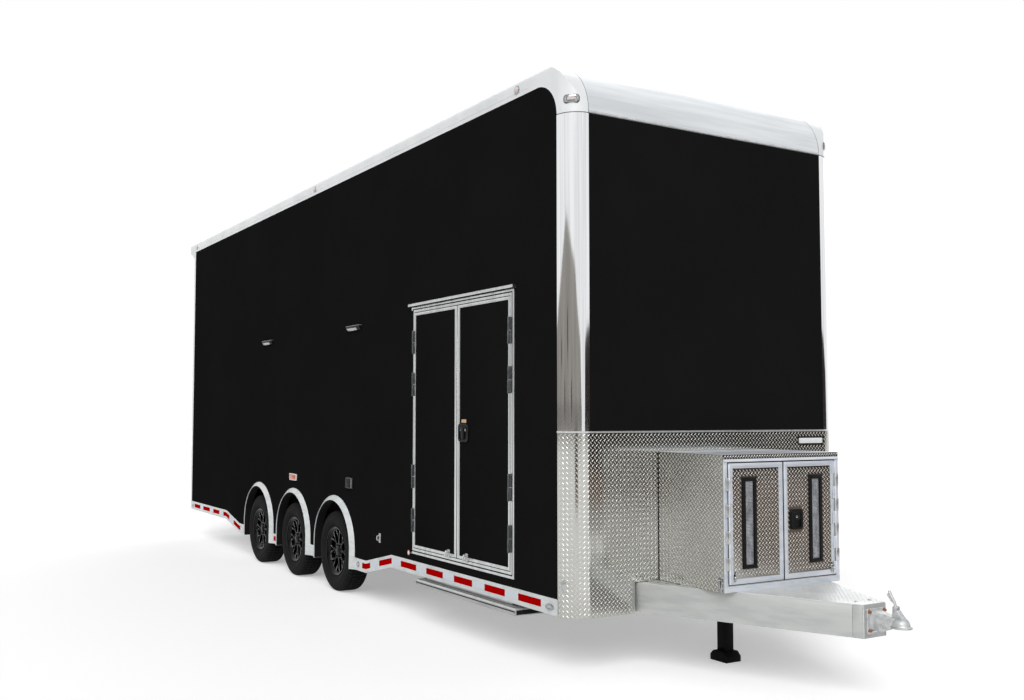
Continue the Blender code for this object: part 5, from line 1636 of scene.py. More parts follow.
    def _handle(self, face: float) -> None:
        """Flush paddle handle with its lock and a blank tag above it.

        Args:
            face: Y of the door's face.
        """
        d = self.datum
        x, z = d.behind(self.handle_place), self.handle_z
        outline = pad(x, z, 0.078, 0.072, 0.030, 6)
        pocket = pad(x, z, 0.060, 0.054, 0.022, 6)
        plate = Shape().frame(Plane.XZ, outline, pocket, face + 0.003, face - 0.009, 0.0025)
        plate.prism(Plane.XZ, pocket, face + 0.003, face - 0.002)
        plate.prism(
            Plane.XZ, rounded(x - 0.018, z - 0.050, x + 0.018, z + 0.046, 0.012, 5), face, face - 0.014,
            0.003)
        plate.prism(
            Plane.XZ, rounded(x - 0.050, z + 0.030, x + 0.050, z + 0.049, 0.008, 4), face, face - 0.011,
            0.002)
        plate.piece("door_handle", BLACK_NYLON, body="side_door_front")
        lock = Shape()
        lock.rod((x + 0.040, face - 0.001, z + 0.022), (x + 0.040, face - 0.011, z + 0.022), 0.010, 20,
                 ease=0.001)
        lock.box((x + 0.039, face - 0.0118, z + 0.017), (x + 0.041, face - 0.011, z + 0.027))
        lock.rod((x - 0.045, face - 0.001, z + 0.020), (x - 0.045, face - 0.006, z + 0.020), 0.006, 16,
                 ease=0.0008)
        lock.piece("door_lock", CHROME, body="side_door_front")
        Shape().prism(
            Plane.XZ, rounded(x - 0.034, z + 0.078, x + 0.036, z + 0.104, 0.003, 3), face + 0.002,
            face - 0.0014,
            0.0004).piece("door_tag", BUFF_TAG, body="side_door_front")

    def _catches(self, face: float) -> None:
        """Hold-back hooks at the leaves' feet, their catches on the wall, and the round badge.

        Args:
            face: Y of the door's face.
        """
        d = self.datum
        for name, place in self.hook_places:
            x, z = d.behind(place), self.hook_z
            hook = Shape().prism(
                Plane.XZ, rounded(x - 0.018, z - 0.036, x + 0.018, z + 0.034, 0.006, 4), face + 0.002,
                face - 0.004,
                0.001)
            hook.tube(
                [(x, face - 0.003, z + 0.022), (x, face - 0.024, z + 0.020), (x, face - 0.034, z + 0.002),
                       (x, face - 0.028, z - 0.022)], 0.0095, 10)
            hook.rod((x - 0.012, face - 0.010, z + 0.020), (x + 0.012, face - 0.010, z + 0.020), 0.005, 12,
                     ease=0.001)
            hook.piece(f"hold_back_{name}", CAST_ZINC, body=f"side_door_{name}")
        catches = Shape()
        for place, z in self.catch_places:
            x, wall = d.behind(place), -d.side
            if place < d.corner_radius:
                wall += 0.012
            catches.prism(
                Plane.XZ, pad(x, z, 0.016, 0.042, 0.006, 4), wall + 0.006, wall - 0.005,
                0.001)
            catches.tube(
                [(x, wall - 0.003, z + 0.026), (x, wall - 0.028, z + 0.020), (x, wall - 0.032, z - 0.006),
                          (x, wall - 0.018, z - 0.020)], 0.0065, 10)
        catches.piece("wall_catches", CAST_ZINC)
        x, z = d.behind(self.badge[0]), self.badge[1]
        ring = oval(x, z, 0.024, 0.024, 24)
        inner = [(x + (px - x) * 0.68, z + (pz - z) * 0.68) for px, pz in ring]
        Shape().frame(Plane.XZ, ring, inner, -d.side + 0.001, -d.side - 0.003, 0.0008).piece(
            "badge_ring", RED_BADGE)
        Shape().prism(Plane.XZ, inner, -d.side + 0.001, -d.side - 0.0022).piece(
            "badge_disc", WHITE_ENAMEL)


@dataclass
class Step:
    """Pull-out step with its grooved tread, nosing, ends and arms. Its end faces carry painted shade, and its
    bright nosing is partly a painted highlight of the lit top edge.
    """

    datum: Datum

    def build(self) -> None:
        """Builds the step. Its carrier stays as the CAD has it."""
        low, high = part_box("step")
        step = Shape()
        nose = 0.012
        section = [(low.y, low.z + 0.004), (low.y, high.z - nose), (low.y + 0.004, high.z - 0.002),
                   (low.y + nose, high.z), (high.y, high.z), (high.y, high.z - 0.012),
                   (low.y + 0.030, high.z - 0.012),
                   (low.y + 0.016, high.z - 0.020), (low.y + 0.016, low.z + 0.006),
                   (low.y + 0.040, low.z + 0.006),
                   (low.y + 0.040, low.z), (low.y + 0.004, low.z)]
        step.prism(Plane.YZ, section, low.x + 0.004, high.x - 0.004)
        for i in range(6):
            y = low.y + 0.022 + i * 0.016
            step.box((low.x + 0.006, y, high.z - 0.004), (high.x - 0.006, y + 0.006, high.z + 0.0012),
                     0.0005)
        step.piece("step_board", STEP_ALUMINIUM, body="step", replaces=["step"])
        # Dark strips: a groove in the tread, a dark line across the front below the nosing, and painted shade on
        # both end faces
        dark = Shape().box(
            (low.x + 0.004, low.y - 0.0006, high.z - 0.029), (high.x - 0.004, low.y + 0.004, high.z - 0.021))
        dark.box((low.x + 0.006, low.y + 0.013, high.z - 0.004),
                 (high.x - 0.006, low.y + 0.020, high.z + 0.0004))
        # Painted shade: a dark panel on each end face
        for x in (low.x, high.x):
            dark.box((x - 0.0006, low.y + 0.010, low.z + 0.008),
                     (x + 0.0006, high.y - 0.008, high.z - 0.014))
        dark.piece("step_grooves", SEAL_RUBBER, body="step", slot="mill_aluminium")
        # A brighter nosing over the front top edge: partly a nosing strip and partly a painted highlight of the
        # lit top edge
        Shape().box(
            (low.x + 0.002, low.y - 0.0008, high.z - 0.013),
            (high.x - 0.002, low.y + 0.010, high.z + 0.0008), 0.0006,
        ).piece("step_nosing", BRIGHT_TRIM, body="step", slot="mill_aluminium")
        ends = Shape()
        for x in (low.x, high.x - 0.006):
            ends.prism(
                Plane.YZ, [(low.y + 0.002, low.z), (low.y + 0.002, high.z - 0.004), (low.y + 0.010, high.z),
                           (high.y, high.z), (high.y, low.z)], x, x + 0.006, 0.001)
        ends.piece("step_ends", STEP_ALUMINIUM, body="step")
        arms = Shape()
        for share in (0.12, 0.5, 0.88):
            x = low.x + share * (high.x - low.x)
            arms.box((x - 0.020, low.y + 0.045, low.z + 0.006), (x + 0.020, high.y - 0.004, high.z - 0.013),
                     0.002)
        arms.piece("step_arms", BLACK_POWDER, body="step", slot="mill_aluminium")


@dataclass
class TongueBox:
    """Tread-plate box on the tongue: case, double doors with vents, latch and hinges."""

    datum: Datum
    width: float = 1.090
    top: float = 1.487
    wall: float = 0.020
    flange_side: float = 0.040
    flange_low: float = 0.045
    flange_top: float = 0.050
    gap: float = 0.006
    meeting_gap: float = 0.012
    door_thickness: float = 0.030
    door_proud: float = 0.002
    edge: float = 0.034
    vent_width: float = 0.100
    vent_height: float = 0.570
    vent_from_hinge: float = 0.192
    vent_rim: float = 0.026
    knuckle: float = 0.007
    hinge_segments: int = 9
    latch_y: float = 0.122
    latch_z: float = 1.042
    seat: float = 0.002

    @property
    def low(self) -> float:
        """Height of the box's floor."""
        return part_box("tongue_box")[0].z

    @property
    def hinge_y(self) -> float:
        """Half the width of the mouth."""
        return self.width / 2 - self.flange_side

    @property
    def door_low(self) -> float:
        """Height of the doors' lower edge."""
        return self.low + self.flange_low + self.gap

    @property
    def door_high(self) -> float:
        """Height of the doors' upper edge."""
        return self.top - self.flange_top - self.gap

    def build(self) -> None:
        """Builds the case and both doors."""
        self._case()
        self._lugs()
        self._sill()
        for side in Side:
            self._door(side)
            self._vent(side)
            self._corner_latches(side)
        self._paddle()

    def _case(self) -> None:
        """Sheet case with a flanged mouth, hollow inside."""
        d = self.datum
        back, face, half = d.ahead(self.seat), d.ahead(d.box_length), self.width / 2
        outer = rectangle(-half, self.low, half, self.top)
        inner = rectangle(-half + self.wall, self.low + self.wall, half - self.wall, self.top - self.wall)
        mouth = rectangle(-self.hinge_y, self.low + self.flange_low, self.hinge_y,
                          self.top - self.flange_top)
        case = Shape().frame(Plane.YZ, outer, inner, back, face)
        case.prism(Plane.YZ, inner, back, back + self.wall)
        case.frame(Plane.YZ, inner, mouth, face - self.wall, face)
        case.frame(
            Plane.YZ,
            rectangle(-self.hinge_y - 0.001, self.low + self.flange_low - 0.001, self.hinge_y + 0.001,
                                self.top - self.flange_top + 0.001),
            rectangle(-self.hinge_y + 0.0015, self.low + self.flange_low + 0.0015, self.hinge_y - 0.0015,
                      self.top - self.flange_top - 0.0015), face - self.wall - 0.010, face + 0.0015)
        case.piece("box_case", TREAD_PLATE, replaces=["tongue_box"])

    def _lugs(self) -> None:
        """Lugs on the case's sides, its top, and the strip over the doors."""
        d = self.datum
        half, low = self.width / 2, self.low
        x_low, x_high = d.ahead(0.004), d.ahead(d.box_length - 0.002)
        pattern = TreadPattern()
        sheets = [
            (x_low, low, x_high, self.top, flat_sheet((0, -half, 0), (1, 0, 0), (0, 0, 1))),
            (-x_high, low, -x_low, self.top, flat_sheet((0, half, 0), (-1, 0, 0), (0, 0, 1))),
        ]
        Shape().box((x_low, 0.006 - half, self.top - 0.001), (x_high, half - 0.006, self.top + 0.0016),
                    0.0006).piece(
            "box_lid", LID_SHEET, slot="tread_plate")
        # A dark strip round the case's back edge, where it meets the guard: painted contact shadow
        back = d.ahead(0.0008)
        Shape().frame(
            Plane.YZ, rectangle(-half - 0.0012, low - 0.001, half + 0.0012, self.top + 0.0012),
            rectangle(-half + 0.006, low + 0.006, half - 0.006, self.top - 0.006), back, back + 0.005,
            0.0004,
        ).piece("box_gasket", SEAL_RUBBER)
        show("box_lugs", pattern.mesh("box_lugs", sheets), TREAD_LUG)
        strip = TreadPattern(spacing=0.024, length=0.0185, width=0.0065)
        z_low = self.top - self.flange_top * 0.62
        sheets = [
            (-half, z_low, half, self.top, flat_sheet((d.ahead(d.box_length), 0, 0), (0, 1, 0), (0, 0, 1)))]
        show("box_head_lugs", strip.mesh("box_head_lugs", sheets), TREAD_LUG)

    def _sill(self) -> None:
        """Bright edging: head rail, sill and both jambs round the mouth."""
        d = self.datum
        face, half = d.ahead(d.box_length), self.width / 2
        trim = Shape()
        trim.prism(
            Plane.XZ, [(face - 0.001, self.top - 0.0490), (face + 0.010, self.top - 0.0470),
                       (face + 0.012, self.top - 0.0420), (face + 0.004, self.top - 0.0300),
                       (face - 0.001, self.top - 0.0290)], -half + 0.004, half - 0.004)
        trim.box(
            (face - 0.001, -half + 0.002, self.low + 0.003),
            (face + 0.0035, half - 0.002, self.low + self.flange_low - 0.004),
            0.001)
        for side in Side:
            trim.box(
                (face - 0.001, side.sign * (self.hinge_y + 0.004), self.low + self.flange_low - 0.004),
                (face + 0.0035, side.sign * (half - 0.003), self.top - 0.049), 0.001)
        trim.piece("box_edging", LID_SHEET)

    def _door(self, side: Side) -> None:
        """One door: slab with its vent slot, smooth edges, tread infill and hinge.

        Args:
            side: The trailer's side.
        """
        d = self.datum
        s = side.sign
        body = f"box_door_{side.tag}"
        face = d.ahead(d.box_length + self.door_proud)
        back = face - self.door_thickness
        near, far = self.meeting_gap / 2, self.hinge_y - self.gap
        y_low, y_high = sorted((s * near, s * far))
        middle = (self.door_low + self.door_high) / 2
        vent_y = s * (self.hinge_y - self.vent_from_hinge)
        slot = rectangle(
            vent_y - self.vent_width / 2, middle - self.vent_height / 2, vent_y + self.vent_width / 2,
            middle + self.vent_height / 2)
        outer = rectangle(y_low, self.door_low, y_high, self.door_high)
        Shape().frame(Plane.YZ, outer, slot, back, face - 0.001).piece(
            f"box_panel_{side.tag}", TREAD_PLATE, body=body, replaces=[body])
        e = self.edge
        inner = rectangle(y_low + e, self.door_low + e, y_high - e, self.door_high - e)
        edges = Shape().frame(Plane.YZ, outer, inner, face - 0.012, face + 0.003, 0.0015)
        lip = rectangle(y_low + 0.008, self.door_low + 0.008, y_high - 0.008, self.door_high - 0.008)
        edges.frame(Plane.YZ, lip, rectangle(
            y_low + e * 0.72, self.door_low + e * 0.72, y_high - e * 0.72, self.door_high - e * 0.72),
            face, face + 0.0055, 0.001)
        self._hinge(side, edges, face)
        edges.piece(f"box_door_edges_{side.tag}", LID_SHEET, body=body)
        rim = self.vent_width / 2 + self.vent_rim * 0.5

        def clear(u: float, v: float) -> bool:
            """Whether a lug may stand here, off the vent and the latch."""
            on_vent = abs(u - vent_y) < rim + 0.008 and abs(v - middle) < self.vent_height / 2 + 0.022
            on_latch = side is Side.LEFT and abs(u - self.latch_y) < 0.068 and abs(v - self.latch_z) < 0.082
            return not on_vent and not on_latch

        lugs = TreadPattern(spacing=0.031, length=0.0245, width=0.0080)
        where = flat_sheet((face - 0.001, 0, 0), (0, 1, 0), (0, 0, 1))
        mesh = lugs.mesh(
            f"box_door_lugs_{side.tag}",
            [(y_low + e, self.door_low + e, y_high - e, self.door_high - e, where)], clear)
        show(f"box_door_lugs_{side.tag}", mesh, TREAD_LUG, body=body)

    def _hinge(self, side: Side, edges: Shape, face: float) -> None:
        """Piano hinge in segments. The door's share joins its edges, and the rest is a piece of the case.

        Args:
            side: The trailer's side.
            edges: The shape of the door's edges.
            face: X of the door's face.
        """
        d, s = self.datum, side.sign
        axis_x, axis_y = d.ahead(d.box_length + 0.012), s * (self.hinge_y - self.gap / 2)
        span = self.door_high - self.door_low - 0.012
        fixed = Shape()
        for i in range(self.hinge_segments):
            low = self.door_low + 0.006 + span * i / self.hinge_segments + 0.0006
            high = low + span / self.hinge_segments - 0.0012
            shape, toward = (edges, -s) if i % 2 == 0 else (fixed, s)
            shape.rod((axis_x, axis_y, low), (axis_x, axis_y, high), self.knuckle, 16, ease=0.0006)
            strap_end = axis_y + toward * 0.030
            shape.box((axis_x - 0.0022, axis_y, low), (axis_x + 0.0022, strap_end, high), 0.0006)
            base = face if toward == -s else d.ahead(d.box_length)
            shape.box((base - 0.002, strap_end - toward * 0.020, low), (axis_x + 0.0006, strap_end, high),
                      0.0006)
            shape.dome((axis_x + 0.0022, axis_y + toward * 0.021, (low + high) / 2), (1, 0, 0), 0.0042,
                       0.0016, 10)
        fixed.piece(f"box_hinge_{side.tag}", BRIGHT_TRIM)

    def _vent(self, side: Side) -> None:
        """Black vent frame, and perforated sheet set back in it.

        Args:
            side: The trailer's side.
        """
        d = self.datum
        body = f"box_door_{side.tag}"
        face = d.ahead(d.box_length + self.door_proud)
        middle = (self.door_low + self.door_high) / 2
        centre = side.sign * (self.hinge_y - self.vent_from_hinge)
        half_w, half_h = self.vent_width / 2, self.vent_height / 2
        o = self.vent_rim * 0.5
        outer = rectangle(centre - half_w - o, middle - half_h - o, centre + half_w + o, middle + half_h + o)
        inner = rectangle(centre - half_w + o, middle - half_h + o, centre + half_w - o, middle + half_h - o)
        frame = Shape().frame(Plane.YZ, outer, inner, face - 0.002, face + 0.006, 0.0018)
        hole = rectangle(centre - half_w + 0.0005, middle - half_h + 0.0005, centre + half_w - 0.0005,
                         middle + half_h - 0.0005)
        frame.frame(Plane.YZ, hole, inner, face - 0.031, face - 0.001)
        for share in (-0.88, -0.44, 0.0, 0.44, 0.88):
            for y in (centre - half_w, centre + half_w):
                frame.dome((face + 0.006, y, middle + share * (half_h + o * 0.4)), (1, 0, 0), 0.004, 0.0016,
                           8)
        frame.piece(f"vent_frame_{side.tag}", BLACK_NYLON, body=body)
        perforated_sheet(
            f"vent_mesh_{side.tag}", body, face - 0.004, centre - half_w + 0.002, middle - half_h + 0.002,
            centre + half_w - 0.002, middle + half_h - 0.002)

    def _corner_latches(self, side: Side) -> None:
        """Small ring latches at the lower outer corners, on the case and on the door.

        Args:
            side: The trailer's side.
        """
        d, s = self.datum, side.sign
        face = d.ahead(d.box_length + self.door_proud)
        y = s * (self.hinge_y - 0.040)
        z = self.door_low + 0.052
        latch = Shape().prism(
            Plane.YZ, rounded(y - 0.017, z - 0.036, y + 0.017, z + 0.034, 0.006, 4), face + 0.002,
            face + 0.008, 0.0015)
        ring = oval(y, z + 0.004, 0.012, 0.016, 20)
        latch.tube([(face + 0.011, a, b) for a, b in ring + ring[:1]], 0.0028, 8)
        latch.rod((face + 0.010, y - 0.014, z - 0.016), (face + 0.010, y + 0.014, z - 0.016), 0.004, 12,
                  ease=0.0008)
        latch.dome((face + 0.008, y, z - 0.028), (1, 0, 0), 0.004, 0.002, 10)
        latch.dome((face + 0.008, y, z + 0.027), (1, 0, 0), 0.004, 0.002, 10)
        latch.piece(f"box_ring_{side.tag}", CHROME, body=f"box_door_{side.tag}")
        x, wall = d.ahead(d.box_length - 0.030), s * self.width / 2
        catch = Shape().prism(
            Plane.XZ, rounded(x - 0.016, self.low + 0.006, x + 0.016, self.low + 0.100, 0.006, 4),
            wall - s * 0.001,
            wall + s * 0.006, 0.0015)
        catch.tube([(x, wall + s * 0.006, self.low + 0.085), (x, wall + s * 0.013, self.low + 0.075),
                    (x, wall + s * 0.014, self.low + 0.045), (x, wall + s * 0.008, self.low + 0.028)],
                    0.0045, 8)
        catch.rod((x - 0.013, wall + s * 0.008, self.low + 0.082),
                  (x + 0.013, wall + s * 0.008, self.low + 0.082), 0.0045, 12)
        catch.piece(f"box_catch_{side.tag}", CHROME)

    def _paddle(self) -> None:
        """Black paddle latch with its recess and key lock, on the left door."""
        d = self.datum
        face = d.ahead(d.box_length + self.door_proud)
        y, z = self.latch_y, self.latch_z
        outline = pad(y, z, 0.056, 0.070, 0.026, 6)
        pocket = rounded(y - 0.043, z - 0.055, y + 0.036, z + 0.043, 0.016, 6)
        plate = Shape().frame(Plane.YZ, outline, pocket, face - 0.002, face + 0.013, 0.003)
        plate.prism(Plane.YZ, pocket, face - 0.002, face + 0.003)
        plate.prism(
            Plane.YZ, rounded(y - 0.040, z - 0.004, y + 0.033, z + 0.040, 0.010, 5), face + 0.002,
            face + 0.010, 0.002)
        plate.piece("box_paddle", BLACK_NYLON, body="box_door_left")
        lock = Shape()
        lock.rod((face + 0.009, y - 0.006, z + 0.018), (face + 0.0125, y - 0.006, z + 0.018), 0.009, 20,
                 ease=0.001)
        lock.box((face + 0.0125, y - 0.0070, z + 0.013), (face + 0.0131, y - 0.0050, z + 0.023))
        lock.piece("box_lock", CHROME, body="box_door_left")


def perforated_sheet(
    name: str, body: str, x: float, y_low: float, z_low: float, y_high: float, z_high: float,
    pitch: float = 0.0105, hole: float = 0.0036, thickness: float = 0.0012,
) -> None:
    """A sheet across X full of six-sided holes in a honeycomb order.

    Real holes are about 3 mm at 5 mm pitch; these are coarser, or they would not show.

    Args:
        name: The piece's name.
        body: The body it rides on.
        x: Where its face lies.
        y_low: Its lowest Y.
        z_low: Its lowest Z.
        y_high: Its highest Y.
        z_high: Its highest Z.
        pitch: Distance between holes.
        hole: A hole's radius.
        thickness: The sheet's thickness.
    """
    part = bmesh.new()
    rise = pitch * math.sqrt(3) / 2
    cell = pitch / math.sqrt(3)
    rows = int((z_high - z_low - 2 * cell) / rise) + 1
    columns = int((y_high - y_low - 1.5 * pitch) / pitch) + 1
    for j in range(rows):
        for i in range(columns):
            y = y_low + pitch * (0.5 + i + 0.5 * (j % 2))
            z = z_low + cell + rise * j
            rings = []
            for radius, depth in ((cell, x), (hole, x), (hole, x - thickness), (cell, x - thickness)):
                rings.append([
                    part.verts.new((depth, y + radius * math.cos(a), z + radius * math.sin(a)))
                    for a in [math.radians(30 + 60 * k) for k in range(6)]])
            for first, second in ((rings[0], rings[1]), (rings[1], rings[2]), (rings[2], rings[3])):
                for k in range(6):
                    n = (k + 1) % 6
                    part.faces.new((first[k], first[n], second[n], second[k]))
    bmesh.ops.remove_doubles(part, verts=part.verts, dist=pitch * 0.02)
    rim = [e for e in part.edges if e.is_boundary]
    front = [e for e in rim if all(v.co.x > x - thickness / 2 for v in e.verts)]
    back = [e for e in rim if all(v.co.x < x - thickness / 2 for v in e.verts)]
    bmesh.ops.bridge_loops(part, edges=front + back)
    Shape().add(part).piece(name, PERFORATED_STEEL, body=body)


@dataclass
class Tongue:
    """A-frame beams with their weld beads, the tread deck, the nose and the jack."""

    datum: Datum
    beam_wall_y: float = 0.733
    beam_front_y: float = 0.100
    beam_width: float = 0.085
    nose_length: float = 0.060
    low: float = 0.396
    ease: float = 0.005
    bolster: float = 0.660
    jack_ahead: float = 0.075
    leg_width: float = 0.082

    def outer_y(self, place: float) -> float:
        """Half the width over the beams, so far ahead of the front wall."""
        return self.beam_wall_y - (self.beam_wall_y - self.beam_front_y) / self.datum.nose_ahead * place

    @property
    def top(self) -> float:
        """Height of the beams' top."""
        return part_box("tongue_beam_left")[1].z

    def build(self) -> None:
        """Builds the tongue."""
        self._beams()
        self._nose()
        self._deck()
        self._jack()

    def _beams(self) -> None:
        """Box-section beams with eased edges."""
        d = self.datum
        front = d.nose_ahead - self.nose_length - d.seat
        rear = -(self.bolster - d.seat)
        for side in Side:
            s = side.sign
            outline = [
                (d.ahead(place), s * (self.outer_y(place) - inset))
                for place,
                inset in ((rear, 0.0), (front, 0.0), (front, self.beam_width), (rear, self.beam_width))]
            Shape().prism(Plane.XY, outline, self.low, self.top, self.ease).piece(
                f"beam_{side.tag}", MILL_BEAM, replaces=[f"tongue_beam_{side.tag}"])

    def _nose(self) -> None:
        """The nose block, and the weld beads at its corners and under the deck's edges."""
        d = self.datum
        back = d.nose_ahead - self.nose_length
        outline = [(d.ahead(back), -self.outer_y(back)), (d.ahead(d.nose_ahead), -self.beam_front_y),
                   (d.ahead(d.nose_ahead), self.beam_front_y), (d.ahead(back), self.outer_y(back))]
        Shape().prism(Plane.XY, outline, self.low, self.top, 0.003).piece(
            "nose_block", MILL_BEAM, replaces=["tongue_nose"])
        beads = Shape()
        for side in Side:
            y = side.sign * (self.beam_front_y - 0.001)
            x = d.ahead(d.nose_ahead) - 0.002
            count = 26
            for i in range(count):
                z = self.low + 0.006 + (self.top - self.low - 0.012) * i / (count - 1)
                beads.dome((x, y, z), (1, side.sign * 0.5, 0.2), 0.0062, 0.0048, 8)
            start = d.box_length + 0.02
            for i in range(70):
                place = start + (d.nose_ahead - 0.05 - start) * i / 69
                beads.dome(
                    (d.ahead(place), side.sign * (self.outer_y(place) - 0.002), self.top - 0.0005),
                    (0.3, side.sign, 0.6), 0.0045, 0.0030, 6)
        beads.piece("weld_beads", MILL_BEAM)

    def _deck(self) -> None:
        """Tread deck between the beams ahead of the box, with two bolts at its front."""
        d = self.datum
        low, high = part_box("tongue_deck")
        start = d.box_length + d.seat
        outline = [(d.ahead(start), -self.outer_y(start)), (d.ahead(d.nose_ahead), -self.beam_front_y),
                   (d.ahead(d.nose_ahead), self.beam_front_y), (d.ahead(start), self.outer_y(start))]
        Shape().prism(Plane.XY, outline, low.z, high.z, 0.0012).piece(
            "deck_plate", DECK_PLATE, replaces=["tongue_deck"])
        gussets = Shape()
        for side in Side:
            corners = [(0.004, self.outer_y(0.004) - self.beam_width), (0.195, 0.552), (0.004, 0.552)]
            gussets.prism(
                Plane.XY, [(d.ahead(a), side.sign * b) for a, b in corners], self.top - 0.002,
                self.top + 0.0014)
        gussets.piece("tongue_gussets", MILL_BEAM)
        slope = (self.beam_wall_y - self.beam_front_y) / d.nose_ahead
        x_low, x_high = d.ahead(start + 0.004), d.ahead(d.nose_ahead - 0.006)
        half = self.outer_y(start)

        def clear(u: float, v: float) -> bool:
            """Whether a lug lies on the tapering deck."""
            return abs(v) < self.beam_wall_y - slope * (u - d.front) - 0.016

        sheets = [(x_low, -half, x_high, half, flat_sheet((0, 0, high.z), (1, 0, 0), (0, 1, 0)))]
        mesh = TreadPattern(height=0.0012).mesh("deck_lugs", sheets, clear)
        show("deck_lugs", mesh, DECK_PLATE)
        bolts = Shape()
        for y in (-0.062, 0.062):
            centre = (d.ahead(d.nose_ahead - 0.085), y)
            bolts.prism(
                Plane.XY, oval(*centre, 0.010, 0.010, 6), high.z - 0.001, high.z + 0.008, 0.001)
            bolts.rod((*centre, high.z - 0.001), (*centre, high.z + 0.002), 0.014, 20, ease=0.0006)
        bolts.piece("deck_bolts", CAST_ZINC)

    def _jack(self) -> None:
        """Square leg with its foot block, its cross bolt, and the collar under the housing."""
        centre = self.datum.ahead(self.jack_ahead)
        low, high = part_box("jack_leg")
        half = self.leg_width / 2
        foot_top = 0.072
        leg = Shape().box((centre - half, -half, foot_top - 0.004), (centre + half, half, high.z), 0.005)
        y = abs(low.y)
        x = high.x - centre
        cut = 0.030
        section = [(-x, 0.004), (-x + 0.004, 0.0), (x - 0.004, 0.0), (x, 0.004), (x, foot_top - cut),
                   (x - cut, foot_top),
                   (-x + cut, foot_top), (-x, foot_top - cut)]
        leg.prism(Plane.XZ, [(centre + a, b) for a, b in section], -y, y, 0.003)
        for sign in (-1, 1):
            ends = [(centre, sign * (half + y_end), foot_top + 0.010) for y_end in (-0.002, 0.012)]
            leg.rod(*ends, 0.009, 6, ease=0.001)
        leg.piece("jack_post", BLACK_POWDER, body="jack_leg", replaces=["jack_leg"])
        sleeve = Shape()
        bore, outer = half + 0.0012, half + 0.0075
        sleeve.frame(
            Plane.XY,
            rectangle(centre - outer - 0.004, -outer - 0.004, centre + outer + 0.004, outer + 0.004),
            rectangle(centre - bore, -bore, centre + bore, bore), 0.3966, 0.419, 0.0015)
        sleeve.piece("jack_collar", BLACK_POWDER)


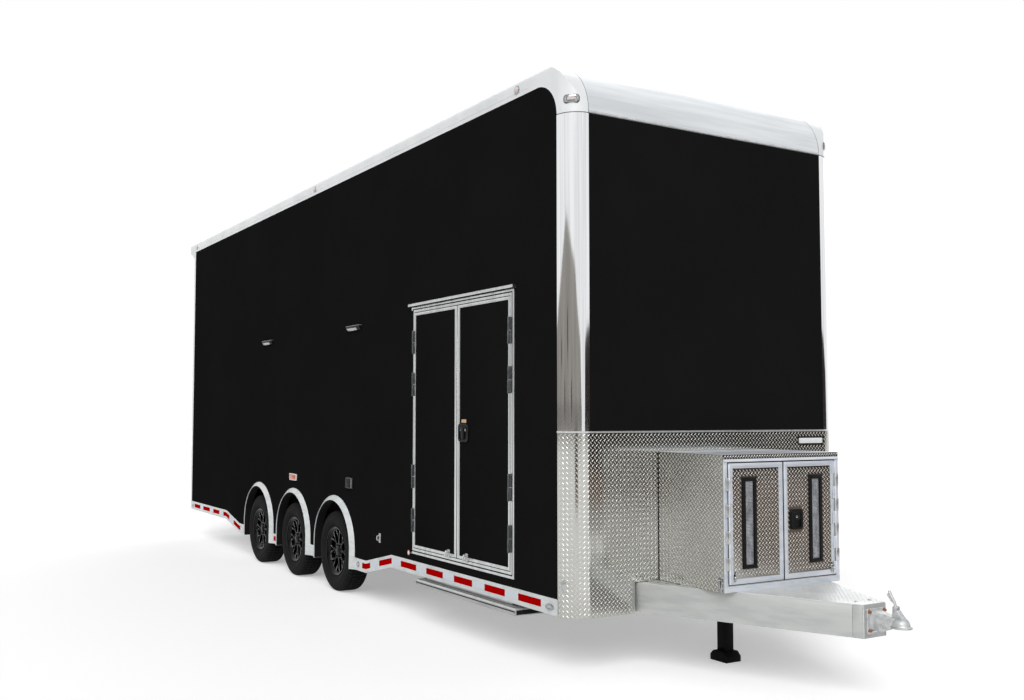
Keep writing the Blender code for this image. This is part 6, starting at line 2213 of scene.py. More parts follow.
@dataclass
class Coupler:
    """Cast ball coupler: bolted flange, tapered body, domed socket with its collar, and the latch."""

    datum: Datum
    latch_ahead: float = 0.152
    rim_z: float = 0.483
    rim_radius: float = 0.062
    pin_z: float = 0.5973
    ball_radius: float = 0.0305
    reach: float = 0.248

    @property
    def nose(self) -> float:
        """X of the nose's face."""
        return self.datum.ahead(self.datum.nose_ahead) + 0.0003

    def build(self) -> None:
        """Builds the casting, its bolts and the latch."""
        self._casting()
        self._bolts()
        self._latch()

    def _section(self, place: float, half: float, low: float, high: float,
                 radius: float) -> list[tuple[float, float, float]]:
        """A rounded section of the body across X."""
        return [(self.nose + place, y, z) for y, z in rounded(-half, low, half, high, radius, 5)]

    def _casting(self) -> None:
        """The casting with its socket open below."""
        casting = Shape()
        # Ahead of the nose, half width, lowest and highest z, and the corners' radius of each section
        flange = ((0.0, 0.085, 0.423, 0.5755, 0.010), (0.011, 0.085, 0.423, 0.5755, 0.010),
                  (0.014, 0.082, 0.426, 0.5725, 0.010))
        neck = ((0.010, 0.060, 0.431, 0.565, 0.018), (0.020, 0.055, 0.432, 0.562, 0.020),
                (0.060, 0.049, 0.443, 0.556, 0.022), (0.100, 0.042, 0.459, 0.550, 0.022),
                (0.138, 0.036, 0.475, 0.545, 0.020), (0.162, 0.031, 0.487, 0.541, 0.016))
        for sections in (flange, neck):
            casting.loft([self._section(*section) for section in sections])
        web = ((0.012, 0.058, 0.429), (0.012, 0.078, 0.429), (0.016, 0.078, 0.429), (0.050, 0.046, 0.443))
        for side in Side:
            casting.loft([
                [(self.nose + a, side.sign * b, z + rise) for a, b, z in web] for rise in (0.0, 0.008)],
                0.001)
        centre = self.nose - 0.0003 + self.reach - self.rim_radius
        r, b = self.rim_radius, self.ball_radius
        profile = [(b, 0.0), (r - 0.003, 0.0), (r, 0.002), (r, 0.009), (r - 0.003, 0.012), (0.052, 0.013)]
        profile += arc((0.0, 0.016), (0.050, 0.052), 0, 90, 10)
        profile += [(0.0, 0.048)] + arc((0.0, 0.017), (b, b), 75, 0, 5)
        casting.turned(profile, Matrix.Translation((centre, 0, self.rim_z)), 48)
        latch_x = self.datum.ahead(self.datum.nose_ahead + self.latch_ahead)
        hump = [(-0.018, 0.535), (0.054, 0.525), (0.054, 0.547), (0.040, 0.559), (0.018, 0.587),
                (-0.014, 0.587)]
        casting.prism(Plane.XZ, [(latch_x + x, z) for x, z in hump], -0.0190, 0.0190, 0.004)
        ear = [(-0.012, 0.577), (0.012, 0.577), (0.012, 0.603), (0.007, 0.609), (-0.007, 0.609),
               (-0.012, 0.603)]
        for side in Side:
            low, high = sorted((side.sign * 0.0105, side.sign * 0.0195))
            casting.prism(Plane.XZ, [(latch_x + x, z) for x, z in ear], low, high, 0.0015)
        for low, high in ((-0.022, -0.0104), (0.0104, 0.022)):
            casting.rod((latch_x, low, self.pin_z), (latch_x, high, self.pin_z), 0.0055, 16, ease=0.0008)
        casting.piece("coupler_casting", CAST_ZINC, replaces=["coupler"], slot="cast_zinc", smooth=40)

    def _bolts(self) -> None:
        """Four flange bolts with washers."""
        bolts = Shape()
        for y in (-0.0685, 0.0685):
            for z in (0.444, 0.560):
                face = self.nose + 0.013
                bolts.rod((face, y, z), (face + 0.003, y, z), 0.0125, 20, ease=0.0006)
                bolts.prism(
                    Plane.YZ, oval(y, z, 0.0095, 0.0095, 6), face + 0.002, face + 0.011, 0.001)
                bolts.rod((face + 0.010, y, z), (face + 0.018, y, z), 0.0055, 12, ease=0.0008)
        bolts.piece("coupler_bolts", PASSIVATED_BOLT)

    def _latch(self) -> None:
        """The lever on its pin, with its bent grip and the safety trigger behind it."""
        latch_x = self.datum.ahead(self.datum.nose_ahead + self.latch_ahead)
        z = self.pin_z
        lever = Shape().rod((latch_x, -0.0098, z), (latch_x, 0.0098, z), 0.0098, 20, ease=0.001)
        spine = [(0.000, 0.000), (-0.006, 0.018), (-0.012, 0.036), (-0.024, 0.054), (-0.034, 0.070),
                 (-0.042, 0.086),
                 (-0.047, 0.097)]
        widths = (0.0085, 0.0085, 0.0080, 0.0085, 0.0090, 0.0090, 0.0070)
        rings = []
        for (x, rise), w in zip(spine, widths):
            rings.append([(latch_x + x + a, b, z + rise + a * 0.4) for a,
                          b in rounded(-0.0055, -w, 0.0055, w, 0.004, 3)])
        lever.loft(rings)
        trigger = [(-0.012, 0.030), (-0.026, 0.040), (-0.036, 0.056), (-0.046, 0.066), (-0.050, 0.078)]
        rings = []
        for x, rise in trigger:
            rings.append([(latch_x + x + a - 0.008, b, z + rise + a * 0.3) for a,
                          b in rounded(-0.004, -0.006, 0.004, 0.006, 0.003, 3)])
        lever.loft(rings)
        lever.rod((latch_x - 0.016, -0.011, z + 0.034), (latch_x - 0.016, 0.011, z + 0.034), 0.0042, 14,
                  ease=0.0006)
        lever.piece("latch_lever", CAST_ZINC, body="coupler_latch", replaces=["coupler_latch"],
                    slot="cast_zinc", smooth=40)


@dataclass
class Wheels:
    """Six wheels from one tyre, one coated rim and one set of machined faces."""

    datum: Datum
    names: tuple[str, ...] = ("front", "middle", "rear")
    radius: float = 0.391
    width: float = 0.235
    inset: float = -0.010
    bead: float = 0.226
    bead_half: float = 0.088
    flange: float = 0.238
    blocks: int = 64
    spokes: int = 8
    lip_bolts: int = 24
    lugs: int = 8

    def build(self) -> None:
        """Builds the shared meshes and places them on each hub."""
        kinds = (
            ("tyre", self._tyre(), TYRE_RUBBER, 38.0), ("rim", self._rim(), GLOSS_BLACK, 32.0),
            ("rim_faces", self._faces(), MACHINED_FACE, 32.0),
            ("rim_bolts", self._bolts(), BLACK_CHROME, 32.0))
        for name, centre in zip(self.names, self.datum.axles):
            for side in Side:
                y = side.sign * (self.datum.side - self.inset - self.width / 2)
                turn = Matrix(((0, -side.sign, 0), (0, 0, side.sign), (-1, 0, 0))).to_4x4()
                place = Matrix.Translation((self.datum.behind(centre), y, self.radius)) @ turn
                for kind, mesh, finish, smooth in kinds:
                    nodes = [f"{kind}_{name}_{side.tag}"] if kind in ("tyre", "rim") else []
                    show(
                        f"{kind}_fine_{name}_{side.tag}", mesh, finish, body=f"wheel_{name}_{side.tag}",
                        replaces=nodes, smooth=smooth, place=place)

    def _tyre(self) -> bpy.types.Mesh:
        """The tyre: sidewall with rings and a raised band, shoulder blocks and grooved tread."""
        r, h = self.radius, self.width / 2
        # From the bead out over the outer sidewall to the tread's middle: radius, distance out, block share
        half = [
            (self.bead, self.bead_half - 0.004, 0), (self.bead, self.bead_half, 0),
            (self.flange + 0.004, self.bead_half + 0.002, 0),
            (self.flange + 0.010, self.bead_half + 0.011, 0),
            (self.flange + 0.014, self.bead_half + 0.013, 0),
            (self.flange + 0.018, self.bead_half + 0.012, 0),
            (self.flange + 0.022, self.bead_half + 0.0165, 0),
            (r - 0.118, h - 0.0065, 0), (r - 0.100, h - 0.0020, 0), (r - 0.092, h - 0.0010, 0),
            (r - 0.0905, h, 0),
            (r - 0.079, h, 0), (r - 0.0775, h - 0.0012, 0), (r - 0.064, h - 0.0025, 0),
            (r - 0.050, h - 0.0060, 0),
            (r - 0.046, h - 0.0050, 0.15), (r - 0.036, h - 0.0080, 0.5), (r - 0.022, h - 0.0150, 1),
            (r - 0.010, h - 0.0215, 1),
            (r - 0.004, h - 0.0310, 1), (r - 0.0015, h * 0.66, 1)]
        grooves = ((0.56, 0.48), (0.17, 0.10))
        crown: list[tuple[float, float, float]] = []
        for outer, inner in grooves:
            crown += [(r, h * outer, 1), (r - 0.009, h * (outer - 0.012), 0),
                      (r - 0.009, h * (inner + 0.012), 0), (r, h * inner, 1)]
        profile = half + crown
        profile += [(a, -b, c) for a, b, c in profile[::-1]]
        step = 2 * math.pi / self.blocks
        turns: list[tuple[float, float]] = []
        for i in range(self.blocks):
            turns += [(step * i, 0.0), (step * (i + 0.74), 0.0), (step * (i + 0.80), 1.0),
                      (step * (i + 0.94), 1.0)]
        part = bmesh.new()
        rings = []
        for angle, cut in turns:
            ring = []
            for radius, out, share in profile:
                lean = 0.06 * share * (1 if out > 0 else -1) * abs(out) / h
                depth = 0.0085 * cut * share
                flat = radius - depth
                a = angle + lean * step
                ring.append(part.verts.new(
                    (flat * math.cos(a), flat * math.sin(a), out - math.copysign(depth * 0.5, out))))
            rings.append(ring)
        count = len(profile)
        for i, ring in enumerate(rings):
            after = rings[(i + 1) % len(rings)]
            for k in range(count):
                n = (k + 1) % count
                part.faces.new((ring[k], ring[n], after[n], after[k]))
        bmesh.ops.recalc_face_normals(part, faces=part.faces)
        mesh = bpy.data.meshes.new("tyre")
        part.to_mesh(mesh)
        part.free()
        return mesh

    def _arm(self, shape: Shape, points: Sequence[Point], low: Sequence[float], high: Sequence[float],
             ease: float) -> None:
        """A bar whose plan is given by four corners, with its own lower and upper face at each corner.

        Args:
            shape: The shape that takes it.
            points: The plan's corners.
            low: The lower face at each corner.
            high: The upper face at each corner.
            ease: The rounding of its edges.
        """
        bottom = [(x, y, z) for (x, y), z in zip(points, low)]
        top = [(x, y, z) for (x, y), z in zip(points, high)]
        shape.loft([bottom, top], ease)

    def _spoke_bars(self) -> list[tuple[Point, Point, float, float, float, float]]:
        """Each spoke's bars: start and end as (radius, degrees), then half widths and face heights there."""
        bars = []
        for i in range(self.spokes):
            middle = 360 / self.spokes * i
            bars.append(((0.060, middle), (0.120, middle), 0.0165, 0.0120, 0.066, 0.062))
            bars.append(((0.112, middle - 0.5), (0.214, middle - 12.5), 0.0085, 0.0065, 0.062, 0.074))
            bars.append(((0.112, middle + 0.5), (0.214, middle + 12.5), 0.0085, 0.0065, 0.062, 0.074))
        return bars

    @staticmethod
    def _polar(radius: float, degrees: float) -> Vector:
        """The point at a radius and an angle."""
        return Vector((radius * math.cos(math.radians(degrees)), radius * math.sin(math.radians(degrees))))

    def _rim(self) -> bpy.types.Mesh:
        """Coated rim: barrel with rolled lips, forked spokes, hub and drum."""
        lip = self.bead_half + 0.0015
        barrel = self.bead - 0.0015
        profile = [
            (self.flange - 0.004, lip + 0.011), (self.flange, lip + 0.008), (self.flange, lip),
            (barrel, lip),
            (barrel, lip - 0.020), (barrel - 0.012, lip - 0.034), (barrel - 0.012, -lip + 0.024),
            (barrel, -lip + 0.012),
            (barrel, -lip), (self.flange, -lip), (self.flange, -lip - 0.008),
            (self.flange - 0.006, -lip - 0.008),
            (barrel - 0.008, -lip), (barrel - 0.018, -lip + 0.020), (barrel - 0.018, lip - 0.040),
            (barrel - 0.010, lip - 0.018),
            (barrel - 0.010, lip - 0.006), (self.flange - 0.010, lip + 0.002),
            (self.flange - 0.012, lip + 0.009)]
        shape = Shape().turned(profile, Matrix.Identity(4), 72)
        shape.turned(
            [(0.205, 0.058), (0.222, 0.070), (0.224, 0.080), (0.214, 0.080), (0.204, 0.070), (0.198, 0.060)],
            Matrix.Identity(4), 72)
        hub = [(0.0, 0.030), (0.072, 0.030), (0.078, 0.040), (0.078, 0.060), (0.072, 0.067), (0.046, 0.069),
               (0.044, 0.075), (0.040, 0.078), (0.022, 0.084), (0.0, 0.086)]
        shape.turned(hub, Matrix.Identity(4), 48)
        drum = [(0.0325, -0.100), (0.150, -0.100), (0.152, -0.094), (0.152, -0.036), (0.148, -0.030),
                (0.080, -0.024),
                (0.076, 0.032), (0.0325, 0.032)]
        shape.turned(drum, Matrix.Identity(4), 48)
        for start, end, wide, narrow, low_face, high_face in self._spoke_bars():
            a, b = self._polar(*start), self._polar(*end)
            side = (b - a).normalized().orthogonal()
            points = [(a - side * wide)[:], (b - side * narrow)[:], (b + side * narrow)[:],
                      (a + side * wide)[:]]
            self._arm(
                shape, points, [low_face - 0.030, high_face - 0.024, high_face - 0.024, low_face - 0.030],
                [low_face, high_face, high_face, low_face], 0.0025)
        return shape.cast("rim")

    def _faces(self) -> bpy.types.Mesh:
        """Narrow machined strips on both edges of the spokes' forks, and the ring at the lip."""
        shape = Shape()
        for start, end, wide, narrow, low_face, high_face in self._spoke_bars():
            if start[0] < 0.1:
                continue
            a, b = self._polar(*start), self._polar(*end)
            side = (b - a).normalized().orthogonal()
            share = 0.42
            a, wide = a.lerp(b, share), wide + (narrow - wide) * share
            low_face += (high_face - low_face) * share
            for sign in (-1, 1):
                p, q = a + side * sign * (wide - 0.0030), b + side * sign * (narrow - 0.0022)
                points = [(p - side * 0.0008)[:], (q - side * 0.0008)[:], (q + side * 0.0008)[:],
                          (p + side * 0.0008)[:]]
                self._arm(
                    shape, points,
                    [low_face - 0.002, high_face - 0.002, high_face - 0.002, low_face - 0.002],
                    [low_face + 0.0006, high_face + 0.0006, high_face + 0.0006, low_face + 0.0006], 0.0)
        return shape.cast("rim_faces")

    def _bolts(self) -> bpy.types.Mesh:
        """Small bolts round the lip, wheel nuts round the hub, and the cap's rim."""
        shape = Shape()
        for i in range(self.lip_bolts):
            x, y = self._polar(0.2175, 360 / self.lip_bolts * (i + 0.5))
            shape.rod((x, y, 0.078), (x, y, 0.0835), 0.0042, 8, ease=0.0008)
        for i in range(self.lugs):
            x, y = self._polar(0.0575, 360 / self.lugs * (i + 0.5))
            shape.rod((x, y, 0.064), (x, y, 0.082), 0.0095, 6, ease=0.001)
            shape.dome((x, y, 0.082), (0, 0, 1), 0.0080, 0.005, 12)
        shape.turned([(0.0435, 0.0705), (0.0465, 0.0705), (0.0465, 0.0755), (0.0435, 0.0760)],
                     Matrix.Identity(4), 40)
        return shape.cast("rim_bolts")


@dataclass
class Lamps:
    """Scene lamps, markers, clearance lamps and the power inlet."""

    datum: Datum
    scene_places: tuple[tuple[str, float], ...] = (("front", 3.500), ("rear", 5.940))
    scene_z: float = 2.565
    scene_half: float = 0.148
    roof_markers: tuple[float, ...] = (0.655, 4.564, 9.020)
    roof_marker_z: float = 4.115
    marker_place: float = 5.095
    marker_z: float = 1.057
    cap_lamp_z: float = 3.899
    inlet_place: float = 3.575
    inlet_z: float = 1.082
    # Behind, height, half the width and half the height of each lamp on the skirt
    skirt_lamps: tuple[tuple[float, float, float, float], ...] = (
        (0.235, 0.445, 0.046, 0.021), (3.364, 0.335, 0.027, 0.027), (8.985, 0.445, 0.040, 0.021))

    def build(self) -> None:
        """Builds every lamp and the inlet."""
        for name, place in self.scene_places:
            self._scene_lamp(name, place)
        for side in Side:
            self._roof_markers(side)
            self._side_marker(side)
            self._cap_lamp(side)
            self._skirt_lamps(side)
        self._inlet()

    def _scene_lamp(self, name: str, place: float) -> None:
        """Slim flood lamp: hooded housing with end plates, a visor, and a ribbed lens that faces down and out.

        Args:
            name: The lamp's name.
            place: Its distance behind the front wall.
        """
        d = self.datum
        x, wall, z = d.behind(place), -d.side, self.scene_z
        half = self.scene_half
        section = [(0.0, -0.022), (0.0, 0.024), (0.012, 0.025), (0.031, 0.020), (0.0318, 0.014),
                   (0.024, -0.004),
                   (0.014, -0.020)]
        Shape().prism(Plane.YZ, [(wall - a, z + b) for a, b in section], x - half, x + half, 0.0015).piece(
            f"flood_housing_{name}", BLACK_NYLON, replaces=[f"scene_lamp_{name}"], slot="clear_lens")
        lens = [(0.0240, 0.0005), (0.0290, 0.0025), (0.0256, -0.0050), (0.0158, -0.0205), (0.0130, -0.0185)]
        Shape().prism(Plane.YZ, [(wall - a, z + b) for a, b in lens], x - half + 0.010, x + half - 0.070,
                      0.0005).piece(
            f"flood_lens_{name}", LED_LENS)
        Shape().box((x - half - 0.004, wall - 0.0335, z + 0.0215),
                    (x + half + 0.006, wall - 0.0005, z + 0.0265), 0.001).piece(
            f"flood_visor_{name}", LAMP_GREY)
        ends = Shape()
        for sign in (-1, 1):
            a = x + sign * (half + 0.0005)
            ends.prism(Plane.YZ, [(wall - p * 1.02, z + q * 1.06) for p, q in section], a - 0.003, a + 0.003,
                       0.001)
        ends.piece(f"flood_ends_{name}", BLACK_NYLON)

    def _roof_markers(self, side: Side) -> None:
        """Small domed marker lamps on the roof rail, each on a chromed base.

        Args:
            side: The trailer's side.
        """
        d = self.datum
        base, lens = Shape(), Shape()
        for place in self.roof_markers:
            x, y, z = d.behind(place), side.sign * d.side, self.roof_marker_z
            out = Vector((0, side.sign, 0.0))
            turn = Matrix.Translation((x, y, z)) @ out.to_track_quat("Z", "Y").to_matrix().to_4x4()
            base.turned([(0.0, -0.001), (0.034, -0.001), (0.034, 0.003), (0.030, 0.006), (0.0, 0.006)], turn,
                        24)
            profile = [(0.0, 0.004), (0.025, 0.004)]
            profile += [(0.025 * math.cos(a), 0.006 + 0.012 * math.sin(a)) for a in (0.0, 0.4, 0.8, 1.2)] + [
                (0.0, 0.018)]
            lens.turned(profile, turn, 24)
        base.piece(f"marker_bases_{side.tag}", CHROME)
        lens.piece(f"marker_lenses_{side.tag}", CLEAR_LENS)

    def _side_marker(self, side: Side) -> None:
        """Amber side marker in a white bezel.

        Args:
            side: The trailer's side.
        """
        d = self.datum
        x, z, wall = d.behind(self.marker_place), self.marker_z, side.sign * d.side
        low, high = sorted((wall - side.sign * 0.001, wall + side.sign * 0.012))
        outer = pad(x, z, 0.101, 0.036, 0.014)
        inner = pad(x, z, 0.086, 0.026, 0.009)
        Shape().frame(Plane.XZ, outer, inner, low, high, 0.002).piece(
            f"side_marker_bezel_{side.tag}", WHITE_ENAMEL)
        low, high = sorted((wall - side.sign * 0.001, wall + side.sign * 0.0165))
        Shape().prism(Plane.XZ, inner, low, high, 0.004).piece(
            f"side_marker_lens_{side.tag}", AMBER_LENS)

    def _cap_lamp(self, side: Side) -> None:
        """Chromed clearance lamp on the rounded corner of the roof cap, with its pinkish lens.

        Args:
            side: The trailer's side.
        """
        d = self.datum
        turn = math.radians(45) * side.sign
        out = Vector((math.cos(turn), math.sin(turn), 0.0))
        along = Vector((-math.sin(turn), math.cos(turn), 0.0))
        centre = Vector((d.behind(d.corner_radius), side.sign * (d.side - d.corner_radius), self.cap_lamp_z))
        face = centre + out * (d.corner_radius + 0.001)
        place = Matrix((
            (along.x, 0.0, out.x, face.x), (along.y, 0.0, out.y, face.y), (0.0, 1.0, 0.0, face.z),
            (0, 0, 0, 1)))

        def ring(width: float, height: float, radius: float, depth: float) -> list[Vector]:
            """A rounded outline bent round the corner, so far out of it."""
            return [place @ Vector((a, b, depth - a * a / (2 * d.corner_radius))) for a, b in rounded(
                -width, -height, width, height, radius, 6)]

        bezel = Shape()
        loops = [ring(0.052, 0.026, 0.018, -0.003), ring(0.052, 0.026, 0.018, 0.006),
                 ring(0.047, 0.022, 0.015, 0.013),
                 ring(0.034, 0.013, 0.010, 0.013), ring(0.032, 0.012, 0.009, -0.003)]
        part = bmesh.new()
        rings = [[part.verts.new(point) for point in loop] for loop in loops]
        Shape._skin(part, rings + rings[:1], closed=True, ends=False)
        bezel.add(part)
        for sign in (-1, 1):
            spot = place @ Vector((sign * 0.041, 0.0, 0.0128 - 0.041 ** 2 / (2 * d.corner_radius)))
            bezel.dome(spot, out, 0.0035, 0.0016, 10)
        bezel.piece(f"cap_lamp_bezel_{side.tag}", CHROME)
        Shape().loft([ring(0.0555, 0.0295, 0.020, -0.003), ring(0.0555, 0.0295, 0.020, 0.003)]).piece(
            f"cap_lamp_gasket_{side.tag}", SEAL_RUBBER)
        Shape().loft([ring(0.0325, 0.0125, 0.009, -0.002), ring(0.0325, 0.0125, 0.009, 0.009),
                      ring(0.026, 0.008, 0.006, 0.013)]).piece(
            f"cap_lamp_lens_{side.tag}", CLEAR_LENS)

    def _skirt_lamps(self, side: Side) -> None:
        """Oval and round chromed lamps on the skirt, and the reflector at its rear end.

        Args:
            side: The trailer's side.
        """
        d = self.datum
        s = side.sign
        wall = s * (d.side + d.skirt_proud)
        chrome, lens = Shape(), Shape()
        for place, z, wide, tall in self.skirt_lamps:
            x = d.behind(place)
            rim, inner = oval(x, z, wide, tall, 32), oval(x, z, wide * 0.62, tall * 0.58, 32)
            chrome.frame(Plane.XZ, rim, inner, wall - s * 0.001, wall + s * 0.010, 0.003)
            lens.prism(Plane.XZ, inner, wall - s * 0.001, wall + s * 0.0085, 0.0025)
        chrome.piece(f"skirt_lamp_bezels_{side.tag}", CHROME)
        lens.piece(f"skirt_lamp_lenses_{side.tag}", LED_LENS)

    def _inlet(self) -> None:
        """Black power inlet with its hinged lid, rib edges and catch."""
        d = self.datum
        x, wall, z = d.behind(self.inlet_place), -d.side, self.inlet_z
        Shape().prism(
            Plane.XZ, pad(x, z, 0.0745, 0.0545, 0.008), wall - 0.010, wall + 0.0005, 0.002,
        ).piece("inlet_flange", BLACK_NYLON, replaces=["power_inlet"])
        lid = Shape().prism(
            Plane.XZ, rounded(x - 0.062, z - 0.046, x + 0.058, z + 0.046, 0.007), wall - 0.030,
            wall - 0.0095, 0.003)
        lid.rod((x - 0.055, wall - 0.013, z + 0.0485), (x + 0.051, wall - 0.013, z + 0.0485), 0.0048, 12,
                ease=0.0008)
        lid.box((x - 0.012, wall - 0.0325, z - 0.046), (x + 0.010, wall - 0.028, z - 0.034), 0.001)
        lid.piece("inlet_lid", BLACK_NYLON)
        trim = Shape().frame(
            Plane.XZ, rounded(x - 0.0635, z - 0.0475, x + 0.0595, z + 0.0475, 0.008),
            rounded(x - 0.060, z - 0.044, x + 0.056, z + 0.044, 0.006), wall - 0.012, wall - 0.0275, 0.0006)
        trim.piece("inlet_edge", LAMP_GREY, slot="gloss_black")


@dataclass
class Rear:
    """Rear frame, ramp door with its liner, hinges and cam latches, and the tail lamps."""

    datum: Datum
    post: float = 0.100
    ramp_low: float = 0.578
    ramp_top: float = 3.797
    gap: float = 0.006
    meeting_gap: float = 0.012
    ramp_proud: float = 0.010
    thickness: float = 0.050
    hinges: int = 5
    hinge_pitch: float = 0.480
    hinge_length: float = 0.120
    hinge_strap: float = 0.034
    hinge_standoff: float = 0.014
    knuckle: float = 0.009
    edge: float = 0.055
    bar_y: float = 1.020
    bar_top: float = 2.900
    handle_z: float = 1.250

    @property
    def mouth(self) -> float:
        """Half the width of the doorway."""
        return self.datum.side - self.post

    def build(self) -> None:
        """Builds the rear."""
        frame = Shape()
        ramp = Shape()
        self._hinge_line(frame, ramp)
        self._frame(frame)
        self._ramp(ramp)
        self._bars()
        for side in Side:
            self._lamps(side)

    def _frame(self, shape: Shape) -> None:
        """Posts, header and sill as one frame, with a seal round the doorway.

        Args:
            shape: The shape with the frame's half of the hinges.
        """
        d, r = self.datum, self.datum.rail_rounding
        mouth = rectangle(-self.mouth, self.ramp_low, self.mouth, self.ramp_top)
        outer = arc((d.side - r, d.roof_top - r), (r, r), 0, 90, 12)
        left = [(d.side, d.skirt_high)] + outer
        x_low, x_high = d.rear, d.rear + d.rear_frame_depth
        for sign in (1, -1):
            outline = [(sign * y, z) for y, z in left]
            outline += [(0.0, d.roof_top), (0.0, self.ramp_top), (sign * self.mouth, self.ramp_top),
                        (sign * self.mouth, self.ramp_low), (0.0, self.ramp_low), (0.0, d.skirt_high)]
            shape.prism(Plane.YZ, outline, x_low, x_high)
        shape.piece("rear_frame_skin", WHITE_ENAMEL, replaces=["rear_frame"])
        inset = 0.0045
        Shape().frame(
            Plane.YZ, mouth,
            rectangle(-self.mouth + inset, self.ramp_low + inset, self.mouth - inset, self.ramp_top - inset),
            x_low + 0.008, x_low + 0.036).piece("ramp_seal", SEAL_RUBBER)
        joints = Shape()
        for sign in (-1, 1):
            for low, high in (
                    (self.ramp_top + 0.004, self.ramp_top + 0.0062),
                    (self.ramp_low - 0.0062, self.ramp_low - 0.004)):
                joints.box(
                    (x_low - 0.0012, sign * (self.mouth + 0.004), low),
                    (x_low + 0.004, sign * (d.side - 0.002), high))
        joints.piece("rear_joints", SEAL_RUBBER)
        tread = TreadPattern()
        z = self.ramp_low
        sheets = [(-self.mouth + 0.01, d.skirt_high + 0.11, self.mouth - 0.01, z - 0.012,
                   flat_sheet((d.rear, 0, 0), (0, -1, 0), (0, 0, 1)))]
        mesh = tread.mesh("sill_lugs", sheets)
        show("sill_lugs", mesh, TREAD_PLATE)
        Shape().box(
            (d.rear - 0.0012, -self.mouth, d.skirt_high + 0.105), (d.rear + 0.002, self.mouth, z - 0.008),
            0.0005,
        ).piece("sill_plate", TREAD_PLATE)

    def _ramp(self, shape: Shape) -> None:
        """Black ramp door with bright edges and a ribbed liner.

        Args:
            shape: The shape with the ramp's half of the hinges.
        """
        d = self.datum
        half = self.mouth - self.gap
        face = d.rear - self.ramp_proud
        low, high = self.ramp_low + self.gap, self.ramp_top - self.meeting_gap
        outer = rectangle(-half, low, half, high)
        e = self.edge
        inner = rectangle(-half + e, low + e, half - e, high - e)
        shape.frame(Plane.YZ, outer, inner, face, face + self.thickness, 0.0015)
        shape.piece("ramp_edges", BRIGHT_TRIM, body="ramp_door")
        Shape().box((face + 0.004, -half + 0.004, low + 0.004),
                    (face + self.thickness - 0.004, half - 0.004, high - 0.004), 0.001).piece(
            "ramp_panel", BLACK_SKIN, body="ramp_door", replaces=["ramp_door"])
        liner = Shape().box(
            (face + self.thickness - 0.005, -half + 0.012, low + 0.012),
            (face + self.thickness + 0.003, half - 0.012, high - 0.012), 0.001)
        count = 22
        for i in range(count):
            z = low + 0.10 + (high - low - 0.2) * i / (count - 1)
            liner.box(
                (face + self.thickness + 0.001, -half + 0.06, z - 0.010),
                (face + self.thickness + 0.009, half - 0.06, z + 0.010), 0.002)
        liner.piece("ramp_liner", STEP_ALUMINIUM, body="ramp_door")

    def _hinge_line(self, frame: Shape, ramp: Shape) -> None:
        """Ramp hinges along the sill, half on the frame and half on the ramp.

        Args:
            frame: The shape that takes the frame's halves.
            ramp: The shape that takes the ramp's.
        """
        d = self.datum
        axis_x = d.rear - self.ramp_proud - self.hinge_standoff
        axis_z = self.ramp_low + self.gap / 2
        for i in range(self.hinges):
            middle = (i - (self.hinges - 1) / 2) * self.hinge_pitch
            for shape, low, high, toward, face in (
                    (ramp, middle - self.hinge_length / 2, middle - 0.0005, 1, d.rear - self.ramp_proud),
                    (frame, middle + 0.0005, middle + self.hinge_length / 2, -1, d.rear)):
                shape.rod((axis_x, low, axis_z), (axis_x, high, axis_z), self.knuckle, 18, ease=0.0008)
                far = axis_z + toward * self.hinge_strap
                outline = [(axis_x - 0.003, axis_z), (axis_x - 0.003, far), (face + 0.002, far),
                           (face + 0.002, axis_z + toward * 0.014),
                           (axis_x + 0.003, axis_z + toward * 0.014),
                           (axis_x + 0.003, axis_z)]
                shape.prism(Plane.XZ, outline, low + 0.002, high - 0.002, 0.0006)
                for share in (0.25, 0.75):
                    shape.dome(
                        (axis_x - 0.003, low + share * (high - low),
                         axis_z + toward * (self.hinge_strap - 0.010)),
                        (-1, 0, 0), 0.005, 0.002, 10)

    def _bars(self) -> None:
        """Two upright cam bars on the ramp with their guides and handles."""
        d = self.datum
        face = d.rear - self.ramp_proud
        low, high = self.ramp_low + 0.50, self.bar_top
        for side in Side:
            y = side.sign * self.bar_y
            bar = Shape().rod((face - 0.020, y, low), (face - 0.020, y, high), 0.0105, 16, ease=0.001)
            for z in (low + 0.06, 1.42, 2.10, high - 0.06):
                bar.prism(Plane.XY, rounded(face - 0.034, y - 0.030, face + 0.002, y + 0.030, 0.008, 4),
                          z - 0.022, z + 0.022, 0.0015)
                for sign in (-1, 1):
                    bar.dome((face - 0.034, y, z + sign * 0.014), (-1, 0, 0), 0.005, 0.002, 10)
            bar.piece(f"cam_bar_{side.tag}", CHROME, body="ramp_door")
            handle = Shape().tube([
                (face - out, y - side.sign * across, self.handle_z + rise) for out, across, rise in (
                    (0.032, 0.0, 0.0), (0.040, 0.030, 0.0), (0.040, 0.190, 0.0), (0.040, 0.235, -0.012))],
                    0.0085, 12)
            handle.prism(Plane.XY, rounded(face - 0.038, y - 0.018, face - 0.010, y + 0.018, 0.006, 4),
                         self.handle_z - 0.025, self.handle_z + 0.025, 0.0015)
            catch_y = y - side.sign * 0.200
            handle.prism(Plane.XY, rounded(face - 0.034, catch_y - 0.022, face + 0.002, catch_y + 0.022,
                                           0.006, 4), self.handle_z - 0.045, self.handle_z - 0.018, 0.0015)
            handle.piece(f"cam_handle_{side.tag}", CAST_ZINC, body="ramp_door", slot="cast_zinc")

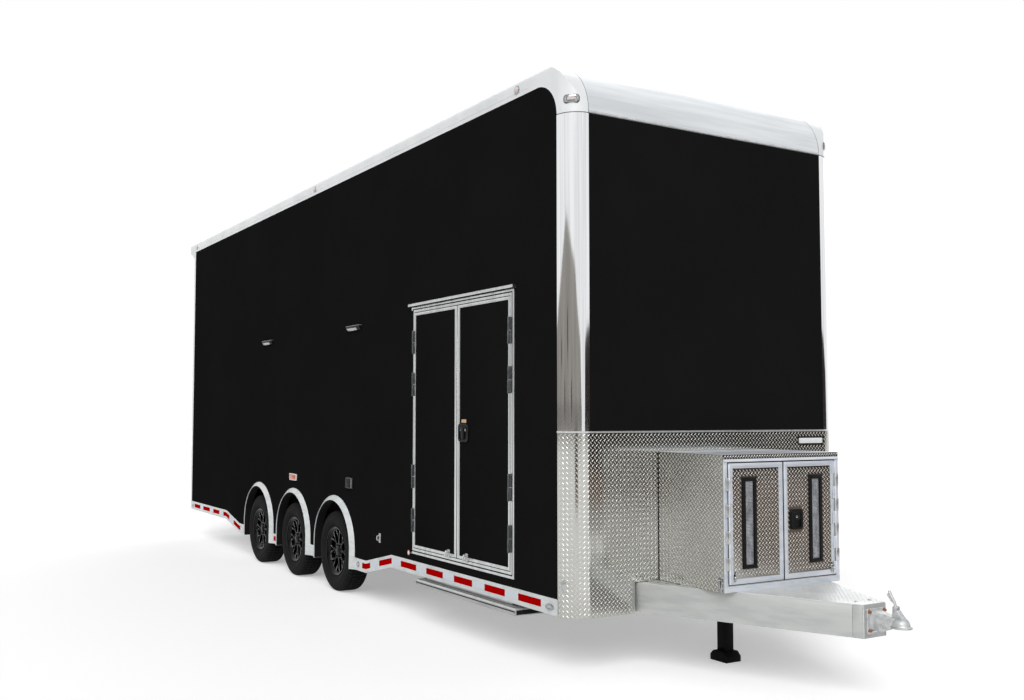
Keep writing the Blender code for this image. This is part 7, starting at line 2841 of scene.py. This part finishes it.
    def _lamps(self, side: Side) -> None:
        """Oval tail lamp in its grommet, and the small header markers.

        Args:
            side: The trailer's side.
        """
        d = self.datum
        low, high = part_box(f"tail_lamp_{side.tag}")
        y, z = (low.y + high.y) / 2, (low.z + high.z) / 2
        half_y, half_z = (high.y - low.y) / 2, (high.z - low.z) / 2
        outer = pad(y, z, half_y, half_z, half_z, 8)
        inner = rounded(y - half_y + 0.008, z - half_z + 0.008, y + half_y - 0.008, z + half_z - 0.008,
                        half_z, 8)
        Shape().frame(Plane.YZ, outer, inner, low.x + 0.004, d.rear + 0.001, 0.0015).piece(
            f"tail_grommet_{side.tag}", SEAL_RUBBER, replaces=[f"tail_lamp_{side.tag}"])
        Shape().prism(Plane.YZ, inner, low.x, d.rear + 0.001, 0.004).piece(
            f"tail_lens_{side.tag}", TAIL_LENS)
        lens = Shape()
        base = Shape()
        for place in (0.10, 1.12):
            cy = side.sign * place
            base.prism(Plane.YZ, rounded(cy - 0.050, 3.949, cy + 0.050, 3.985, 0.008, 4), d.rear - 0.004,
                       d.rear + 0.001, 0.001)
            lens.prism(Plane.YZ, rounded(cy - 0.044, 3.954, cy + 0.044, 3.980, 0.008, 4), d.rear - 0.016,
                       d.rear - 0.003, 0.004)
        base.piece(f"header_bases_{side.tag}", CHROME)
        lens.piece(f"header_lenses_{side.tag}", TAIL_LENS)


@dataclass
class Interior:
    """White lining, ribbed floor and lining trims, which show when the doors stand open."""

    datum: Datum
    sheet: float = 0.003
    floor_top: float = 0.627
    wheel_box_inner: float = 0.975
    wheel_box: tuple[float, float, float] = (3.400, 6.736, 0.977)
    ceiling: float = 4.032

    def build(self) -> None:
        """Builds the lining."""
        d = self.datum
        front, rear = d.behind(d.wall + 0.010), d.rear + 0.0605
        y = d.side - d.wall - 0.001
        cut_front, cut_rear, cut_top = d.door_front, d.door_rear, d.door_top
        over = self.wheel_box[2] + 0.002
        box_front, box_rear = d.behind(self.wheel_box[0] - 0.002), d.behind(self.wheel_box[1] + 0.002)
        lining = Shape()
        for side in Side:
            a, b = sorted((side.sign * y, side.sign * (y - self.sheet)))
            start = d.behind(0.16)
            if side is Side.RIGHT:
                lining.box((d.behind(cut_front), a, self.floor_top), (start, b, self.ceiling))
                lining.box((d.behind(cut_rear), a, cut_top), (d.behind(cut_front), b, self.ceiling))
                start = d.behind(cut_rear)
            lining.box((box_front, a, self.floor_top + 0.001), (start, b, self.ceiling))
            lining.box((box_rear, a, over), (box_front, b, self.ceiling))
            lining.box((rear, a, self.floor_top + 0.001), (box_rear, b, self.ceiling))
        lining.box((front - self.sheet, -d.side + 0.16, self.floor_top + 0.001),
                   (front, d.side - 0.16, 3.75))
        lining.box((rear, -y, self.ceiling), (d.behind(0.34), y, self.ceiling + self.sheet))
        lining.piece("lining", LINER_WHITE)
        half = self.wheel_box_inner - 0.004
        floor = Shape().box((rear, -half, self.floor_top + 0.0005),
                            (d.behind(0.07), half, self.floor_top + 0.004))
        for side in Side:
            s = side.sign
            floor.box((rear, s * half, self.floor_top + 0.0005),
                      (box_rear - 0.002, s * y, self.floor_top + 0.004))
            floor.box((box_front + 0.002, s * half, self.floor_top + 0.0005),
                      (d.behind(0.16), s * y, self.floor_top + 0.004))
        ribs = 44
        for i in range(ribs):
            y_rib = -half + 0.02 + (2 * half - 0.04) * i / (ribs - 1)
            floor.box((rear + 0.01, y_rib - 0.006, self.floor_top + 0.003),
                      (d.behind(0.09), y_rib + 0.006, self.floor_top + 0.0065))
        floor.piece("floor_cover", FLOOR_RUBBER)
        trims = Shape()
        for side in Side:
            s = side.sign
            trims.box((rear, s * (y - self.sheet - 0.012), self.ceiling - 0.030),
                      (d.behind(0.34), s * (y - self.sheet), self.ceiling), 0.002)
            tall = self.wheel_box[2]
            trims.box(
                (box_rear - 0.004, s * (self.wheel_box_inner - 0.002), tall - 0.02),
                (box_front + 0.004, s * (self.wheel_box_inner + 0.03), tall + 0.003), 0.001)
        trims.piece("lining_trims", BRIGHT_TRIM, slot="mill_aluminium")
        lamps = Shape()
        for place in (1.5, 3.6, 5.7, 7.8):
            lamps.prism(
                Plane.XY, rounded(d.behind(place) - 0.30, -0.09, d.behind(place) + 0.30, 0.09, 0.03, 5),
                self.ceiling - 0.025, self.ceiling + 0.001, 0.006)
        lamps.piece("ceiling_lamps", LED_LENS)


@dataclass
class Underside:
    """Chassis, axles and wheel boxes as the CAD has them, with brackets and brake lines added."""

    datum: Datum
    frame: dict
    rail_y: float = 0.880

    def dress(self) -> None:
        """Paints the CAD nodes that stay in view."""
        paint(self.frame, MILL_BEAM, "floor_deck", "main_rail_left", "main_rail_right")
        paint(self.frame, STEP_ALUMINIUM, "step_carrier")
        paint(self.frame, AXLE_STEEL, "axle_front", "axle_middle", "axle_rear")
        paint(self.frame, BLACK_POWDER, "wheel_box_left", "wheel_box_right", "jack_mount")

    def build(self) -> None:
        """Builds the axle brackets and the brake lines."""
        brackets, lines = Shape(), Shape()
        for place in self.datum.axles:
            tube_x = self.datum.behind(place - 0.150)
            for side in Side:
                y = side.sign * self.rail_y
                brackets.box((tube_x - 0.075, y - 0.050, 0.3915), (tube_x + 0.075, y + 0.050, 0.3995), 0.002)
                for sign in (-1, 1):
                    brackets.box((tube_x + sign * 0.046, y - 0.030, 0.309),
                                 (tube_x + sign * 0.054, y + 0.030, 0.396), 0.002)
                    brackets.rod((tube_x + sign * 0.062, y - 0.04, 0.377),
                                 (tube_x + sign * 0.062, y - 0.04, 0.3915), 0.009, 6)
            path = [(tube_x - 0.052, y, 0.362) for y in (-0.80, -0.4, 0.0, 0.4, 0.80)]
            lines.tube(path, 0.004, 8)
        brackets.piece("axle_brackets", AXLE_STEEL)
        lines.piece("brake_lines", BLACK_NYLON, slot="axle_steel")


@dataclass
class Surroundings:
    """Glowing boards round the studio, far off and near, that paint reflections into polished metal; the camera,
    diffuse light and shadows don't see them.
    """

    distance: float = 60.0
    camera_height: float = 1.75
    # Azimuth in degrees and the height, in degrees above the horizon, of a low grey bank on the right, a painted
    # reflection
    bank: tuple[Point, ...] = (
        (-150, 4.0), (-133, 6.3), (-122, 7.4), (-110, 8.5), (-96, 10.2), (-81, 11.9), (-66, 10.8),
        (-52, 9.6),
        (-36, 8.5), (-28, 6.3), (-13, 4.1), (-8, -0.5))
    # Dark uprights before it, painted reflections: azimuth from and to, height from and to
    uprights: tuple[tuple[float, float, float, float], ...] = (
        (-110, -105, 3.0, 4.6), (-76, -71, 3.6, 6.2), (-92, -87, -0.1, 1.9), (-58, -53, -0.1, 1.9),
        (-143, -139, -1.0, 3.0))
    # A dark hedge ahead on the left, a painted reflection
    hedge: tuple[Point, ...] = (
        (7, -0.5), (9, 4.2), (18, 4.9), (30, 5.2), (45, 5.0), (62, 4.2), (75, 2.5), (78, -0.5))
    # Painted reflection of the ground ahead of the trailer: radius about the pivot from and to, azimuth from and
    # to, colour
    ground: tuple[tuple[float, float, float, float, str], ...] = (
        (24.0, 115.0, 26, 64, "#322E2C"), (12.2, 24.0, 26, 43, "#775F51"), (5.0, 24.0, 43, 64, "#7E6C63"),
        (7.2, 12.2, 26, 43, "#A5A39E"), (1.6, 4.4, 24, 40, "#8E8C88"), (24.0, 115.0, -44, -30, "#322E2C"),
        (12.2, 24.0, -44, -30, "#775F51"))
    ground_pivot: Point = (4.20, -0.53)

    def build(self) -> None:
        """Builds the boards."""
        self._wall("board_bank", self.bank, self.distance, "#9A968F")
        self._wall("board_bank_foot", [(a, 0.6) for a, _ in self.bank], self.distance - 1, "#827E78")
        self._wall("board_hedge", self.hedge, self.distance, "#332D2B")
        for number, (start, end, low, high) in enumerate(self.uprights):
            self._wall(f"board_upright_{number}", [(start, high), (end, high)], self.distance - 2, "#4A4744",
                       low)
        for number, (near, far, start, end, colour) in enumerate(self.ground):
            x, y = self.ground_pivot
            turns = [math.radians(start + (end - start) * i / 12) for i in range(13)]
            rings = [[(x + radius * math.cos(a), y + radius * math.sin(a), 0.01) for a in turns]
                     for radius in (near, far)]
            self._board(f"board_ground_{number}", rings, colour)

    def _wall(self, name: str, top: Sequence[Point], distance: float, colour: str,
              low: float = -3.0) -> None:
        """An upright board round part of the horizon, whose top follows points of azimuth and elevation.

        Args:
            name: The board's name.
            top: The points.
            distance: How far off it stands.
            colour: Its colour.
            low: Its foot, in degrees above the horizon.
        """
        def place(azimuth: float, elevation: float) -> tuple[float, float, float]:
            """The point at a distance in a direction."""
            turn = math.radians(azimuth)
            rise = max(0.02, self.camera_height + distance * math.tan(math.radians(elevation)))
            return (distance * math.cos(turn), distance * math.sin(turn), rise)

        self._board(name, [[place(a, low) for a, _ in top], [place(a, e) for a, e in top]], colour)

    @staticmethod
    def _board(name: str, rows: Sequence[Sequence[Place]], colour: str) -> None:
        """A glowing board through two rows of points, of one even colour, which only polished metal sees: a
        painted reflection.

        Args:
            name: The board's name.
            rows: The lower and the upper points.
            colour: Its colour.
        """
        count = len(rows[0])
        mesh = bpy.data.meshes.new(name)
        mesh.from_pydata(
            [tuple(point) for row in rows for point in row], [],
            [(i, i + 1, count + i + 1, count + i) for i in range(count - 1)])
        made = bpy.data.materials.new(name)
        made.use_nodes = True
        tree = made.node_tree
        tree.nodes.clear()
        glow = add_node(tree, "ShaderNodeEmission", {"Color": linear(colour), "Strength": 1.0})
        add_node(tree, "ShaderNodeOutputMaterial", {"Surface": glow.outputs[0]})
        mesh.materials.append(made)
        board = link(name, mesh)
        board.visible_camera = False
        board.visible_diffuse = False
        board.visible_transmission = False
        board.visible_shadow = False


@dataclass
class Studio:
    """Camera at the photograph's view, pale floor, and even soft light."""

    camera_place: tuple[float, float, float] = (9.4526, -5.3624, 1.7507)
    yaw: float = 2.61485
    pitch: float = 0.05493
    roll: float = 0.00259
    focal_px: float = 1030.33
    centre_px: Point = (463.60, 356.80)
    picture_px: tuple[int, int] = (1024, 700)
    sensor_mm: float = 36.0
    ambient: float = 0.38
    key: float = 0.62
    fill: float = 0.20
    floor_lift: float = 0.33

    def build(self) -> None:
        """Builds the studio."""
        self._camera()
        self._world()
        self._floor()
        Surroundings().build()
        self._lamp("key_lamp", self.key, (0.62, -0.52, 0.62), 38.0)
        self._lamp("fill_lamp", self.fill, (-0.55, 0.70, 0.55), 50.0)
        bpy.context.scene.view_settings.view_transform = "Standard"

    def _camera(self) -> None:
        """The camera, with the shift that the photograph's framing needs."""
        data = bpy.data.cameras.new("camera")
        data.sensor_width = self.sensor_mm
        data.sensor_fit = "HORIZONTAL"
        wide, tall = self.picture_px
        data.lens = self.focal_px / wide * self.sensor_mm
        data.shift_x = (wide / 2 - self.centre_px[0]) / wide
        data.shift_y = (self.centre_px[1] - tall / 2) / wide
        data.clip_end = 200.0
        look = Vector((
            math.cos(self.pitch) * math.cos(self.yaw), math.cos(self.pitch) * math.sin(self.yaw),
            math.sin(self.pitch)))
        right = look.cross(Vector((0, 0, 1))).normalized()
        up = right.cross(look)
        rolled_right = right * math.cos(self.roll) + up * math.sin(self.roll)
        rolled_up = up * math.cos(self.roll) - right * math.sin(self.roll)
        turn = Matrix((rolled_right, rolled_up, -look)).transposed().to_4x4()
        camera = link("camera", data)
        camera.matrix_world = Matrix.Translation(self.camera_place) @ turn
        bpy.context.scene.camera = camera

    def _world(self) -> None:
        """White where the camera, a mirror or glass looks at it, and an even soft light elsewhere."""
        world = bpy.data.worlds.new("studio")
        bpy.context.scene.world = world
        world.use_nodes = True
        tree = world.node_tree
        tree.nodes.clear()
        plain = add_node(tree, "ShaderNodeBackground",
                         {"Color": linear("#FFFFFF"), "Strength": self.ambient})
        white = add_node(tree, "ShaderNodeBackground", {"Color": linear("#FFFFFF"), "Strength": 1.0})
        mix = add_node(
            tree, "ShaderNodeMixShader",
            {0: self._seen(tree, 1.0), 1: plain.outputs[0], 2: white.outputs[0]})
        add_node(tree, "ShaderNodeOutputWorld", {"Surface": mix.outputs[0]})

    def _seen(self, tree: bpy.types.NodeTree, share: float) -> bpy.types.NodeSocket:
        """A value for what the camera, a mirror or glass sees, and 0 for the light on the object.

        Args:
            tree: The nodes that take it.
            share: The value.

        Returns:
            The value's socket.
        """
        ray = add_node(tree, "ShaderNodeLightPath")
        total = ray.outputs["Is Camera Ray"]
        for kind in ("Is Glossy Ray", "Is Transmission Ray"):
            total = add_node(
                tree, "ShaderNodeMath", {0: total, 1: ray.outputs[kind]}, operation="MAXIMUM").outputs[0]
        return add_node(tree, "ShaderNodeMath", {0: total, 1: share}, operation="MULTIPLY").outputs[0]

    def _floor(self) -> None:
        """A plain pale floor that runs far enough back to have no edge in view."""
        mesh = bpy.data.meshes.new("floor")
        reach = 90.0
        mesh.from_pydata([(-reach, -reach, 0), (reach, -reach, 0), (reach, reach, 0), (-reach, reach, 0)],
                         [], [(0, 1, 2, 3)])
        floor = link("floor", mesh)
        made = bpy.data.materials.new("studio_floor")
        made.use_nodes = True
        shader = made.node_tree.nodes["Principled BSDF"]
        shader.inputs["Base Color"].default_value = linear("#F4F4F4")
        shader.inputs["Roughness"].default_value = 0.9
        shader.inputs["Specular IOR Level"].default_value = 0.0
        tree = made.node_tree
        white = add_node(tree, "ShaderNodeEmission", {"Strength": self._seen(tree, self.floor_lift)})
        both = add_node(tree, "ShaderNodeAddShader", {0: shader.outputs[0], 1: white.outputs[0]})
        tree.links.new(both.outputs[0], tree.nodes["Material Output"].inputs["Surface"])
        mesh.materials.append(made)

    def _lamp(self, name: str, strength: float, toward: Place, spread: float) -> None:
        """A soft distant lamp.

        Args:
            name: The lamp's name.
            strength: Its strength.
            toward: The direction from the object to the lamp.
            spread: How wide it is in the sky, in degrees.
        """
        data = bpy.data.lights.new(name, "SUN")
        data.energy = strength * math.pi
        data.angle = math.radians(spread)
        lamp = link(name, data)
        lamp.rotation_mode = "QUATERNION"
        lamp.rotation_quaternion = Vector(toward).to_track_quat("Z", "Y")
        lamp.location = Vector(toward) * 20


def main() -> None:
    """Builds the looks round the frame, part by part."""
    logging.basicConfig(level=logging.INFO, format="%(message)s")
    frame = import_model()
    datum = Datum.from_frame()
    skins, underside = BodySkins(datum, frame), Underside(datum, frame)
    skins.dress()
    underside.dress()
    assemblies = (
        Studio(), skins, StoneGuard(datum), Roof(datum), Skirts(datum), SideDoor(datum), Step(datum),
        TongueBox(datum),
        Tongue(datum), Coupler(datum), Wheels(datum), Lamps(datum), Rear(datum), Interior(datum), underside)
    for assembly in assemblies:
        LOG.info("Building %s", type(assembly).__name__)
        assembly.build()


if __name__ == "__main__":
    main()
